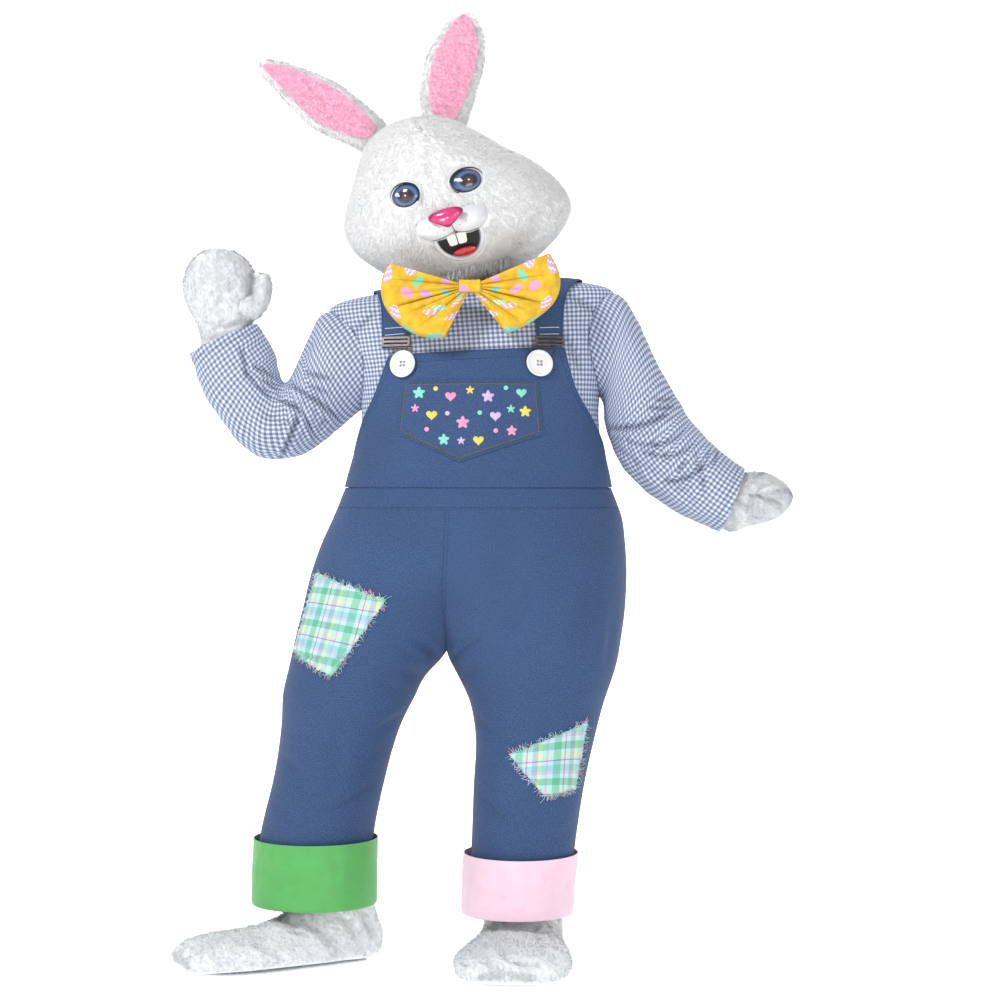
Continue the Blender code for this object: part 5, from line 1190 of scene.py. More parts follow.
EYE_RINGS = ((0.0, linear(132, 98, 88)), (0.09, linear(84, 54, 50)), (0.38, linear(46, 30, 34)),
             (0.44, linear(18, 22, 42)), (0.52, linear(40, 58, 96)), (0.66, linear(86, 110, 150)),
             (0.82, linear(54, 78, 122)), (0.96, linear(32, 48, 86)))
EYE_LINE = linear(22, 28, 56)
EYE_WHITE = linear(244, 246, 250)
EYE_LIGHTS = (((-0.46, 0.12), 0.17), ((-0.34, -0.02), 0.09), ((0.10, -0.12), 0.07))
NOSE_PINK = linear(206, 50, 112)
NOSE_EDGE = linear(150, 32, 84)
NOSE_SHINE = linear(248, 176, 206)
NOSE_LIGHTS = (((-0.16, -0.22), 0.17), ((0.10, -0.14), 0.10), ((-0.30, -0.18), 0.10))

LOOKS = {
    "plush": plush_look("white_pile", linear(252, 252, 252), linear(242, 243, 245)),
    "short": plush_look("white_short_pile", linear(238, 240, 242), linear(226, 229, 232)),
    "pink": plush_look("pink_pile", linear(252, 190, 214), linear(243, 168, 196)),
    "denim": denim_look("denim_cloth"),
    "gingham": gingham_look("gingham_cloth", 0.0),
    "bias": gingham_look("gingham_bias", 12.0),
    "plaid": plaid_look("plaid_cloth", 12.0),
    "plaid_low": plaid_look("plaid_cloth_low", -16.0),
    "bow": egg_look("egg_print"),
    "eye": eye_look("painted_eye"),
    "nose": nose_look("painted_nose"),
    "gloss": plain_look("white_gloss", linear(222, 224, 228), 0.26, 0.03, 300.0, coat=0.5, bump=0.03),
    "teeth": plain_look("tooth_gloss", linear(236, 236, 230), 0.2, 0.03, 300.0, coat=0.5, bump=0.02),
    "tongue": plain_look("tongue_gloss", linear(196, 16, 28), 0.15, 0.10, 200.0, coat=0.9, bump=0.05),
    "mouth": plain_look("mouth_mesh", linear(34, 32, 34), 0.75, 0.35, 900.0, bump=0.6),
    "black": plain_look("black_paint", linear(26, 24, 30), 0.4, 0.10, 300.0, bump=0.03),
    "grey": plain_look("grey_paint", linear(112, 116, 126), 0.5, 0.10, 300.0, bump=0.03),
    "green": plain_look("green_cuff", linear(84, 170, 86), 0.55, 0.10, 500.0, bump=0.2, sheen=0.1),
    "rose": plain_look("rose_cuff", linear(236, 202, 218), 0.6, 0.06, 500.0, bump=0.2, sheen=0.1),
    "nickel": plain_look("brushed_nickel", linear(112, 106, 98), 0.45, 0.45, 260.0, metallic=1.0, bump=0.1),
    "button": plain_look("button_gloss", linear(226, 227, 226), 0.30, 0.04, 300.0, coat=0.3, bump=0.03),
    "sole": plain_look("sole_cloth", linear(226, 228, 233), 0.95, 0.10, 900.0, bump=0.5),
    "dots": plain_look("grip_rubber", linear(84, 88, 98), 0.7, 0.15, 500.0, bump=0.1),
    "thread": plain_look("navy_thread", linear(36, 52, 92), 0.9, 0.2, 900.0, bump=0.3),
    "pale_thread": plain_look("pale_thread", linear(214, 220, 230), 0.9, 0.15, 900.0, bump=0.3),
    "green_thread": plain_look("green_thread", linear(40, 84, 66), 0.9, 0.2, 900.0, bump=0.3),
    "rust_thread": plain_look("rust_thread", linear(120, 92, 58), 0.9, 0.2, 900.0, bump=0.3),
    "mint": plain_look("mint_thread", linear(128, 212, 190), 0.85, 0.12, 900.0, bump=0.4),
    "rose_thread": plain_look("rose_thread", linear(244, 152, 190), 0.85, 0.12, 900.0, bump=0.4),
    "sun_thread": plain_look("sun_thread", linear(244, 208, 92), 0.85, 0.12, 900.0, bump=0.4),
    "lilac_thread": plain_look("lilac_thread", linear(204, 178, 228), 0.85, 0.12, 900.0, bump=0.4),
}

# Cloth

SEAM_WIDTH = 0.006
SEAM_RISE = 0.0010


def edge_distance(grid, from_first=True):
    """How far each point of a grid is, along its row, from the first or last column."""
    across = np.linalg.norm(np.diff(grid, axis=1), axis=-1)
    far = np.concatenate((np.zeros((grid.shape[0], 1)), np.cumsum(across, axis=1)), axis=1)
    return far if from_first else far[:, -1:] - far


def seamed(grid, normals, width=SEAM_WIDTH, rise=SEAM_RISE):
    """The cloth a little thicker along both side edges, where it's turned in and sewn."""
    near = np.minimum(edge_distance(grid), edge_distance(grid, False))
    ridge = rise * np.clip((width - near) / (width * 0.4), 0.0, 1.0) * np.clip(near / 0.0012, 0.2, 1.0)
    return grid + normals * ridge[..., None]


def row_path(grid, normals, distance, last=False, lift=0.0):
    """A path at a distance in from a grid's first or last column."""
    far = edge_distance(grid, not last)
    path, out = [], []
    for j in range(len(grid)):
        order = np.argsort(far[j])
        path.append([np.interp(distance, far[j][order], grid[j][order, k]) for k in range(3)])
        out.append([np.interp(distance, far[j][order], normals[j][order, k]) for k in range(3)])
    return np.array(path) + unit(np.array(out)) * lift, np.array(out)


def level_path(grid, normals, distance, last=False, lift=0.0):
    """A path at a distance in from a grid's first or last row."""
    path, out = row_path(grid.transpose(1, 0, 2), normals.transpose(1, 0, 2), distance, last, lift)
    return path, out


def fade_ends(grid, first=0.02, last=0.02, sides=0.0):
    """A weight that falls to nothing at the first and last rows, and at the sides where asked."""
    along = np.linalg.norm(np.diff(grid, axis=0), axis=-1).mean(axis=1)
    v = np.concatenate(([0.0], np.cumsum(along)))[:, None]
    weight = np.clip(v / max(first, 1e-6), 0, 1) * np.clip((v[-1] - v) / max(last, 1e-6), 0, 1)
    if sides:
        weight = weight * np.clip(np.minimum(edge_distance(grid), edge_distance(grid, False)) / sides, 0, 1)
    return np.broadcast_to(weight, grid.shape[:2])


def cloth_piece(name, nodes, grid, normals, thickness, look, closed=False, tips=None):
    """A wall of cloth from its outer points, with the sizes of its flat cut worked out."""
    piece = shell(name, grid, grid - normals * thickness, look, closed=closed, tips=tips)
    finished(piece, nodes)
    declare_cloth(grid, closed)
    return piece


def trimmed(piece, cutter, operation="DIFFERENCE"):
    """The piece with a closed form taken from it, for good."""
    step = piece.modifiers.new("trim", "BOOLEAN")
    step.operation = operation
    step.solver = "EXACT"
    step.object = cutter
    bpy.context.view_layer.update()
    mesh = bpy.data.meshes.new_from_object(piece.evaluated_get(bpy.context.evaluated_depsgraph_get()))
    piece.modifiers.clear()
    piece.data = mesh
    return piece


def plug_form(name, rows, v_range, steps, columns, lift):
    """A filled tube as a cutter, closed at both ends."""
    vs = np.linspace(v_range[0], v_range[1], steps)
    us = np.arange(columns) * 360.0 / columns
    grid = section_points(rows, us[None, :], vs)
    grid = grid + grid_normals(grid, True) * lift
    return closed_form(name, grid, 0.25)


def closed_form(name, grid, reach, material=None):
    rows, columns = grid.shape[:2]
    ends = []
    for j, other in ((0, 1), (rows - 1, rows - 2)):
        middle = grid[j].mean(axis=0)
        ahead = unit(middle - grid[other].mean(axis=0))
        ends.append(middle + ahead * reach * np.linalg.norm(grid[j] - middle, axis=1).mean())
    i = np.arange(columns)
    n = (i + 1) % columns
    end = (rows - 1) * columns
    count = rows * columns
    caps = [np.stack((n, i, np.full(columns, count)), axis=-1),
            np.stack((end + i, end + n, np.full(columns, count + 1)), axis=-1)]
    made = new_mesh(name, np.concatenate((grid.reshape(-1, 3), ends)), [grid_faces(rows, columns, True)] + caps,
                    material)
    box = np.cross(grid[0, 1] - grid[0, 0], grid[1, 0] - grid[0, 0])
    if (box * (grid[0, 0] - grid[0].mean(axis=0))).sum() < 0:
        made.data.flip_normals()
    return made


def drop(item):
    bpy.data.objects.remove(item)


SHIRT_CREASES = (
    Crease(0.18, 0.55, 62, 0.16, 0.010, 0.0045, 0.10), Crease(0.83, 0.60, 118, 0.15, 0.011, 0.0045, -0.10),
    Crease(0.12, 0.72, 35, 0.12, 0.009, 0.0040, 0.06), Crease(0.88, 0.74, 145, 0.13, 0.009, 0.0040, -0.05),
    Crease(0.40, 0.80, 82, 0.10, 0.012, 0.0025, 0.05), Crease(0.62, 0.84, 96, 0.12, 0.010, 0.0025, 0.08),
    Crease(0.27, 0.68, 50, 0.11, 0.008, 0.0030, -0.07), Crease(0.74, 0.66, 132, 0.10, 0.009, 0.0030, 0.07),
)
LEFT_SLEEVE_CREASES = (
    Crease(0.24, 0.40, 102, 0.150, 0.0070, 0.0085, 0.05), Crease(0.20, 0.36, 82, 0.130, 0.0060, 0.0060, -0.10),
    Crease(0.30, 0.44, 124, 0.120, 0.0065, 0.0070, 0.09), Crease(0.33, 0.34, 20, 0.150, 0.0080, 0.0060, -0.08),
    Crease(0.28, 0.28, 8, 0.170, 0.0090, 0.0055, 0.10), Crease(0.36, 0.22, 165, 0.140, 0.0080, 0.0045, 0.06),
    Crease(0.18, 0.20, 40, 0.120, 0.0075, 0.0045, 0.12), Crease(0.40, 0.56, 150, 0.110, 0.0070, 0.0060, 0.08),
    Crease(0.37, 0.62, 62, 0.120, 0.0065, 0.0055, -0.09), Crease(0.30, 0.70, 75, 0.100, 0.0060, 0.0040, 0.05),
    Crease(0.14, 0.55, 15, 0.100, 0.0090, 0.0035, -0.05), Crease(0.10, 0.70, 160, 0.120, 0.0100, 0.0030, 0.07),
    Crease(0.22, 0.84, 12, 0.110, 0.0080, 0.0030, 0.04), Crease(0.42, 0.82, 170, 0.100, 0.0075, 0.0030, -0.04),
    Crease(0.72, 0.38, 96, 0.140, 0.0080, 0.0070, 0.06), Crease(0.66, 0.46, 70, 0.120, 0.0075, 0.0060, -0.06),
    Crease(0.80, 0.30, 20, 0.130, 0.0085, 0.0050, 0.08), Crease(0.60, 0.62, 150, 0.120, 0.0085, 0.0045, 0.05),
    Crease(0.86, 0.55, 12, 0.110, 0.0090, 0.0040, -0.06), Crease(0.70, 0.76, 165, 0.100, 0.0080, 0.0035, 0.05),
    Crease(0.50, 0.26, 60, 0.100, 0.0080, 0.0040, 0.05), Crease(0.94, 0.42, 120, 0.110, 0.0080, 0.0045, 0.05),
)
RIGHT_SLEEVE_CREASES = (
    Crease(0.26, 0.34, 98, 0.150, 0.0075, 0.0065, 0.08), Crease(0.34, 0.42, 75, 0.140, 0.0070, 0.0070, -0.09),
    Crease(0.22, 0.48, 112, 0.130, 0.0070, 0.0060, 0.05), Crease(0.38, 0.54, 60, 0.120, 0.0070, 0.0055, 0.10),
    Crease(0.28, 0.60, 30, 0.120, 0.0080, 0.0045, -0.07), Crease(0.16, 0.66, 155, 0.110, 0.0085, 0.0040, 0.05),
    Crease(0.36, 0.72, 20, 0.130, 0.0080, 0.0040, 0.06), Crease(0.24, 0.82, 165, 0.120, 0.0080, 0.0035, -0.05),
    Crease(0.14, 0.24, 60, 0.120, 0.0085, 0.0045, 0.08), Crease(0.40, 0.20, 125, 0.120, 0.0080, 0.0045, -0.08),
    Crease(0.70, 0.36, 100, 0.140, 0.0080, 0.0065, 0.07), Crease(0.62, 0.48, 72, 0.130, 0.0075, 0.0055, -0.06),
    Crease(0.82, 0.56, 25, 0.120, 0.0085, 0.0045, 0.05), Crease(0.74, 0.70, 158, 0.110, 0.0080, 0.0040, 0.05),
    Crease(0.90, 0.28, 50, 0.120, 0.0085, 0.0045, 0.06), Crease(0.58, 0.84, 12, 0.100, 0.0080, 0.0035, -0.05),
)
# The folds that show in front: the inner elbows, the cuffs of the sleeves and under the arms
LEFT_SLEEVE_FOLDS = (
    FrontFold(-0.340, 1.121, -0.386, 1.016, 0.004, 0.0060, 0.0100), FrontFold(-0.340, 1.121, -0.313, 1.060, 0.005, 0.0055, 0.0060),
    FrontFold(-0.460, 1.251, -0.446, 1.183, 0.004, 0.0055, 0.0060), FrontFold(-0.450, 1.200, -0.390, 1.140, -0.003, 0.0060, 0.0070),
    FrontFold(-0.390, 1.145, -0.334, 1.115, 0.003, 0.0055, 0.0080), FrontFold(-0.440, 1.211, -0.374, 1.170, 0.005, 0.0050, 0.0048),
    FrontFold(-0.430, 1.185, -0.378, 1.156, 0.003, 0.0050, 0.0042), FrontFold(-0.376, 1.180, -0.250, 1.092, 0.006, 0.0060, 0.0075),
    FrontFold(-0.336, 1.200, -0.245, 1.181, -0.004, 0.0060, 0.0065), FrontFold(-0.330, 1.168, -0.272, 1.150, 0.003, 0.0050, 0.0035),
    FrontFold(-0.284, 1.234, -0.238, 1.181, 0.004, 0.0060, 0.0048), FrontFold(-0.258, 1.103, -0.222, 1.146, 0.003, 0.0050, 0.0062),
    FrontFold(-0.302, 1.280, -0.338, 1.200, -0.008, 0.0100, 0.0042), FrontFold(-0.510, 1.170, -0.440, 1.060, 0.014, 0.0150, 0.0038),
    FrontFold(-0.310, 1.060, -0.288, 1.104, 0.003, 0.0055, 0.0045), FrontFold(-0.416, 1.120, -0.352, 1.092, -0.006, 0.0090, 0.0036),
)
RIGHT_SLEEVE_FOLDS = (
    FrontFold(0.262, 1.245, 0.263, 1.085, 0.004, 0.0070, 0.0085), FrontFold(0.272, 1.084, 0.408, 1.122, -0.014, 0.0065, 0.0090),
    FrontFold(0.352, 1.127, 0.414, 1.130, -0.004, 0.0055, 0.0060), FrontFold(0.370, 1.142, 0.412, 1.146, -0.003, 0.0050, 0.0045),
    FrontFold(0.310, 1.060, 0.440, 1.090, -0.024, 0.0060, 0.0062), FrontFold(0.332, 1.044, 0.458, 1.064, -0.026, 0.0062, 0.0058),
    FrontFold(0.378, 0.974, 0.486, 1.050, -0.024, 0.0062, 0.0075), FrontFold(0.412, 0.984, 0.434, 1.020, 0.003, 0.0050, 0.0045),
    FrontFold(0.284, 1.050, 0.342, 1.000, 0.004, 0.0060, 0.0045), FrontFold(0.300, 1.022, 0.362, 0.960, 0.005, 0.0070, 0.0045),
    FrontFold(0.452, 1.040, 0.464, 0.940, 0.006, 0.0090, 0.0058), FrontFold(0.472, 1.000, 0.506, 1.056, -0.004, 0.0065, 0.0045),
    FrontFold(0.312, 1.024, 0.462, 0.920, 0.008, 0.0090, 0.0036), FrontFold(0.282, 1.282, 0.272, 1.236, 0.003, 0.0055, 0.0048),
    FrontFold(0.356, 1.060, 0.404, 1.010, 0.004, 0.0058, 0.0038),
)
# Trouser creases for each panel: across runs in rising angles and along from waist to ankle
LEG_CREASES = {
    "leg_left_front": (
        Crease(0.90, 0.36, 38, 0.200, 0.014, 0.0065, 0.06), Crease(0.84, 0.43, 22, 0.180, 0.012, 0.0060, -0.05),
        Crease(0.70, 0.30, 68, 0.240, 0.018, 0.0050, 0.05), Crease(0.40, 0.24, 96, 0.260, 0.020, 0.0045, 0.04),
        Crease(0.18, 0.34, 104, 0.220, 0.016, 0.0045, -0.05), Crease(0.78, 0.56, 160, 0.150, 0.013, 0.0050, 0.08),
        Crease(0.52, 0.62, 82, 0.200, 0.016, 0.0040, 0.06), Crease(0.26, 0.66, 24, 0.150, 0.014, 0.0050, 0.08),
        Crease(0.66, 0.74, 150, 0.160, 0.013, 0.0055, -0.07), Crease(0.36, 0.80, 30, 0.150, 0.013, 0.0050, 0.06),
        Crease(0.84, 0.84, 12, 0.120, 0.012, 0.0045, 0.05), Crease(0.14, 0.88, 165, 0.110, 0.012, 0.0045, 0.05),
    ),
    "leg_right_front": (
        Crease(0.10, 0.36, 140, 0.200, 0.014, 0.0065, -0.06), Crease(0.16, 0.43, 158, 0.180, 0.012, 0.0060, 0.05),
        Crease(0.32, 0.28, 110, 0.240, 0.018, 0.0050, -0.05), Crease(0.62, 0.24, 86, 0.260, 0.020, 0.0045, 0.04),
        Crease(0.84, 0.33, 74, 0.220, 0.016, 0.0045, 0.06), Crease(0.24, 0.56, 24, 0.160, 0.013, 0.0050, -0.08),
        Crease(0.50, 0.60, 95, 0.210, 0.016, 0.0040, -0.06), Crease(0.78, 0.64, 152, 0.150, 0.014, 0.0050, 0.08),
        Crease(0.36, 0.76, 32, 0.160, 0.013, 0.0050, 0.07), Crease(0.70, 0.82, 160, 0.150, 0.013, 0.0050, -0.06),
        Crease(0.18, 0.86, 14, 0.120, 0.012, 0.0045, 0.05), Crease(0.88, 0.90, 20, 0.110, 0.012, 0.0045, -0.05),
    ),
    "leg_left_back": (
        Crease(0.12, 0.38, 145, 0.210, 0.015, 0.0070, -0.06), Crease(0.20, 0.46, 165, 0.170, 0.012, 0.0065, 0.05),
        Crease(0.40, 0.26, 102, 0.250, 0.020, 0.0050, 0.05), Crease(0.70, 0.30, 80, 0.240, 0.018, 0.0050, -0.06),
        Crease(0.30, 0.60, 28, 0.160, 0.013, 0.0055, 0.08), Crease(0.62, 0.63, 148, 0.170, 0.014, 0.0055, -0.07),
        Crease(0.45, 0.72, 12, 0.150, 0.012, 0.0050, 0.05), Crease(0.74, 0.80, 160, 0.140, 0.012, 0.0050, 0.06),
        Crease(0.22, 0.84, 24, 0.130, 0.012, 0.0050, -0.05),
    ),
    "leg_right_back": (
        Crease(0.88, 0.38, 35, 0.210, 0.015, 0.0070, 0.06), Crease(0.80, 0.46, 15, 0.170, 0.012, 0.0065, -0.05),
        Crease(0.60, 0.26, 80, 0.250, 0.020, 0.0050, -0.05), Crease(0.28, 0.30, 98, 0.240, 0.018, 0.0050, 0.06),
        Crease(0.66, 0.60, 152, 0.160, 0.013, 0.0055, -0.08), Crease(0.36, 0.63, 30, 0.170, 0.014, 0.0055, 0.07),
        Crease(0.56, 0.73, 168, 0.150, 0.012, 0.0050, -0.05), Crease(0.24, 0.80, 22, 0.140, 0.012, 0.0050, -0.06),
        Crease(0.78, 0.85, 156, 0.130, 0.012, 0.0050, 0.05),
    ),
}
CUFF_CREASES = (
    Crease(0.08, 0.62, 84, 0.070, 0.007, 0.0022, 0.05), Crease(0.20, 0.50, 20, 0.080, 0.006, 0.0022, -0.06),
    Crease(0.31, 0.70, 100, 0.060, 0.007, 0.0022, 0.04), Crease(0.42, 0.55, 160, 0.090, 0.006, 0.0025, 0.07),
    Crease(0.55, 0.66, 78, 0.075, 0.008, 0.0022, -0.04), Crease(0.66, 0.52, 14, 0.080, 0.006, 0.0025, 0.05),
    Crease(0.78, 0.60, 150, 0.080, 0.006, 0.0025, -0.05), Crease(0.90, 0.68, 95, 0.065, 0.007, 0.0022, 0.05),
)


def make_shirt():
    columns, rows = FINE["shirt"]
    vs = np.linspace(0.0, 1.0, rows)
    panels = []
    holes = [plug_form("armhole_" + side, table, (0.0, 0.30), 14, 72, -SHIRT_CLOTH / 2)
             for side, table in (("left", LEFT_SLEEVE), ("right", RIGHT_SLEEVE))]
    for name, start in (("shirt_front", 180.0), ("shirt_back", 0.0)):
        us = np.linspace(start, start + 180.0, columns)
        grid = section_points(SHIRT, us[None, :], vs)
        normals = grid_normals(grid)
        fade = fade_ends(grid, 0.02, 0.03, 0.03) * np.clip((vs - 0.30) / 0.12, 0, 1)[:, None]
        grid = creased(grid, normals, SHIRT_CREASES, fade=fade)
        panel = shell(name + "_cloth", grid, grid - normals * SHIRT_CLOTH, LOOKS["gingham"])
        finished(panel, [name])
        for hole in holes:
            trimmed(panel, hole)
        declare_cloth(grid)
        panels.append(panel)
    for hole in holes:
        drop(hole)
    body = plug_form("body_form", SHIRT, (0.0, 1.0), 60, 96, FIT_GAP)
    for side, table, creases, folds in (("left", LEFT_SLEEVE, LEFT_SLEEVE_CREASES, LEFT_SLEEVE_FOLDS),
                                        ("right", RIGHT_SLEEVE, RIGHT_SLEEVE_CREASES, RIGHT_SLEEVE_FOLDS)):
        columns, rows = FINE["sleeve"]
        us = np.arange(columns) * 360.0 / columns + 180.0
        vs = np.linspace(0.0, 1.0, rows)
        grid = section_points(table, us[None, :], vs)
        normals = grid_normals(grid, True)
        fade = fade_ends(grid, 0.001, 0.025) * np.clip((vs - 0.14) / 0.08, 0, 1)[:, None]
        # The placed folds show in front, and the other creases run on round the back
        behind = np.clip(normals[..., 1] * 2.0 + 0.75, 0.25, 1.0)
        grid = creased(grid, normals, creases, closed=True, fade=fade * behind)
        grid = folded(grid, normals, folds, fade)
        grid = soft_waves(grid, normals * np.clip((vs - 0.16) / 0.1, 0, 1)[:, None, None], 0.0022, 0.055, 21)
        sleeve = shell("sleeve_%s_cloth" % side, grid, grid - normals * SHIRT_CLOTH, LOOKS["bias"], closed=True)
        finished(sleeve, ["sleeve_" + side])
        trimmed(sleeve, body)
        hem, out = level_path(grid, normals, 0.016, last=True, lift=0.0003)
        thread = stitches("sleeve_%s_stitches" % side, [(hem, out)], LOOKS["thread"])
        finished(thread, [])
        keep = grid[int(rows * 0.11):]
        declare_cloth(keep, True)
    drop(body)
    us = np.arange(96) * 3.75
    grid = section_points(NECKBAND, us[None, :], np.linspace(0, 1, 8))
    cloth_piece("neckband_cloth", ["shirt_neckband"], grid, grid_normals(grid, True), SHIRT_CLOTH, LOOKS["gingham"],
                closed=True)


def make_trousers():
    columns, rows = FINE["leg"]
    heights = read(RISE, np.linspace(0, 1, 400))[:, 0]
    below = np.interp(-(WAIST_SEAM - FIT_GAP), -heights, np.linspace(0, 1, 400)) / 2
    top = np.interp(-WAIST_TOP, -heights, np.linspace(0, 1, 400)) / 2
    vs = np.concatenate((np.linspace(below, 0.5, rows // 2 - 6), np.linspace(0.505, 1.0, rows // 2 + 6)))
    for side in ("left", "right"):
        for end, front in (("front", True), ("back", False)):
            name = "leg_%s_%s" % (side, end)
            grid = eased(leg_grid(side, front, columns, vs), int((vs < 0.5025).sum()))
            normals = grid_normals(grid)
            fade = fade_ends(grid, 0.03, 0.03, 0.035) * (0.6 if front else 0.8)
            if front:
                fade = fade * patch_fade(side, grid)
            grid = creased(grid, normals, LEG_CREASES[name], fade=fade)
            grid = seamed(grid, normals)
            runs = []
            for last in (False, True):
                outseam = (side == "left") == (last != front)
                if outseam:
                    continue
                runs.append(row_path(grid, normals, 0.0035, last, 0.0002))
            hem = stitches(name + "_stitches", runs, LOOKS["thread"])
            finished(hem, [])
            cloth_piece(name + "_cloth", [name], grid, normals, DENIM, LOOKS["denim"])
    for end, front in (("front", True), ("back", False)):
        band = np.linspace(np.interp(-WAIST_SEAM, -heights, np.linspace(0, 1, 400)) / 2, top, FINE["band"][1])
        left = leg_grid("left", front, FINE["band"][0] // 2, band)
        right = leg_grid("right", front, FINE["band"][0] // 2, band)
        pair = (left[:, :-1], right[:, 1:]) if front else (right[:, :-1], left[:, 1:])
        grid = np.concatenate(pair, axis=1)
        normals = grid_normals(grid)
        bulge = 0.0008 * np.sin(np.linspace(0, math.pi, len(band)))[:, None, None]
        grid = grid + normals * bulge
        runs = [level_path(grid, normals, 0.003, last, 0.0002) for last in (False, True)]
        hem = stitches("waistband_%s_stitches" % end, runs, LOOKS["thread"])
        finished(hem, [])
        cloth_piece("waistband_%s_cloth" % end, ["waistband_" + end], grid, normals, DENIM, LOOKS["denim"])


def eased(grid, row, reach=18, passes=110):
    """The grid with its rows smoothed near one of them, where two tables meet."""
    weight = np.clip(1.2 - np.abs(np.arange(1, len(grid) - 1) - row) / reach, 0.0, 1.0)[:, None, None] * 0.5
    grid = grid.copy()
    for _ in range(passes):
        grid[1:-1] += weight * ((grid[:-2] + grid[2:]) / 2 - grid[1:-1])
    return grid


def patch_fade(side, grid):
    """Creases stay shallow under a patch, where the cloth is doubled."""
    corners = LEFT_PATCH if side == "left" else RIGHT_PATCH
    x = sum(spot.x for spot in corners) / 4
    h = sum(spot.h for spot in corners) / 4 - SHOULDER_HEIGHT
    far = np.hypot(grid[..., 0] - x, grid[..., 2] - h)
    return np.clip((far - 0.09) / 0.06, 0.0, 1.0)


def make_cuffs():
    columns, rows = FINE["cuff"]
    for side, table, look, slot in (("left", LEFT_CUFF, "green", "green_cloth"), ("right", RIGHT_CUFF, "rose", "pink_cloth")):
        us = np.arange(columns) * 360.0 / columns + 180.0
        grid = round_points(table, us[None, :], np.linspace(0.0, 1.0, rows))
        # The cloth runs up inside the leg first, so its outer side changes at the fold
        along = grid_normals(grid, True)
        middle = grid.mean(axis=1, keepdims=True)
        outward = unit((grid - middle) * (1, 1, 0))
        if (along[-1] * outward[-1]).sum() < 0:
            along = -along
        wave = np.clip((np.arange(rows) / (rows - 1) - 0.62) / 0.1, 0, 1)[:, None] * np.ones((1, columns))
        fade = wave * np.clip((1.0 - np.arange(rows) / (rows - 1)) / 0.04, 0, 1)[:, None]
        grid = creased(grid, along, CUFF_CREASES, closed=True, fade=fade)
        grid = soft_waves(grid, along * fade[..., None], 0.0020, 0.07, 31 if side == "left" else 37)
        cloth_piece("cuff_%s_cloth" % side, ["cuff_" + side], grid, along, FACING, LOOKS[look],
                    closed=True)


def bib_grid(edges, lift):
    columns, rows = FINE["bib"]
    row = read([tuple(edge) for edge in edges], np.linspace(0.0, 1.0, rows))
    small = SIDE_SETBACK if edges[0].right > edges[0].left else -SIDE_SETBACK
    left, right = row[:, 1:2] + small, row[:, 2:3] - small
    angles = left + (right - left) * np.linspace(0.0, 1.0, columns)
    vs = shirt_fraction(row[:, 0])[:, None] * np.ones((1, columns))
    normals = normal_at(shirt_at, angles, vs)
    return shirt_at(angles, vs) + normals * lift, normals


def make_bibs():
    for name, edges in (("bib_front", FRONT_BIB), ("bib_back", BACK_BIB)):
        grid, normals = bib_grid(edges, BIB_EASE + DENIM)
        hem = 0.0008 * np.clip((0.016 - np.minimum(edge_distance(grid), edge_distance(grid, False))) / 0.003, 0, 1)
        hem = hem * np.clip((grid[..., 2] - (1.03 - SHOULDER_HEIGHT)) / 0.03, 0, 1)
        far = np.linalg.norm(np.diff(grid, axis=0), axis=-1).mean(axis=1)
        down = np.concatenate(([0.0], np.cumsum(far)))
        hem = np.maximum(hem, 0.0008 * np.clip((0.022 - (down[-1] - down)) / 0.003, 0, 1)[:, None])
        grid = grid + normals * hem[..., None]
        grid = soft_waves(grid, normals, 0.0010, 0.16, 41)
        runs = [row_path(grid, normals, distance, last, 0.0002) for last in (False, True) for distance in (0.003, 0.013)]
        runs += [level_path(grid, normals, distance, True, 0.0002) for distance in (0.003, 0.019)]
        thread = stitches(name + "_stitches", runs, LOOKS["thread"])
        finished(thread, [])
        cloth_piece(name + "_cloth", [name], grid, normals, DENIM, LOOKS["denim"])


def shoulder_top(x):
    """The fraction near the neck where the shirt is just as wide as x."""
    low, high = np.full(x.shape, 0.66), np.full(x.shape, 1.0)
    for _ in range(30):
        middle = (low + high) / 2
        row = read(SHIRT, middle)
        inside = np.abs(x - (row[..., 0] + row[..., 2]) / 2) < (row[..., 2] - row[..., 0]) / 2
        low, high = np.where(inside, middle, low), np.where(inside, high, middle)
    return (low + high) / 2


def strap_base(strap, t, across):
    """Points of the shirt under a strap, and the way out of it, over its length and width."""
    share = np.abs(t)
    back = t > 0
    bend = share * share * (3 - 2 * share)
    x = strap.x_top + (np.where(back, strap.x_back, strap.x_front) - strap.x_top) * bend + STRAP_WIDTH * across
    end = np.where(back, shirt_fraction(strap.h_back), shirt_fraction(strap.h_front))
    top = shoulder_top(x)
    v = top - (top - end) * (1 - np.cos(np.radians(90 * share)))
    row = read(SHIRT, v)
    turn = np.degrees(np.arccos(np.clip((x - (row[..., 0] + row[..., 2]) / 2) / ((row[..., 2] - row[..., 0]) / 2), -1, 1)))
    angle = np.where(back, turn, 360.0 - turn)
    base = shirt_at(angle, v)
    blend = np.clip(share / TOP_SHARE, 0.0, 1.0)[..., None]
    normals = unit(normal_at(shirt_at, angle, v) * blend + UP * (1 - blend))
    ease = SHOULDER_EASE + (STRAP_EASE - SHOULDER_EASE) * blend
    return base + normals * ease, normals


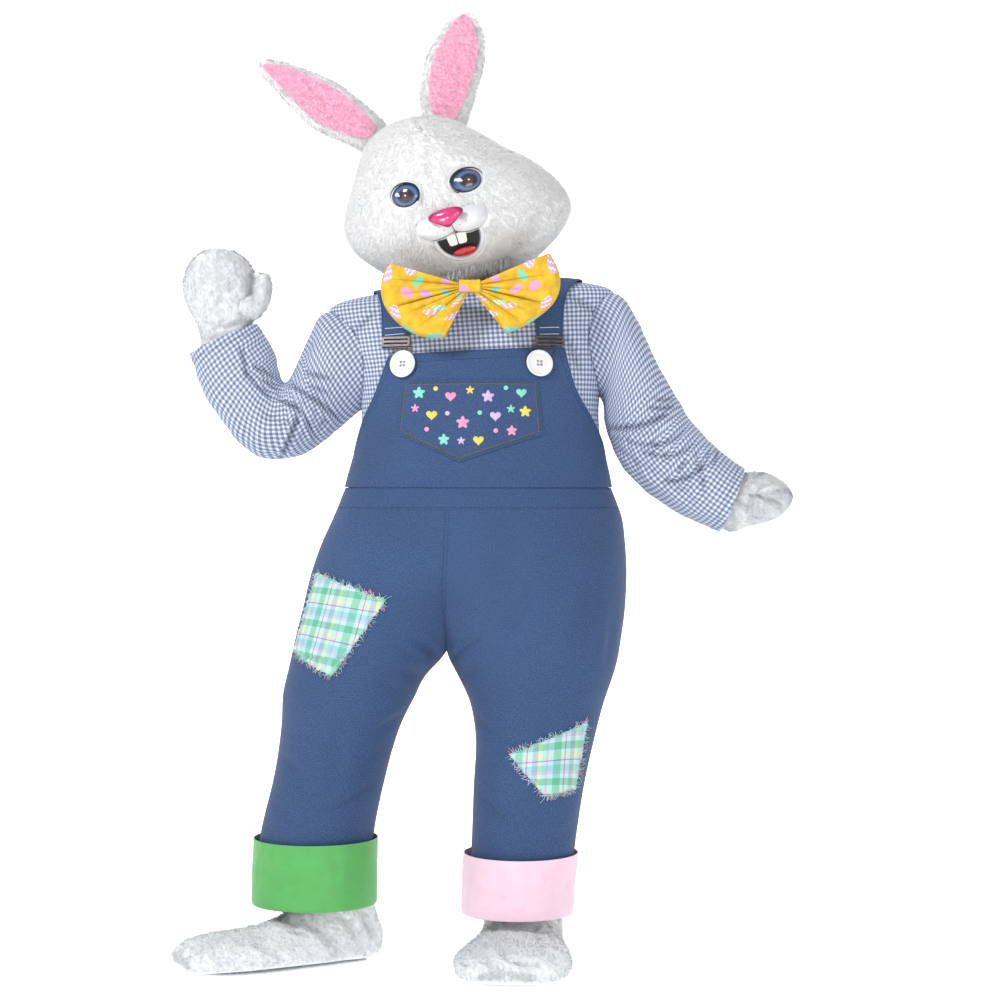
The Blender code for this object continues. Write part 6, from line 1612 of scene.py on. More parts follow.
def make_straps():
    columns, rows = FINE["strap"]
    for side, strap in STRAPS.items():
        t = np.linspace(-1.0, 1.0, rows)[:, None] * np.ones((1, columns))
        across = np.linspace(-0.5, 0.5, columns)[None, :] * np.ones((rows, 1))
        base, normals = strap_base(strap, t, across)
        grid = base + normals * DENIM
        crown = 0.0005 * np.cos(across * math.pi)[..., None]
        grid = grid + normals * crown
        lines = []
        for distance in (0.012, 0.026, 0.040):
            lines.append(level_path(grid[:, 1:-1], normals[:, 1:-1], distance, False, 0.0004))
        pale = stitches("strap_%s_lines" % side, lines, LOOKS["pale_thread"], 0.0034, 0.0032, 0.0016)
        finished(pale, [])
        edge = [row_path(grid, normals, 0.003, last, 0.0002) for last in (False, True)]
        thread = stitches("strap_%s_stitches" % side, edge, LOOKS["thread"])
        finished(thread, [])
        cloth_piece("strap_%s_cloth" % side, ["strap_" + side], grid, normals, DENIM, LOOKS["denim"])


def bow_surface(wing, u, v):
    row = read([tuple(item) for item in wing], v)
    turn = np.radians(row[..., 0])
    share = 1 - np.abs(u)
    reach = BOW_START + (row[..., 1] - BOW_START) * np.maximum(np.sin(np.radians(90 * share)), 0) ** 0.85
    puff = 0.0065 + BOW_PUFF * np.sin(np.radians(180 * np.abs(u) ** 0.8)) * 0.8
    puff = puff * np.minimum(1.0, np.abs(u) * 5) ** 0.5
    place = np.abs(u) ** 1.5 * (1 - np.abs(u)) * 3.0
    wave = BOW_PLEAT * np.cos(np.radians(360 * BOW_PLEATS * v)) * place
    # Finer pleats run out from the knot and die away towards the tip
    near = np.clip((np.abs(u) - 0.10) / 0.5, 0, 1) * np.clip((1 - np.abs(u)) / 0.06, 0, 1)
    lean = v + 0.05 * np.sin(v * 9.0 + (u < 0) * 2.0)
    fine = np.abs(np.sin(np.radians(180 * BOW_FINE_PLEATS * lean))) ** 0.55
    wave = wave + BOW_FINE_DEPTH * (fine - 0.75) * near * (0.7 + 0.3 * np.sin(v * 17.0 + (u > 0) * 3.0))
    depth = np.where(u < 0, -1.0, 1.0) * (puff + wave)
    return np.stack((BOW_CENTRE[0] + reach * np.cos(turn), BOW_CENTRE[1] + depth,
                     BOW_CENTRE[2] + reach * np.sin(turn) - SHOULDER_HEIGHT), axis=-1)


BOW_FINE_PLEATS = 6.5
BOW_FINE_DEPTH = 0.0100


def make_bow():
    columns, rows = FINE["wing"][1], FINE["wing"][0] * 2
    knot_box = [Vector(c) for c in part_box("bow_knot")]
    for side, wing in BOW_WINGS.items():
        us = np.sin(np.radians(np.linspace(-90, 90, columns)))[None, :] * np.ones((rows, 1))
        vs = np.linspace(0.0, 1.0, rows)[:, None] * np.ones((1, columns))
        grid = bow_surface(wing, us, vs)
        middle = np.array((BOW_CENTRE[0], BOW_CENTRE[1], BOW_CENTRE[2] - SHOULDER_HEIGHT))
        normals = unit(np.cross(np.gradient(grid, axis=1), np.gradient(grid, axis=0)))
        inside = middle + (grid[:, columns // 2:columns // 2 + 1] - middle) * 0.5
        if (normals * (grid - inside)).sum() < 0:
            normals = -normals
        runs = [row_path(grid.transpose(1, 0, 2), normals.transpose(1, 0, 2), 0.006, last, 0.0002)
                for last in (False, True)]
        thread = stitches("bow_%s_stitches" % side, runs, LOOKS["sun_thread"], 0.004, 0.0028, 0.0008)
        finished(thread, [])
        cloth_piece("bow_%s_cloth" % side, ["bow_wing_" + side], grid, normals, BOW_CLOTH, LOOKS["bow"])
    turn = np.arange(72) * 2 * math.pi / 72
    rise = np.linspace(-1.0, 1.0, 26)[:, None]
    pinch = 1 - 0.10 * (1 - rise**2)
    power = 0.45
    x = KNOT_SIZE[0] * 0.96 * rise * np.ones((1, 72))
    edge = np.clip((1 - np.abs(rise)) / 0.10, 0, 1) ** 0.5 * 0.22 + 0.78
    pleat = 1 + 0.055 * np.sin(5 * turn * 2 + 1.0)[None, :] * np.abs(np.cos(turn))[None, :]
    y = -KNOT_SIZE[1] * 0.97 * np.sign(np.cos(turn)) * np.abs(np.cos(turn)) ** power * pinch * edge * pleat
    z = KNOT_SIZE[2] * 0.97 * np.sign(np.sin(turn)) * np.abs(np.sin(turn)) ** power * pinch * edge * pleat
    x = x + 0 * y
    centre = (knot_box[0] + knot_box[1]) / 2
    grid = np.stack((x + centre.x, y + centre.y, z + centre.z), axis=-1)
    knot = closed_form("bow_knot_cloth", grid, 0.05, LOOKS["bow"])
    layer = knot.data.uv_layers.new(name="cloth")
    for loop in knot.data.loops:
        spot = knot.data.vertices[loop.vertex_index].co
        layer.data[loop.index].uv = (spot.x * 1.0 + 0.3, spot.z * 1.2 + 0.1)
    finished(knot, ["bow_knot"])
    angles = np.arange(120) * 3.0
    turn = np.radians(angles)[None, :]
    steps = np.linspace(0.0, 1.0, 6)[:, None]
    reach = np.where(np.sin(turn) > 0, BOW_BAND_BACK, -BOW_BAND_FRONT)
    x = BOW_BAND_HALF * np.cos(turn) + 0 * steps
    y = reach * np.sin(turn) + 0 * steps
    h = BOW_BAND_HEIGHT + BOW_BAND_LEAN * x + np.minimum(np.sin(turn) + 0.5, 0) * 2 * BOW_BAND_DROP + steps * BOW_BAND_TALL
    grid = np.stack((x, y, h - SHOULDER_HEIGHT), axis=-1)
    cloth_piece("bow_band_cloth", ["bow_neck_band"], grid, grid_normals(grid, True), BOW_BAND_CLOTH, LOOKS["bow"],
                closed=True)


# The pocket and the patches

def laid_grid(top, bottom, columns, rows):
    """Places in the front view between two lines of corners, as rows from the top down."""
    share = np.linspace(0.0, 1.0, columns)
    ends = []
    for line in (top, bottom):
        knots = np.linspace(0.0, 1.0, len(line)) if len(line) == 2 else np.array((0.0, POINT_SHARE, 1.0))
        ends.append(np.stack([np.interp(share, knots, [spot[k] for spot in line]) for k in (0, 1)], axis=-1))
    down = np.linspace(0.0, 1.0, rows)[:, None, None]
    return ends[0][None] * (1 - down) + ends[1][None] * down


POINT_SHARE = (POCKET_POINT.x - POCKET[3].x) / (POCKET[2].x - POCKET[3].x)
# The pocket's motifs: kind, share across and down the panel, size and thread
Motif = namedtuple("Motif", "kind across down size look")
MOTIFS = (
    Motif("blossom", 0.13, 0.20, 0.0125, "mint"), Motif("dot", 0.25, 0.12, 0.0045, "sun_thread"),
    Motif("heart", 0.36, 0.22, 0.0120, "rose_thread"), Motif("star", 0.50, 0.13, 0.0085, "sun_thread"),
    Motif("blossom", 0.63, 0.23, 0.0125, "lilac_thread"), Motif("dot", 0.76, 0.12, 0.0045, "mint"),
    Motif("heart", 0.87, 0.22, 0.0115, "mint"), Motif("star", 0.11, 0.46, 0.0085, "rose_thread"),
    Motif("heart", 0.23, 0.52, 0.0120, "sun_thread"), Motif("dot", 0.34, 0.44, 0.0045, "lilac_thread"),
    Motif("blossom", 0.45, 0.53, 0.0130, "rose_thread"), Motif("dot", 0.57, 0.44, 0.0045, "mint"),
    Motif("heart", 0.68, 0.53, 0.0120, "lilac_thread"), Motif("star", 0.79, 0.45, 0.0085, "mint"),
    Motif("blossom", 0.89, 0.53, 0.0115, "sun_thread"), Motif("dot", 0.20, 0.74, 0.0045, "rose_thread"),
    Motif("blossom", 0.32, 0.80, 0.0115, "mint"), Motif("star", 0.44, 0.75, 0.0080, "lilac_thread"),
    Motif("heart", 0.56, 0.81, 0.0115, "sun_thread"), Motif("dot", 0.68, 0.73, 0.0045, "rose_thread"),
    Motif("blossom", 0.79, 0.79, 0.0105, "rose_thread"),
)


def motif_outlines(kind, size):
    """Outlines of a small embroidered figure, as rings of flat points."""
    turn = np.linspace(0.0, 2 * math.pi, 40, endpoint=False)
    if kind == "dot":
        return [np.stack((np.cos(turn), np.sin(turn)), axis=-1) * size]
    if kind == "star":
        reach = size * (0.72 + 0.28 * np.cos(5 * turn))
        return [np.stack((reach * np.sin(turn), reach * np.cos(turn)), axis=-1)]
    if kind == "heart":
        x = 16 * np.sin(turn) ** 3
        y = 13 * np.cos(turn) - 5 * np.cos(2 * turn) - 2 * np.cos(3 * turn) - np.cos(4 * turn)
        return [np.stack((x, y + 2), axis=-1) / 17 * size * 0.95]
    reach = size * (0.74 + 0.26 * np.cos(5 * turn)) ** 0.8
    return [np.stack((reach * np.sin(turn), reach * np.cos(turn)), axis=-1)]


def make_pocket():
    top = [tuple(POCKET[0]), tuple(POCKET[1])]
    bottom = [tuple(POCKET[3]), tuple(POCKET_POINT), tuple(POCKET[2])]
    flat = laid_grid(top, bottom, *FINE["pocket"])
    lift = BIB_EASE + DENIM + FIT_GAP + PATCH_CLOTH + POCKET_RISE
    grid, normals = front_spot(flat[..., 0], flat[..., 1], lift)
    runs = {"green": [], "rust": []}
    for look, inset in (("green", 0.0045), ("rust", 0.0080)):
        runs[look].append(row_path(grid, normals, inset, False, 0.0003))
        runs[look].append(row_path(grid, normals, inset, True, 0.0003))
        runs[look].append(level_path(grid, normals, inset, False, 0.0003))
        runs[look].append(level_path(grid, normals, inset, True, 0.0003))
    for look, paths in runs.items():
        paths = [(path[3:-3], out[3:-3]) for path, out in paths]
        thread = stitches("pocket_%s_stitches" % look, paths, LOOKS[look + "_thread"], 0.0044, 0.0034, 0.0018)
        finished(thread, [])
    groups = {}
    for motif in MOTIFS:
        groups.setdefault(motif.look, []).append(motif)
    for look, motifs in groups.items():
        verts, faces = [], []
        for motif in motifs:
            spot = bilinear(flat, motif.across, motif.down)
            outlines = motif_outlines(motif.kind, motif.size)
            for ring in outlines:
                add_motif(verts, faces, ring, spot, lift)
        made = new_mesh("pocket_" + look.replace("_thread", "") + "_motifs", np.concatenate(verts), faces, LOOKS[look])
        finished(made, [])
    cloth_piece("pocket_panel_cloth", ["pocket_panel"], grid, normals, PATCH_CLOTH, LOOKS["denim"])


POCKET_RISE = 0.0004
MOTIF_RISE = 0.0011


def bilinear(flat, across, down):
    rows, columns = flat.shape[:2]
    j, i = down * (rows - 1), across * (columns - 1)
    a, b = int(j), int(i)
    s, t = j - a, i - b
    return (flat[a, b] * (1 - s) * (1 - t) + flat[a + 1, b] * s * (1 - t)
            + flat[a, b + 1] * (1 - s) * t + flat[a + 1, b + 1] * s * t)


def add_motif(verts, faces, ring, spot, lift):
    """A crowned figure of thread: two rings and a middle, over a rim down to the cloth."""
    count = len(ring)
    start = sum(len(part) for part in verts)
    for shrink, rise in ((1.0, -0.0004), (1.0, MOTIF_RISE * 0.55), (0.62, MOTIF_RISE)):
        here, _ = front_spot(spot[0] + ring[:, 0] * shrink, spot[1] + ring[:, 1] * shrink, lift + rise)
        verts.append(here)
    here, _ = front_spot(np.array((spot[0],)), np.array((spot[1],)), lift + MOTIF_RISE * 1.08)
    verts.append(here)
    i = np.arange(count)
    n = (i + 1) % count
    for k in range(2):
        faces.append(np.stack((i, i + count, n + count, n), axis=-1) + start + k * count)
    faces.append(np.stack((i, np.full(count, count), n), axis=-1) + start + 2 * count)


def make_patches():
    for side, corners, look in (("left", LEFT_PATCH, "plaid"), ("right", RIGHT_PATCH, "plaid_low")):
        top = [tuple(corners[0]), tuple(corners[1])]
        bottom = [tuple(corners[3]), tuple(corners[2])]
        columns, rows = FINE["patch"]
        flat = laid_grid(top, bottom, columns, rows)
        lift = FIT_GAP + PATCH_CLOTH + 0.0006
        grid, normals = on_leg(side, flat[..., 0], flat[..., 1], lift)
        local = np.random.default_rng(61 if side == "left" else 67)
        for edge in (0, -1):
            grid[edge] += (grid[edge] - grid[edge + (1 if edge == 0 else -1)]) * local.uniform(-0.4, 0.9, (columns, 1))
            grid[:, edge] += (grid[:, edge] - grid[:, edge + (1 if edge == 0 else -1)]) * local.uniform(-0.4, 0.9, (rows, 1))
        runs = [(path[2:-2], out[2:-2]) for path, out in
                [row_path(grid, normals, 0.006, last, 0.0002) for last in (False, True)]
                + [level_path(grid, normals, 0.006, last, 0.0002) for last in (False, True)]]
        thread = stitches("patch_%s_stitches" % side, runs, LOOKS["pale_thread"], 0.0045, 0.003, 0.0009)
        finished(thread, [])
        for tone in ("mint", "rose_thread", "pale_thread"):
            strands = frayed(grid, normals, flat, side, lift, local, tone)
            fringe = tubes("patch_%s_fray_%s" % (side, tone.split("_")[0]), strands, 0.00045, LOOKS[tone], 3)
            finished(fringe, [])
        cloth_piece("patch_%s_cloth" % side, ["patch_" + side], grid, normals, PATCH_CLOTH, LOOKS[look])


def frayed(grid, normals, flat, side, lift, local, tone):
    """Loose yarns that stick out from a patch's edges and lie on the trousers."""
    count = {"mint": 70, "rose_thread": 45, "pale_thread": 95}[tone]
    centre = flat.mean(axis=(0, 1))
    strands = []
    for _ in range(count):
        share = local.uniform(0.01, 0.99)
        edge = local.integers(4)
        spots = (flat[0], flat[-1], flat[:, 0], flat[:, -1])[edge]
        place = share * (len(spots) - 1)
        k = int(place)
        spot = spots[k] + (spots[min(k + 1, len(spots) - 1)] - spots[k]) * (place - k)
        along = unit(spots[-1] - spots[0])
        out = np.array((along[1], -along[0]))
        if (out * (spot - centre)).sum() < 0:
            out = -out
        length = local.uniform(0.004, 0.012)
        lean = local.normal(0, 0.45)
        curl = local.normal(0, 0.5)
        steps = np.linspace(-0.25, 1.0, 5)[:, None]
        path = spot + (out * steps + along * (lean * steps + curl * steps**2 * 0.6)) * length
        points, _ = on_leg(side, path[:, 0], path[:, 1], lift + 0.0002 + local.uniform(0, 0.0012))
        strands.append(points)
    return strands


# Buckles and buttons

def make_hardware():
    for side, corner in CORNERS.items():
        for part, look in (("adjuster", "nickel"), ("hook", "nickel")):
            node = bpy.data.objects["%s_%s" % (part, side)]
            for slot in node.material_slots:
                slot.material = LOOKS[look]
            rounding = node.modifiers.new("rounding", "BEVEL")
            rounding.width = 0.0006
            rounding.segments = 2
            rounding.limit_method = "ANGLE"
        low, high = (Vector(c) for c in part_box("button_" + side))
        centre = (low + high) / 2
        _, out = front_spot(centre.x, centre.z + SHOULDER_HEIGHT, 0.0)
        out = Vector(out)
        across = UP_VECTOR.cross(out).normalized()
        place = Matrix((across, out.cross(across), out)).transposed().to_4x4()
        place.translation = centre
        make_button(side, place)


UP_VECTOR = Vector((0.0, 0.0, 1.0))
# The button's section: share of its radius and height over its middle
BUTTON_SECTION = ((0.0, -0.0029), (0.80, -0.0029), (0.97, -0.0016), (1.0, 0.0002), (0.985, 0.0019), (0.93, 0.0028),
                  (0.86, 0.0027), (0.80, 0.0016), (0.72, 0.0012), (0.40, 0.0013), (0.0, 0.0014))


def make_button(side, place):
    around = 72
    turn = np.arange(around) * 2 * math.pi / around
    rings = BUTTON_SECTION[1:-1]
    verts = [np.stack((BUTTON_RADIUS * share * np.cos(turn), BUTTON_RADIUS * share * np.sin(turn),
                       np.full(around, height)), axis=-1) for share, height in rings]
    verts.append(np.array(((0, 0, BUTTON_SECTION[0][1]), (0, 0, BUTTON_SECTION[-1][1]))))
    i = np.arange(around)
    n = (i + 1) % around
    end = (len(rings) - 1) * around
    count = len(rings) * around
    faces = [grid_faces(len(rings), around, True), np.stack((n, i, np.full(around, count)), axis=-1),
             np.stack((end + i, end + n, np.full(around, count + 1)), axis=-1)]
    button = new_mesh("button_%s_disc" % side, np.concatenate(verts), faces, LOOKS["button"])
    for k in range(4):
        lean = math.radians(45 + 90 * k)
        ring = np.stack((np.cos(turn[::4]), np.sin(turn[::4]), 0 * turn[::4]), axis=-1) * BUTTON_HOLE
        middle = np.array((BUTTON_HOLE_SPACING * math.cos(lean), BUTTON_HOLE_SPACING * math.sin(lean), 0.0))
        grid = np.stack([ring + middle + UP * z for z in (-0.01, 0.01)])
        hole = closed_form("hole", grid, 0.1)
        trimmed(button, hole)
        drop(hole)
    button.data.transform(place)
    button.data.set_sharp_from_angle(angle=math.radians(40))
    finished(button, ["button_" + side])
    runs = []
    for k in (0, 1):
        a, b = math.radians(45 + 90 * k), math.radians(225 + 90 * k)
        path = [Vector((BUTTON_HOLE_SPACING * math.cos(t), BUTTON_HOLE_SPACING * math.sin(t), z))
                for t, z in ((a, -0.002), (a, 0.0022), (b, 0.0022), (b, -0.002))]
        runs.append([place @ spot for spot in path])
    cord = tubes("button_%s_thread" % side, runs, 0.0008, LOOKS["pale_thread"], 6)
    finished(cord, [])


# The head, ears, mitts and foot covers

HEAD_CREASES = (
    Crease(0.305, 0.30, 60, 0.090, 0.006, 0.0035, 0.10), Crease(0.285, 0.38, 105, 0.080, 0.006, 0.0030, -0.08),
    Crease(0.90, 0.40, 75, 0.100, 0.008, 0.0030, 0.06), Crease(0.62, 0.30, 110, 0.110, 0.008, 0.0035, 0.07),
    Crease(0.72, 0.36, 70, 0.090, 0.008, 0.0035, -0.06), Crease(0.12, 0.24, 95, 0.080, 0.007, 0.0030, 0.05),
    Crease(0.40, 0.20, 80, 0.070, 0.007, 0.0025, 0.05), Crease(0.80, 0.55, 25, 0.090, 0.010, 0.0025, 0.05),
)
# Places on the face that stay bare of pile: middle, half sizes in the face frame
BARE = (
    (-0.0635, 0.021, 0.0355, 0.0295), (0.0595, 0.017, 0.0375, 0.0295), (-0.0210, -0.057, 0.0440, 0.0270),
    (0.0440, -0.057, 0.0400, 0.0270), (0.0110, -0.050, 0.0300, 0.0240), (0.0135, -0.0840, 0.0530, 0.0450),
)


CROWN_LOCKS = 2600


def outside_face(spots):
    local = moved(spots, FACE_FRAME.inverted())
    clear = np.ones(len(spots), dtype=bool)
    for side, up, wide, tall in BARE:
        near = ((local[:, 0] - side) / wide) ** 2 + ((local[:, 2] - up) / tall) ** 2 < 1.0
        clear &= ~(near & (local[:, 1] < -0.06))
    return clear


def make_head():
    columns, rows = FINE["head"]
    us = np.arange(columns) * 360.0 / columns
    vs = np.linspace(0.0, 1.0, rows)
    surface = head_at(us[None, :] + 0 * vs[:, None], vs[:, None] + 0 * us[None, :])
    normals = grid_normals(surface, True)
    # The face seam shows as a faint groove, and the pile closes over the other two
    away = np.abs((us - 277.0 + 180.0) % 360.0 - 180.0)[None, :] * np.linalg.norm(surface[:, :1] - surface[:, 1:2],
                                                                                axis=-1) / (360.0 / columns)
    groove = 0.0020 * np.exp(-(away / 0.0055) ** 2)
    for seam in (22.0, 158.0):
        off = np.abs((us - seam + 180.0) % 360.0 - 180.0)[None, :] * 0.0032
        groove = groove + 0.0018 * np.exp(-(off / 0.005) ** 2)
    fade = fade_ends(surface, 0.03, 0.10)
    surface = creased(surface, normals, HEAD_CREASES, closed=True, fade=fade * 0.3)
    surface = soft_waves(surface, normals * fade[..., None], 0.0016, 0.11, 51)
    surface = surface - normals * (groove * fade)[..., None]
    outer = surface - normals * PILE
    inner = surface - normals * HEAD_WALL
    crown = moved(np.array(CROWN), HEAD_FRAME)
    up = np.array(HEAD_FRAME.to_3x3() @ Vector((0, 0, 1)))
    head = shell("head_plush", outer, inner, LOOKS["plush"], closed=True,
                 tips=(crown - up * PILE, crown - up * HEAD_WALL))
    finished(head, ["head_back", "head_face_left", "head_face_right"])
    spots, out, down = scatter(outer[:-2], grid_normals(outer, True)[:-2], LOCKS["head"], outside_face, seed=3)
    # The crown's small cap is filled from its rim to its middle
    local = np.random.default_rng(13)
    share = np.sqrt(local.random((CROWN_LOCKS, 1)))
    rim = outer[-3, local.integers(0, columns, CROWN_LOCKS)]
    cap = crown + (rim - crown) * share - up * PILE
    spots, out = np.concatenate((spots, cap)), np.concatenate((out, unit(up + (rim - crown) * 4 * share)))
    comb = comb_head(spots, out)
    fur = pile("head_pile", spots, out, comb, HEAD_PILE, 0.62, LOOKS["plush"], 4, wild=0.26)
    finished(fur, [])
    # Longer pile hangs from the lower rim, over the neck and the bow's top
    spots, out, down = scatter(outer[:9], grid_normals(outer, True)[:9], LOCKS["fringe"], seed=9)
    hang = np.broadcast_to(np.array((0.0, 0.0, -1.0)), spots.shape)
    out[:, 2] = np.maximum(out[:, 2], -0.1)
    fringe = pile("head_fringe", spots, out, hang, FRINGE_PILE, 0.80, LOOKS["plush"], 10)
    finished(fringe, [])
    declare_cloth(outer, True)


def comb_head(spots, out):
    """The pile falls down and away from the middle of the face."""
    local = moved(spots, FACE_FRAME.inverted())
    away = np.stack((local[:, 0], 0 * local[:, 0], local[:, 2] + 0.03), axis=-1)
    away = unit(away) * 0.5 + np.array((0.0, 0.3, -1.0))
    table = np.array(FACE_FRAME)[:3, :3]
    return unit(away @ table.T)


def make_ears():
    columns, rows = FINE["ear"]
    head = plug_form("head_form", HEAD, (0.0, 1.0), 60, 96, 0.0)
    for vertex_co in (head,):
        vertex_co.data.transform(Matrix.Translation((0, 0, SHOULDER_HEIGHT)))
        vertex_co.data.transform(HEAD_FRAME)
    for side, table in (("left", LEFT_EAR), ("right", RIGHT_EAR)):
        us = np.arange(columns) * 360.0 / columns
        vs = np.linspace(0.02, 1.0, rows)
        grid = section_points(table, us[None, :], vs)
        normals = grid_normals(grid, True)
        # A shallow dish down the ear's front, where the pink lining lies
        front = np.clip(-np.sin(np.radians(us)), 0, 1)[None, :]
        dish = 0.0035 * front**2 * np.sin(np.clip((vs - LINING_START) / (LINING_END - LINING_START), 0, 1)
                                          * math.pi)[:, None]
        body = grid - normals * (PILE + dish)[..., None]
        ear = closed_form("ear_%s_body" % side, body, 0.15, LOOKS["plush"])
        finished(ear, ["ear_" + side])
        inside = lambda spots, table=table: ~in_lining(spots, table)
        spots, out, down = scatter(body, grid_normals(body, True), LOCKS["ear"], inside, seed=5)
        fur = pile("ear_%s_pile" % side, spots, out, unit(-down * 0.3 + np.array((0, 0, -1.0))), HEAD_PILE, 0.55,
                   LOOKS["plush"], 6)
        finished(fur, [])
        fur.parent = ear
        make_ear_lining(side, table, dish.max())
    drop(head)


LINING_DROP = 0.07


def lining_places(table, reach, turn):
    low = LINING_START - LINING_DROP
    v = (low + LINING_END) / 2 + (LINING_END - low) / 2 * reach * np.cos(turn)
    # Round at the tip and squarer at the base
    square = np.sign(np.sin(turn)) * np.abs(np.sin(turn)) ** np.where(np.cos(turn) < 0, 0.6, 1.0)
    share = LINING_WIDTH * reach * square * np.where(np.cos(turn) < 0, 1.0, 1.0 - 0.1 * np.cos(turn))
    return section_at(table, 360.0 - np.degrees(np.arccos(share)), v) - UP * SHOULDER_HEIGHT


def in_lining(spots, table):
    edge = lining_places(table, 0.96, np.linspace(0, 2 * math.pi, 60, endpoint=False))[:, [0, 2]]
    flat = spots[:, [0, 2]]
    inside = np.zeros(len(spots), dtype=bool)
    for k in range(len(edge)):
        a, b = edge[k], edge[(k + 1) % len(edge)]
        crosses = (a[1] > flat[:, 1]) != (b[1] > flat[:, 1])
        spot = (b[0] - a[0]) * (flat[:, 1] - a[1]) / (b[1] - a[1] + 1e-12) + a[0]
        inside ^= crosses & (flat[:, 0] < spot)
    return inside & (spots[:, 1] < 0.006)


def make_ear_lining(side, table, dish):
    turn = np.arange(96) * 2 * math.pi / 96
    reach = np.linspace(0.02, 1.0, 24)[:, None]
    grid = lining_places(table, reach, turn[None, :])
    ahead = np.array((0.0, -1.0, 0.0))
    sink = dish * (1 - reach**2)[..., None]
    grid = grid - ahead * sink
    outer = grid + ahead * 0.0006
    inner = grid - ahead * 0.0012
    middle = grid[0].mean(axis=0)
    outer, inner = outer[::-1], inner[::-1]
    lining = shell("ear_%s_lining" % side, outer, inner, LOOKS["pink"], closed=True,
                   tips=(middle + ahead * 0.0006, middle - ahead * 0.0012))
    finished(lining, ["ear_lining_" + side])
    out = np.broadcast_to(ahead, outer.shape)
    spots, normals, down = scatter(outer, out, LOCKS["lining"], seed=7)
    fur = pile("ear_%s_fleece" % side, spots, normals, np.broadcast_to(np.array((0.0, 0, -1.0)), spots.shape),
               PINK_PILE, 0.45, LOOKS["pink"], 8, wild=0.6, clump=0.02)
    finished(fur, [])
    declare_cloth(lining_sheet(grid), False)


def lining_sheet(grid):
    """The lining's oval as a plain grid, for the size of its cut."""
    half = grid.shape[1] // 2
    return np.stack((grid[-1, :half], grid[-1, ::-1][:half]), axis=0).transpose(1, 0, 2)


MITT_CREASES = {
    "left": (
        Crease(0.30, 0.18, 12, 0.090, 0.006, 0.0045, 0.06), Crease(0.22, 0.26, 168, 0.070, 0.006, 0.0040, -0.05),
        Crease(0.36, 0.30, 30, 0.060, 0.006, 0.0035, 0.06), Crease(0.72, 0.20, 10, 0.090, 0.007, 0.0040, 0.05),
        Crease(0.80, 0.34, 150, 0.070, 0.007, 0.0035, 0.05), Crease(0.12, 0.50, 80, 0.080, 0.008, 0.0030, 0.05),
    ),
    "right": (
        Crease(0.24, 0.30, 70, 0.080, 0.007, 0.0045, 0.08), Crease(0.34, 0.48, 85, 0.090, 0.007, 0.0055, -0.06),
        Crease(0.18, 0.62, 98, 0.080, 0.007, 0.0050, 0.05), Crease(0.42, 0.66, 60, 0.070, 0.007, 0.0040, 0.06),
        Crease(0.70, 0.30, 20, 0.080, 0.007, 0.0040, 0.05), Crease(0.82, 0.56, 160, 0.070, 0.007, 0.0035, 0.05),
    ),
}


def plush_tube(name, nodes, table, columns, rows, creases, wall_thick, locks, seed, base_lift=PILE, comb=(0, 0, -1.0),
               tip_reach=0.006, keep=None):
    us = np.arange(columns) * 360.0 / columns + 180.0
    vs = np.linspace(0.0, 1.0, rows)
    grid = section_points(table, us[None, :], vs)
    normals = grid_normals(grid, True)
    if creases:
        grid = creased(grid, normals, creases, closed=True, fade=fade_ends(grid, 0.012, 0.03))
    outer = grid - normals * base_lift
    inner = grid - normals * wall_thick
    end = outer[-1].mean(axis=0)
    ahead = unit(end - outer[-4].mean(axis=0))
    inner[-1] = end + (inner[-1] - end) * 0.7 - ahead * (wall_thick - base_lift)
    tips = (end + ahead * (tip_reach - base_lift), end - ahead * (wall_thick + base_lift - tip_reach))
    made = shell(name, outer, inner, LOOKS["short"], closed=True, tips=tips)
    finished(made, nodes)
    out = grid_normals(outer, True)
    spots, out, down = scatter(outer, out, locks, keep, seed=seed)
    tip_count = max(locks // 16, 60)
    local = np.random.default_rng(seed + 50)
    pick = local.integers(0, columns, tip_count)
    share = np.sqrt(local.random((tip_count, 1)))
    cap = end + (outer[-1, pick] - end) * share + ahead * (tip_reach - base_lift) * (1 - share)
    cap_out = unit(ahead + grid_normals(outer, True)[-1, pick] * share)
    spots, out, down = (np.concatenate(pair) for pair in ((spots, cap), (out, cap_out), (down, cap_out * 0 + down[0])))
    fur = pile(name + "_pile", spots, out, unit(down * 0.8 + np.array(comb)), BODY_PILE, 0.55, LOOKS["short"], seed + 1)
    finished(fur, [])
    return made, outer, fur


def make_mitts():
    for side, table, thumb in (("left", LEFT_MITT, LEFT_THUMB), ("right", RIGHT_MITT, RIGHT_THUMB)):
        nodes = ["mitt_%s_palm" % side, "mitt_%s_back" % side]
        columns, rows = FINE["mitt"]
        mitt, outer, fur = plush_tube("mitt_%s_plush" % side, nodes, table, columns, rows, MITT_CREASES[side], 0.0070,
                                      LOCKS["mitt"], 71 if side == "left" else 75)
        declare_cloth(outer, True)
        columns, rows = FINE["thumb"]
        finger, outer, fur = plush_tube("mitt_%s_thumb_plush" % side, ["mitt_%s_thumb" % side], thumb, columns, rows,
                                        (), 0.0040, LOCKS["thumb"], 81 if side == "left" else 85, base_lift=0.0025,
                                        tip_reach=0.004)
        declare_cloth(outer, True)


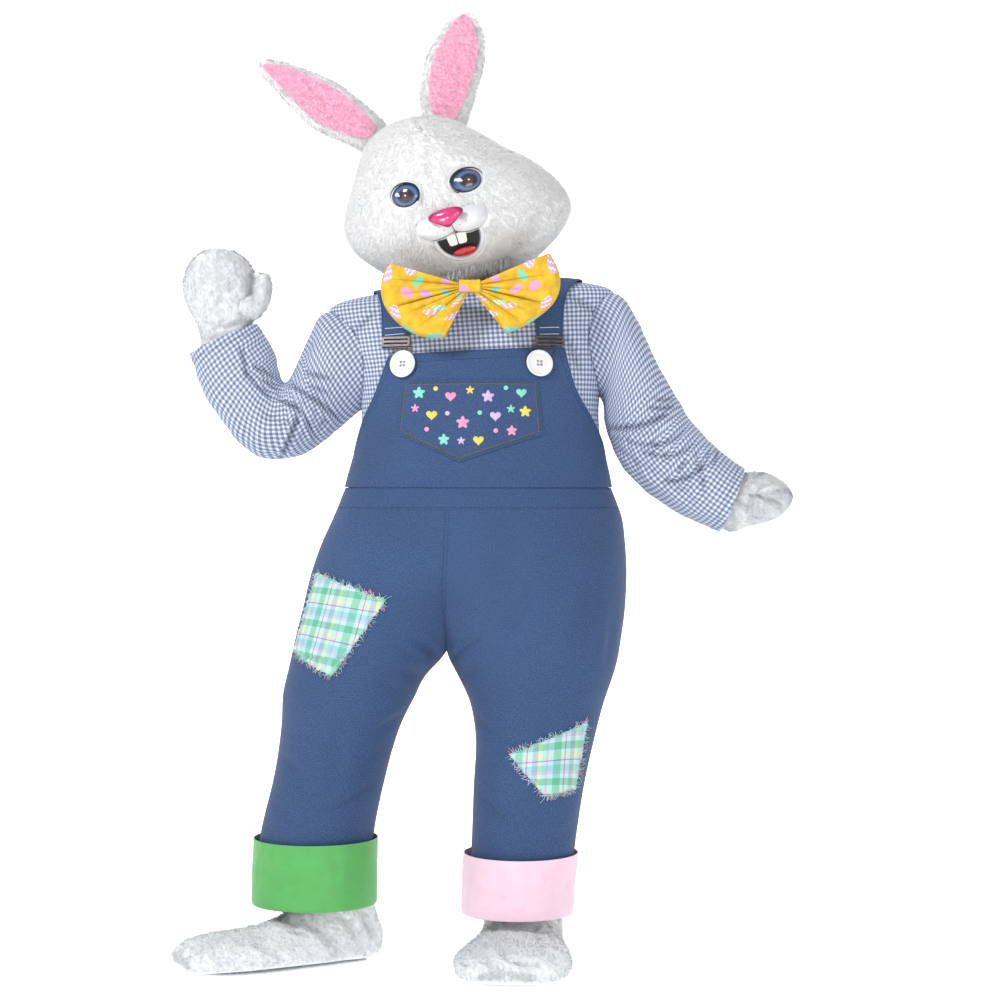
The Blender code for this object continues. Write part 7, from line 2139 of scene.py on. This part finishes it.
# The folds that show in front on each foot, from the ankle down
FOOT_FOLDS = {
    "left": (
        FrontFold(-0.340, 0.102, -0.250, 0.022, 0.006, 0.0090, 0.0065), FrontFold(-0.270, 0.108, -0.214, 0.038, 0.006, 0.0080, 0.0065),
        FrontFold(-0.224, 0.114, -0.196, 0.048, 0.004, 0.0070, 0.0060), FrontFold(-0.460, 0.088, -0.360, 0.022, 0.010, 0.0110, 0.0050),
        FrontFold(-0.416, 0.108, -0.320, 0.068, 0.006, 0.0090, 0.0048), FrontFold(-0.545, 0.068, -0.590, 0.006, 0.006, 0.0040, 0.0026),
        FrontFold(-0.500, 0.080, -0.470, 0.020, -0.008, 0.0120, 0.0036),
    ),
    "right": (
        FrontFold(0.046, 0.088, 0.142, 0.048, -0.010, 0.0100, 0.0062), FrontFold(0.122, 0.098, 0.182, 0.048, -0.006, 0.0080, 0.0062),
        FrontFold(0.158, 0.108, 0.166, 0.058, 0.003, 0.0060, 0.0055), FrontFold(0.002, 0.078, 0.062, 0.018, 0.008, 0.0120, 0.0042),
        FrontFold(0.092, 0.038, 0.182, 0.008, -0.006, 0.0110, 0.0036),
    ),
}
# Foot creases: across runs round from the top of the foot
FOOT_CREASES = (
    Crease(0.22, 0.20, 100, 0.110, 0.007, 0.0050, 0.06), Crease(0.30, 0.26, 80, 0.090, 0.007, 0.0045, -0.06),
    Crease(0.14, 0.34, 60, 0.120, 0.008, 0.0040, 0.08), Crease(0.26, 0.50, 24, 0.110, 0.008, 0.0045, 0.08),
    Crease(0.20, 0.64, 158, 0.100, 0.008, 0.0040, -0.06), Crease(0.78, 0.22, 85, 0.110, 0.007, 0.0050, -0.05),
    Crease(0.70, 0.30, 105, 0.090, 0.007, 0.0045, 0.06), Crease(0.84, 0.48, 150, 0.110, 0.008, 0.0045, -0.07),
    Crease(0.76, 0.62, 30, 0.100, 0.008, 0.0040, 0.06), Crease(0.02, 0.40, 90, 0.060, 0.008, 0.0030, 0.05),
)
TOE_SEAM = 0.86


def make_feet():
    columns, rows = FINE["foot"]
    for side, stand in FEET.items():
        spin = Matrix.Rotation(math.radians(stand.heading), 4, "Z")
        place = (Matrix.Translation((stand.heel_x, stand.heel_y, -SHOULDER_HEIGHT)) @ spin
                 @ Matrix.Diagonal((stand.length, stand.width, 1.0, 1.0)))
        us = np.arange(columns) * 360.0 / columns
        vs = np.linspace(0.0, 1.0, rows)
        local = section_at(FOOT, us[None, :] + 0 * vs[:, None], vs[:, None] + 0 * us[None, :])
        # The lower half stands fuller than an oval, down to the sole's edge
        low, high = local[..., 2].min(axis=1, keepdims=True), local[..., 2].max(axis=1, keepdims=True)
        share = np.clip((local[..., 2] - low) / (high - low), 0.02, 0.5)
        fuller = np.sqrt((1 - (1 - 2 * share) ** 8) / (1 - (1 - 2 * share) ** 2))
        middle = local[..., 1].mean(axis=1, keepdims=True)
        local[..., 1] = middle + (local[..., 1] - middle) * np.where(share < 0.5, np.minimum(fuller, 1.9), 1.0)
        local[..., 2] = np.maximum(local[..., 2] + SOLE + FIT_GAP, SOLE + FIT_GAP)
        surface = moved(local, place)
        floor = SOLE + FIT_GAP - SHOULDER_HEIGHT
        normals = grid_normals(surface, True)
        above = np.clip((surface[..., 2] - floor - 0.012) / 0.03, 0, 1)
        fade = fade_ends(surface, 0.03, 0.03) * above
        surface = creased(surface, normals, FOOT_CREASES, closed=True, fade=fade)
        surface = folded(surface, normals, FOOT_FOLDS[side], fade)
        seam = 0.0022 * np.exp(-((vs - TOE_SEAM) / 0.010) ** 2)[:, None] * above
        surface = surface - normals * seam[..., None]
        lower = np.clip((surface[..., 2] - floor) / 0.012, 0.25, 1)
        outer = surface - normals * (PILE * lower)[..., None]
        inner = surface - normals * 0.0070
        outer[..., 2] = np.maximum(outer[..., 2], floor)
        inner[..., 2] = np.maximum(inner[..., 2], floor + 0.0025)
        end = outer[-1].mean(axis=0)
        ahead = unit(end - outer[-4].mean(axis=0))
        inner[-1] = end + (inner[-1] - end) * 0.5 - ahead * 0.003
        foot = shell("foot_%s_plush" % side, outer, inner, LOOKS["short"], closed=True,
                     tips=(end + ahead * 0.001, end - ahead * 0.003))
        finished(foot, ["foot_%s_upper" % side])
        upright = grid_normals(outer, True)
        spots, out, down = scatter(outer, upright, LOCKS["foot"], lambda s: s[:, 2] > floor + 0.004, seed=91)
        # The toe's blunt end has pile too
        share = np.sqrt(np.random.default_rng(93).random((500, 1)))
        pick = np.random.default_rng(94).integers(0, columns, 500)
        cap = end + (outer[-1, pick] - end) * share + ahead * 0.001
        cap_out = unit(ahead * (1.2 - share) + upright[-1, pick] * share)
        spots, out, down = (np.concatenate(pair) for pair in ((spots, cap), (out, cap_out), (down, cap_out * 0 - UP)))
        held = out[:, 2] > -0.55
        fur = pile("foot_%s_pile" % side, spots[held], out[held], unit(down[held] * 0.6 + np.array((0, 0, -1.0))),
                   BODY_PILE, 0.60, LOOKS["short"], 92)
        lowest = floor - 0.0005
        table = np.zeros(len(fur.data.vertices) * 3)
        fur.data.vertices.foreach_get("co", table)
        table = table.reshape(-1, 3)
        table[:, 2] = np.maximum(table[:, 2], lowest)
        fur.data.vertices.foreach_set("co", table.ravel())
        finished(fur, [])
        declare_cloth(outer, True)
        make_sole(side, place)


# The sole's outline: how far along from the heel, and half its width there
SOLE_OUTLINE = ((0.020, 0.030), (0.026, 0.052), (0.070, 0.062), (0.130, 0.072), (0.210, 0.084), (0.290, 0.092),
                (0.350, 0.089), (0.400, 0.072), (0.424, 0.048), (0.430, 0.020))
DOT_PITCH = 0.021
DOT_RADIUS = 0.0022


def make_sole(side, place):
    along = np.array([span[0] for span in SOLE_OUTLINE])
    half = np.array([span[1] for span in SOLE_OUTLINE])
    fine = np.linspace(0, len(along) - 1, 60)
    a = np.interp(fine, np.arange(len(along)), along)
    b = np.interp(fine, np.arange(len(along)), half)
    ring = np.concatenate((np.stack((a, b), axis=-1), np.stack((a[::-1], -b[::-1]), axis=-1)))
    layers = []
    for rise, shrink in ((0.0002, 0.86), (0.0010, 0.88), (0.0024, 0.88), (SOLE, 0.87)):
        middle = np.array((0.225, 0.0))
        flat = middle + (ring - middle) * shrink
        layers.append(np.concatenate((flat, np.full((len(flat), 1), rise)), axis=1))
    grid = moved(np.stack(layers), place)
    sole = closed_form("foot_%s_sole_plate" % side, grid, 0.0, LOOKS["sole"])
    finished(sole, ["foot_%s_sole" % side])
    inner = np.array((0.225, 0.0)) + (ring - np.array((0.225, 0.0))) * 0.96
    steps = np.concatenate(([0], np.cumsum(np.linalg.norm(np.diff(inner, axis=0), axis=1))))
    marks = np.arange(0, steps[-1], DOT_PITCH)
    spots = np.stack([np.interp(marks, steps, inner[:, k]) for k in (0, 1)], axis=-1)
    edge = np.array((0.225, 0.0)) + (spots - np.array((0.225, 0.0))) * 0.88
    balls = []
    for spot in edge:
        balls.append(moved(ball(DOT_RADIUS, 0.8) + np.array((*spot, 0.0016)), place))
    verts, faces = join_balls(balls)
    dots = new_mesh("foot_%s_dots" % side, verts, faces, LOOKS["dots"])
    finished(dots, [])
    dots.parent = sole


BALL_AROUND = 10
BALL_UP = 6


def ball(radius, squash=1.0):
    turn = np.arange(BALL_AROUND) * 2 * math.pi / BALL_AROUND
    rise = np.linspace(-0.96, 0.96, BALL_UP)[:, None]
    reach = np.sqrt(1 - rise**2)
    grid = np.stack((reach * np.cos(turn), reach * np.sin(turn), rise * squash + 0 * turn), axis=-1)
    return grid * radius


def join_balls(balls):
    verts, faces = [], []
    count = BALL_AROUND * BALL_UP
    i = np.arange(BALL_AROUND)
    n = (i + 1) % BALL_AROUND
    end = count - BALL_AROUND
    for k, grid in enumerate(balls):
        start = k * (count + 2)
        verts += [grid.reshape(-1, 3), grid[[0, -1]].mean(axis=1)]
        faces.append(grid_faces(BALL_UP, BALL_AROUND, True, False, start))
        faces.append(np.stack((n, i, np.full(len(i), count)), axis=-1) + start)
        faces.append(np.stack((end + i, end + n, np.full(len(i), count + 1)), axis=-1) + start)
    return np.concatenate(verts), faces


# The face

def blob(name, feature, look, around=64, up=32, facing=0.5, taper=0.0, grow=0.0, shape=None):
    """A rounded form on the face, with its flat places across and up as UVs."""
    turn = np.arange(around) * 2 * math.pi / around
    rise = np.sin(np.linspace(-1.0, 1.0, up) * math.pi / 2 * 0.985)[:, None]
    reach = np.sqrt(1 - rise**2)
    x = reach * np.cos(turn)
    z = reach * np.sin(turn)
    y = -rise + 0 * turn
    x = x * (1.0 + taper * z)
    if shape is not None:
        x, y, z = shape(x, y, z)
    grid = np.stack((x * (feature.wide + grow), y * (feature.deep + grow), z * (feature.tall + grow)), axis=-1)
    grid = moved(grid, face_spot(feature, facing))
    made = closed_form(name, grid, 0.03, look)
    layer = made.data.uv_layers.new(name="cloth")
    flat = np.concatenate((np.stack((x, z), axis=-1).reshape(-1, 2), np.zeros((2, 2))))
    loops = np.zeros(len(made.data.loops), dtype=np.int32)
    made.data.loops.foreach_get("vertex_index", loops)
    layer.data.foreach_set("uv", flat[loops].astype(np.float32).ravel())
    return made


def ring_path(centre, wide, tall, count, arc=(0.0, 360.0), roll=0.0, lift=0.0005):
    turn = np.radians(np.linspace(arc[0], arc[1], count))
    lean = math.radians(roll)
    a, b = wide * np.cos(turn), tall * np.sin(turn)
    side = centre[0] + a * math.cos(lean) - b * math.sin(lean)
    up = centre[1] + a * math.sin(lean) + b * math.cos(lean)
    return face_surface(side, up, lift)


def make_eyes():
    for side, eye in EYES.items():
        dome = blob("eye_%s_dome" % side, eye, LOOKS["eye"], facing=1.0)
        finished(dome, ["eye_" + side])
        path, _ = ring_path((eye.side, eye.up), eye.wide + 0.0012, eye.tall + 0.0012, 73, roll=-eye.roll, lift=0.0004)
        lid = tubes("lid_%s_rim" % side, [path], EYE_RIM * 0.66, LOOKS["gloss"], 12)
        finished(lid, ["lid_" + side])
        over, out = ring_path((eye.side, eye.up), eye.wide - 0.0014, eye.tall - 0.0014, 50, (8.0, 172.0),
                              roll=-eye.roll, lift=0.0036)
        lash = tubes("lash_%s" % side, [over], 0.0015, LOOKS["black"], 6, taper=lambda t: 0.35 + np.sin(t * math.pi) * 0.8)
        finished(lash, [])
        # A short painted point at the eye's lower corner, towards the nose
        arc = (318.0, 350.0) if side == "left" else (196.0, 232.0)
        low, _ = ring_path((eye.side, eye.up), eye.wide + 0.001, eye.tall + 0.001, 14, arc, roll=-eye.roll, lift=0.0034)
        if side == "right":
            low = low[::-1]
        reach = low[-1] + (low[-1] - low[-4]) * 0.9
        point = tubes("lash_%s_corner" % side, [np.concatenate((low, [reach]))], 0.0012, LOOKS["black"], 6,
                      taper=lambda t: 1.0 - t * 0.85)
        finished(point, [])


def make_muzzle():
    forms = [blob("lobe_%d" % k, lobe, None, 48, 24) for k, lobe in enumerate(LOBES)]
    with bpy.context.temp_override(active_object=forms[0], selected_editable_objects=forms, object=forms[0]):
        bpy.ops.object.join()
    muzzle = forms[0]
    muzzle.name = "muzzle_form"
    muzzle.data.name = "muzzle_form"
    step = muzzle.modifiers.new("skin", "REMESH")
    step.mode = "VOXEL"
    step.voxel_size = 0.0018
    soften = muzzle.modifiers.new("soften", "SMOOTH")
    soften.iterations = 8
    bpy.context.view_layer.update()
    mesh = bpy.data.meshes.new_from_object(muzzle.evaluated_get(bpy.context.evaluated_depsgraph_get()))
    muzzle.modifiers.clear()
    muzzle.data = mesh
    core = head_core(-0.0080)
    trimmed(muzzle, core)
    drop(core)
    muzzle.data.materials.clear()
    muzzle.data.materials.append(LOOKS["gloss"])
    muzzle.data.shade_smooth()
    finished(muzzle, ["muzzle"])
    lip, _ = ring_path((MOUTH.side, MOUTH.up), MOUTH.wide, MOUTH.tall, 80, LIP_ARC)
    rim = tubes("muzzle_lip", [lip], LIP_RADIUS, LOOKS["gloss"], 16, taper=lambda t: 0.55 + 0.45 * np.sin(t * math.pi) ** 0.4)
    finished(rim, ["muzzle"])
    return muzzle


def head_core(lift):
    us = np.arange(96) * 3.75
    vs = np.linspace(0.0, 1.0, 60)
    grid = head_at(us[None, :] + 0 * vs[:, None], vs[:, None] + 0 * us[None, :])
    return closed_form("head_core", grid + grid_normals(grid, True) * lift, 0.05)


def cast(tree, side, up, lift):
    """Places on the muzzle straight ahead of sideways and up of the face frame."""
    found = []
    ahead = (FACE_FRAME.to_3x3() @ Vector((0, 1, 0))).normalized()
    for s, u in zip(side, up):
        hit, normal, _, _ = tree.ray_cast(FACE_FRAME @ Vector((s, -0.6, u)), ahead)
        if hit is not None:
            found.append(hit + normal.normalized() * lift)
    return found


def make_face():
    from mathutils.bvhtree import BVHTree
    make_eyes()
    muzzle = make_muzzle()
    tree = BVHTree.FromPolygons([v.co for v in muzzle.data.vertices], [p.vertices[:] for p in muzzle.data.polygons])
    nose = blob("nose_form", NOSE, LOOKS["nose"], taper=NOSE_TAPER, facing=0.3, shape=nose_shape)
    finished(nose, ["nose"])
    line = cast(tree, np.linspace(0.0150, 0.0140, 14), np.linspace(-0.056, -0.0775, 14), 0.0002)
    corner = [(s, lip_line(s)) for s in np.linspace(-0.052, 0.074, 60)]
    upper = cast(tree, [c[0] for c in corner], [c[1] for c in corner], 0.0002)
    lines = tubes("muzzle_lines", [line, upper], 0.0008, LOOKS["black"], 6)
    finished(lines, [])
    dots = []
    for s, u in WHISKER_SPOTS:
        for hit in cast(tree, [s], [u], 0.0):
            dots.append(ball(0.0011) + np.array(hit))
    verts, faces = join_balls(dots)
    freckles = new_mesh("muzzle_dots", verts, faces, LOOKS["grey"])
    finished(freckles, [])
    make_mouth()


def lip_line(s):
    """How high the upper lip runs, along the lower side of the two lobes."""
    lobe = LOBES[0] if s < LIP_MIDDLE else LOBES[1]
    reach = min(abs(s - lobe.side) / lobe.wide, 1.0)
    return lobe.up - lobe.tall * LIP_SHARE * math.sqrt(1 - reach**2)


LIP_MIDDLE = 0.0140
LIP_SHARE = 0.90


WHISKER_SPOTS = ((-0.020, -0.0615), (-0.029, -0.056), (-0.017, -0.0690), (0.034, -0.0560), (0.043, -0.0635),
                 (0.029, -0.0665), (-0.004, -0.0690))


def nose_shape(x, y, z):
    """Flat across the top, drawn to a soft point below."""
    low = np.clip(-z, 0, 1)
    return x * (1 - 0.30 * low**1.5), y, z * (1 + 0.10 * low) - 0.05


def make_mouth():
    columns, rows = 72, 24
    turn = np.radians(np.linspace(188.0, 352.0, columns))[None, :]
    share = np.linspace(0.0, 1.0, rows)[:, None]
    edge_x = (MOUTH.wide - LIP_RADIUS - 0.0008) * np.cos(turn)
    edge_z = (MOUTH.tall - LIP_RADIUS - 0.0008) * np.sin(turn)
    side = MOUTH.side + edge_x + 0 * share
    up = MOUTH.up + 0.010 + (edge_z - 0.010) * share
    grids = [face_surface(side, up, lift)[0] for lift in (0.0022, 0.0008)]
    lining = shell("mouth_mesh", grids[0], grids[1], LOOKS["mouth"])
    finished(lining, ["mouth_lining"])
    declare_cloth(grids[0])
    tongue = blob("tongue_form", TONGUE, LOOKS["tongue"], facing=1.0, shape=tongue_shape)
    finished(tongue, ["tongue"])
    frame = face_spot(TEETH)
    verts, faces = [], []
    for k, (lean, middle) in enumerate(((-1, -0.0104), (1, 0.0104))):
        rows_z = np.linspace(0.0, 1.0, 12)
        around = np.arange(40) * 2 * math.pi / 40
        power = 0.35
        for j, t in enumerate(rows_z):
            half = (0.0103 - 0.0016 * t) * (1.0 if t < 0.85 else 1.0 - (t - 0.85) * 1.6)
            deep = 0.0040 * (1.0 if t < 0.85 else 1.0 - (t - 0.85) * 3.0)
            x = middle - lean * 0.0014 * t + half * np.sign(np.cos(around)) * np.abs(np.cos(around)) ** power
            y = deep * np.sign(np.sin(around)) * np.abs(np.sin(around)) ** power
            verts.append(np.stack((x, y, np.full(40, 0.013 - 0.0230 * t)), axis=-1))
        verts.append(np.array(((middle, 0, 0.013), (middle - lean * 0.0014, 0, -0.0102))))
        start = k * (12 * 40 + 2)
        i = np.arange(40)
        n = (i + 1) % 40
        faces.append(grid_faces(12, 40, True, False, start))
        faces.append(np.stack((n, i, np.full(40, 480)), axis=-1) + start)
        faces.append(np.stack((440 + i, 440 + n, np.full(40, 481)), axis=-1) + start)
    teeth = new_mesh("teeth_pair", moved(np.concatenate(verts), frame), faces, LOOKS["teeth"])
    finished(teeth, ["teeth"])
    gap = [Vector(moved(np.array((0.0, -0.0043, z)), frame)) for z in np.linspace(0.012, -0.0098, 12)]
    line = tubes("teeth_line", [gap], 0.0006, LOOKS["black"], 6)
    finished(line, [])


def tongue_shape(x, y, z):
    """A groove along the middle and a lifted near edge."""
    return x, y * (1 - 0.25 * np.exp(-(x / 0.22) ** 2)), z


# The stage

def make_stage():
    # A paper sweep: flat under the object, then curved up into a bright back wall
    turn = np.linspace(0.0, math.pi / 2, 24)
    run = [(-SWEEP_HALF, 0.0)] + [(SWEEP_START + SWEEP_RADIUS * math.sin(t), SWEEP_RADIUS * (1 - math.cos(t)))
                                  for t in turn] + [(SWEEP_START + SWEEP_RADIUS, SWEEP_TOP)]
    verts = np.array([(side * SWEEP_HALF, y, z) for y, z in run for side in (-1, 1)])
    floor = new_mesh("paper_sweep", verts, [grid_faces(len(run), 2, False)])
    floor.location = (0.0, 0.0, -SHOULDER_HEIGHT - 0.0005)
    g = Graph("white_paper", roughness=0.95)
    g.colour(g.ramp(g.noise(g.space(), 2.0), ((0.3, 0.88), (0.7, 0.90))))
    away = g.add("SeparateXYZ", {0: g.add("TexCoord", {}).outputs["Object"]}).outputs[1]
    g.put(g.surface, "Emission Color", (1.0, 1.0, 1.0, 1.0))
    g.put(g.surface, "Emission Strength", g.add("MapRange", {0: away, 1: 0.3, 2: 3.0, 3: 0.42, 4: 1.0}).outputs[0])
    floor.data.materials.append(g.material)
    world = bpy.data.worlds.new("studio")
    bpy.context.scene.world = world
    world.use_nodes = True
    back = world.node_tree.nodes["Background"]
    back.inputs[0].default_value = (1.0, 1.0, 1.0, 1.0)
    back.inputs[1].default_value = WORLD_LIGHT
    for name, place, power, size in LAMPS:
        light = bpy.data.lights.new(name, "AREA")
        light.energy = power
        light.size = size
        lamp = bpy.data.objects.new(name, light)
        lamp.location = place
        aim = Vector((0.0, 0.0, -0.4)) - Vector(place)
        lamp.rotation_euler = aim.to_track_quat("-Z", "Y").to_euler()
        bpy.context.scene.collection.objects.link(lamp)


WORLD_LIGHT = 0.56
LAMPS = (("key", (-2.6, -3.0, 2.6), 135.0, 1.0), ("fill", (2.2, -3.6, -0.9), 48.0, 2.0), ("rim", (1.5, 3.0, 2.5), 30.0, 2.0))
SWEEP_HALF = 9.0
SWEEP_START = 3.0
SWEEP_RADIUS = 4.0
SWEEP_TOP = 9.0
CAMERA_PLACE = (0.0615, -4.8, -0.43)
CAMERA_LENS = 84.3


def make_camera():
    lens = bpy.data.cameras.new("camera")
    lens.lens = CAMERA_LENS
    lens.sensor_width = 36.0
    lens.clip_end = 60.0
    camera = bpy.data.objects.new("camera", lens)
    camera.location = CAMERA_PLACE
    camera.rotation_euler = (math.radians(90.0), 0.0, 0.0)
    bpy.context.scene.collection.objects.link(camera)
    bpy.context.scene.camera = camera
    bpy.context.scene.view_settings.view_transform = "Standard"


def main():
    make_camera()
    make_stage()
    make_head()
    make_ears()
    make_face()
    make_bow()
    make_shirt()
    make_trousers()
    make_cuffs()
    make_bibs()
    make_straps()
    make_pocket()
    make_patches()
    make_hardware()
    make_mitts()
    make_feet()


main()
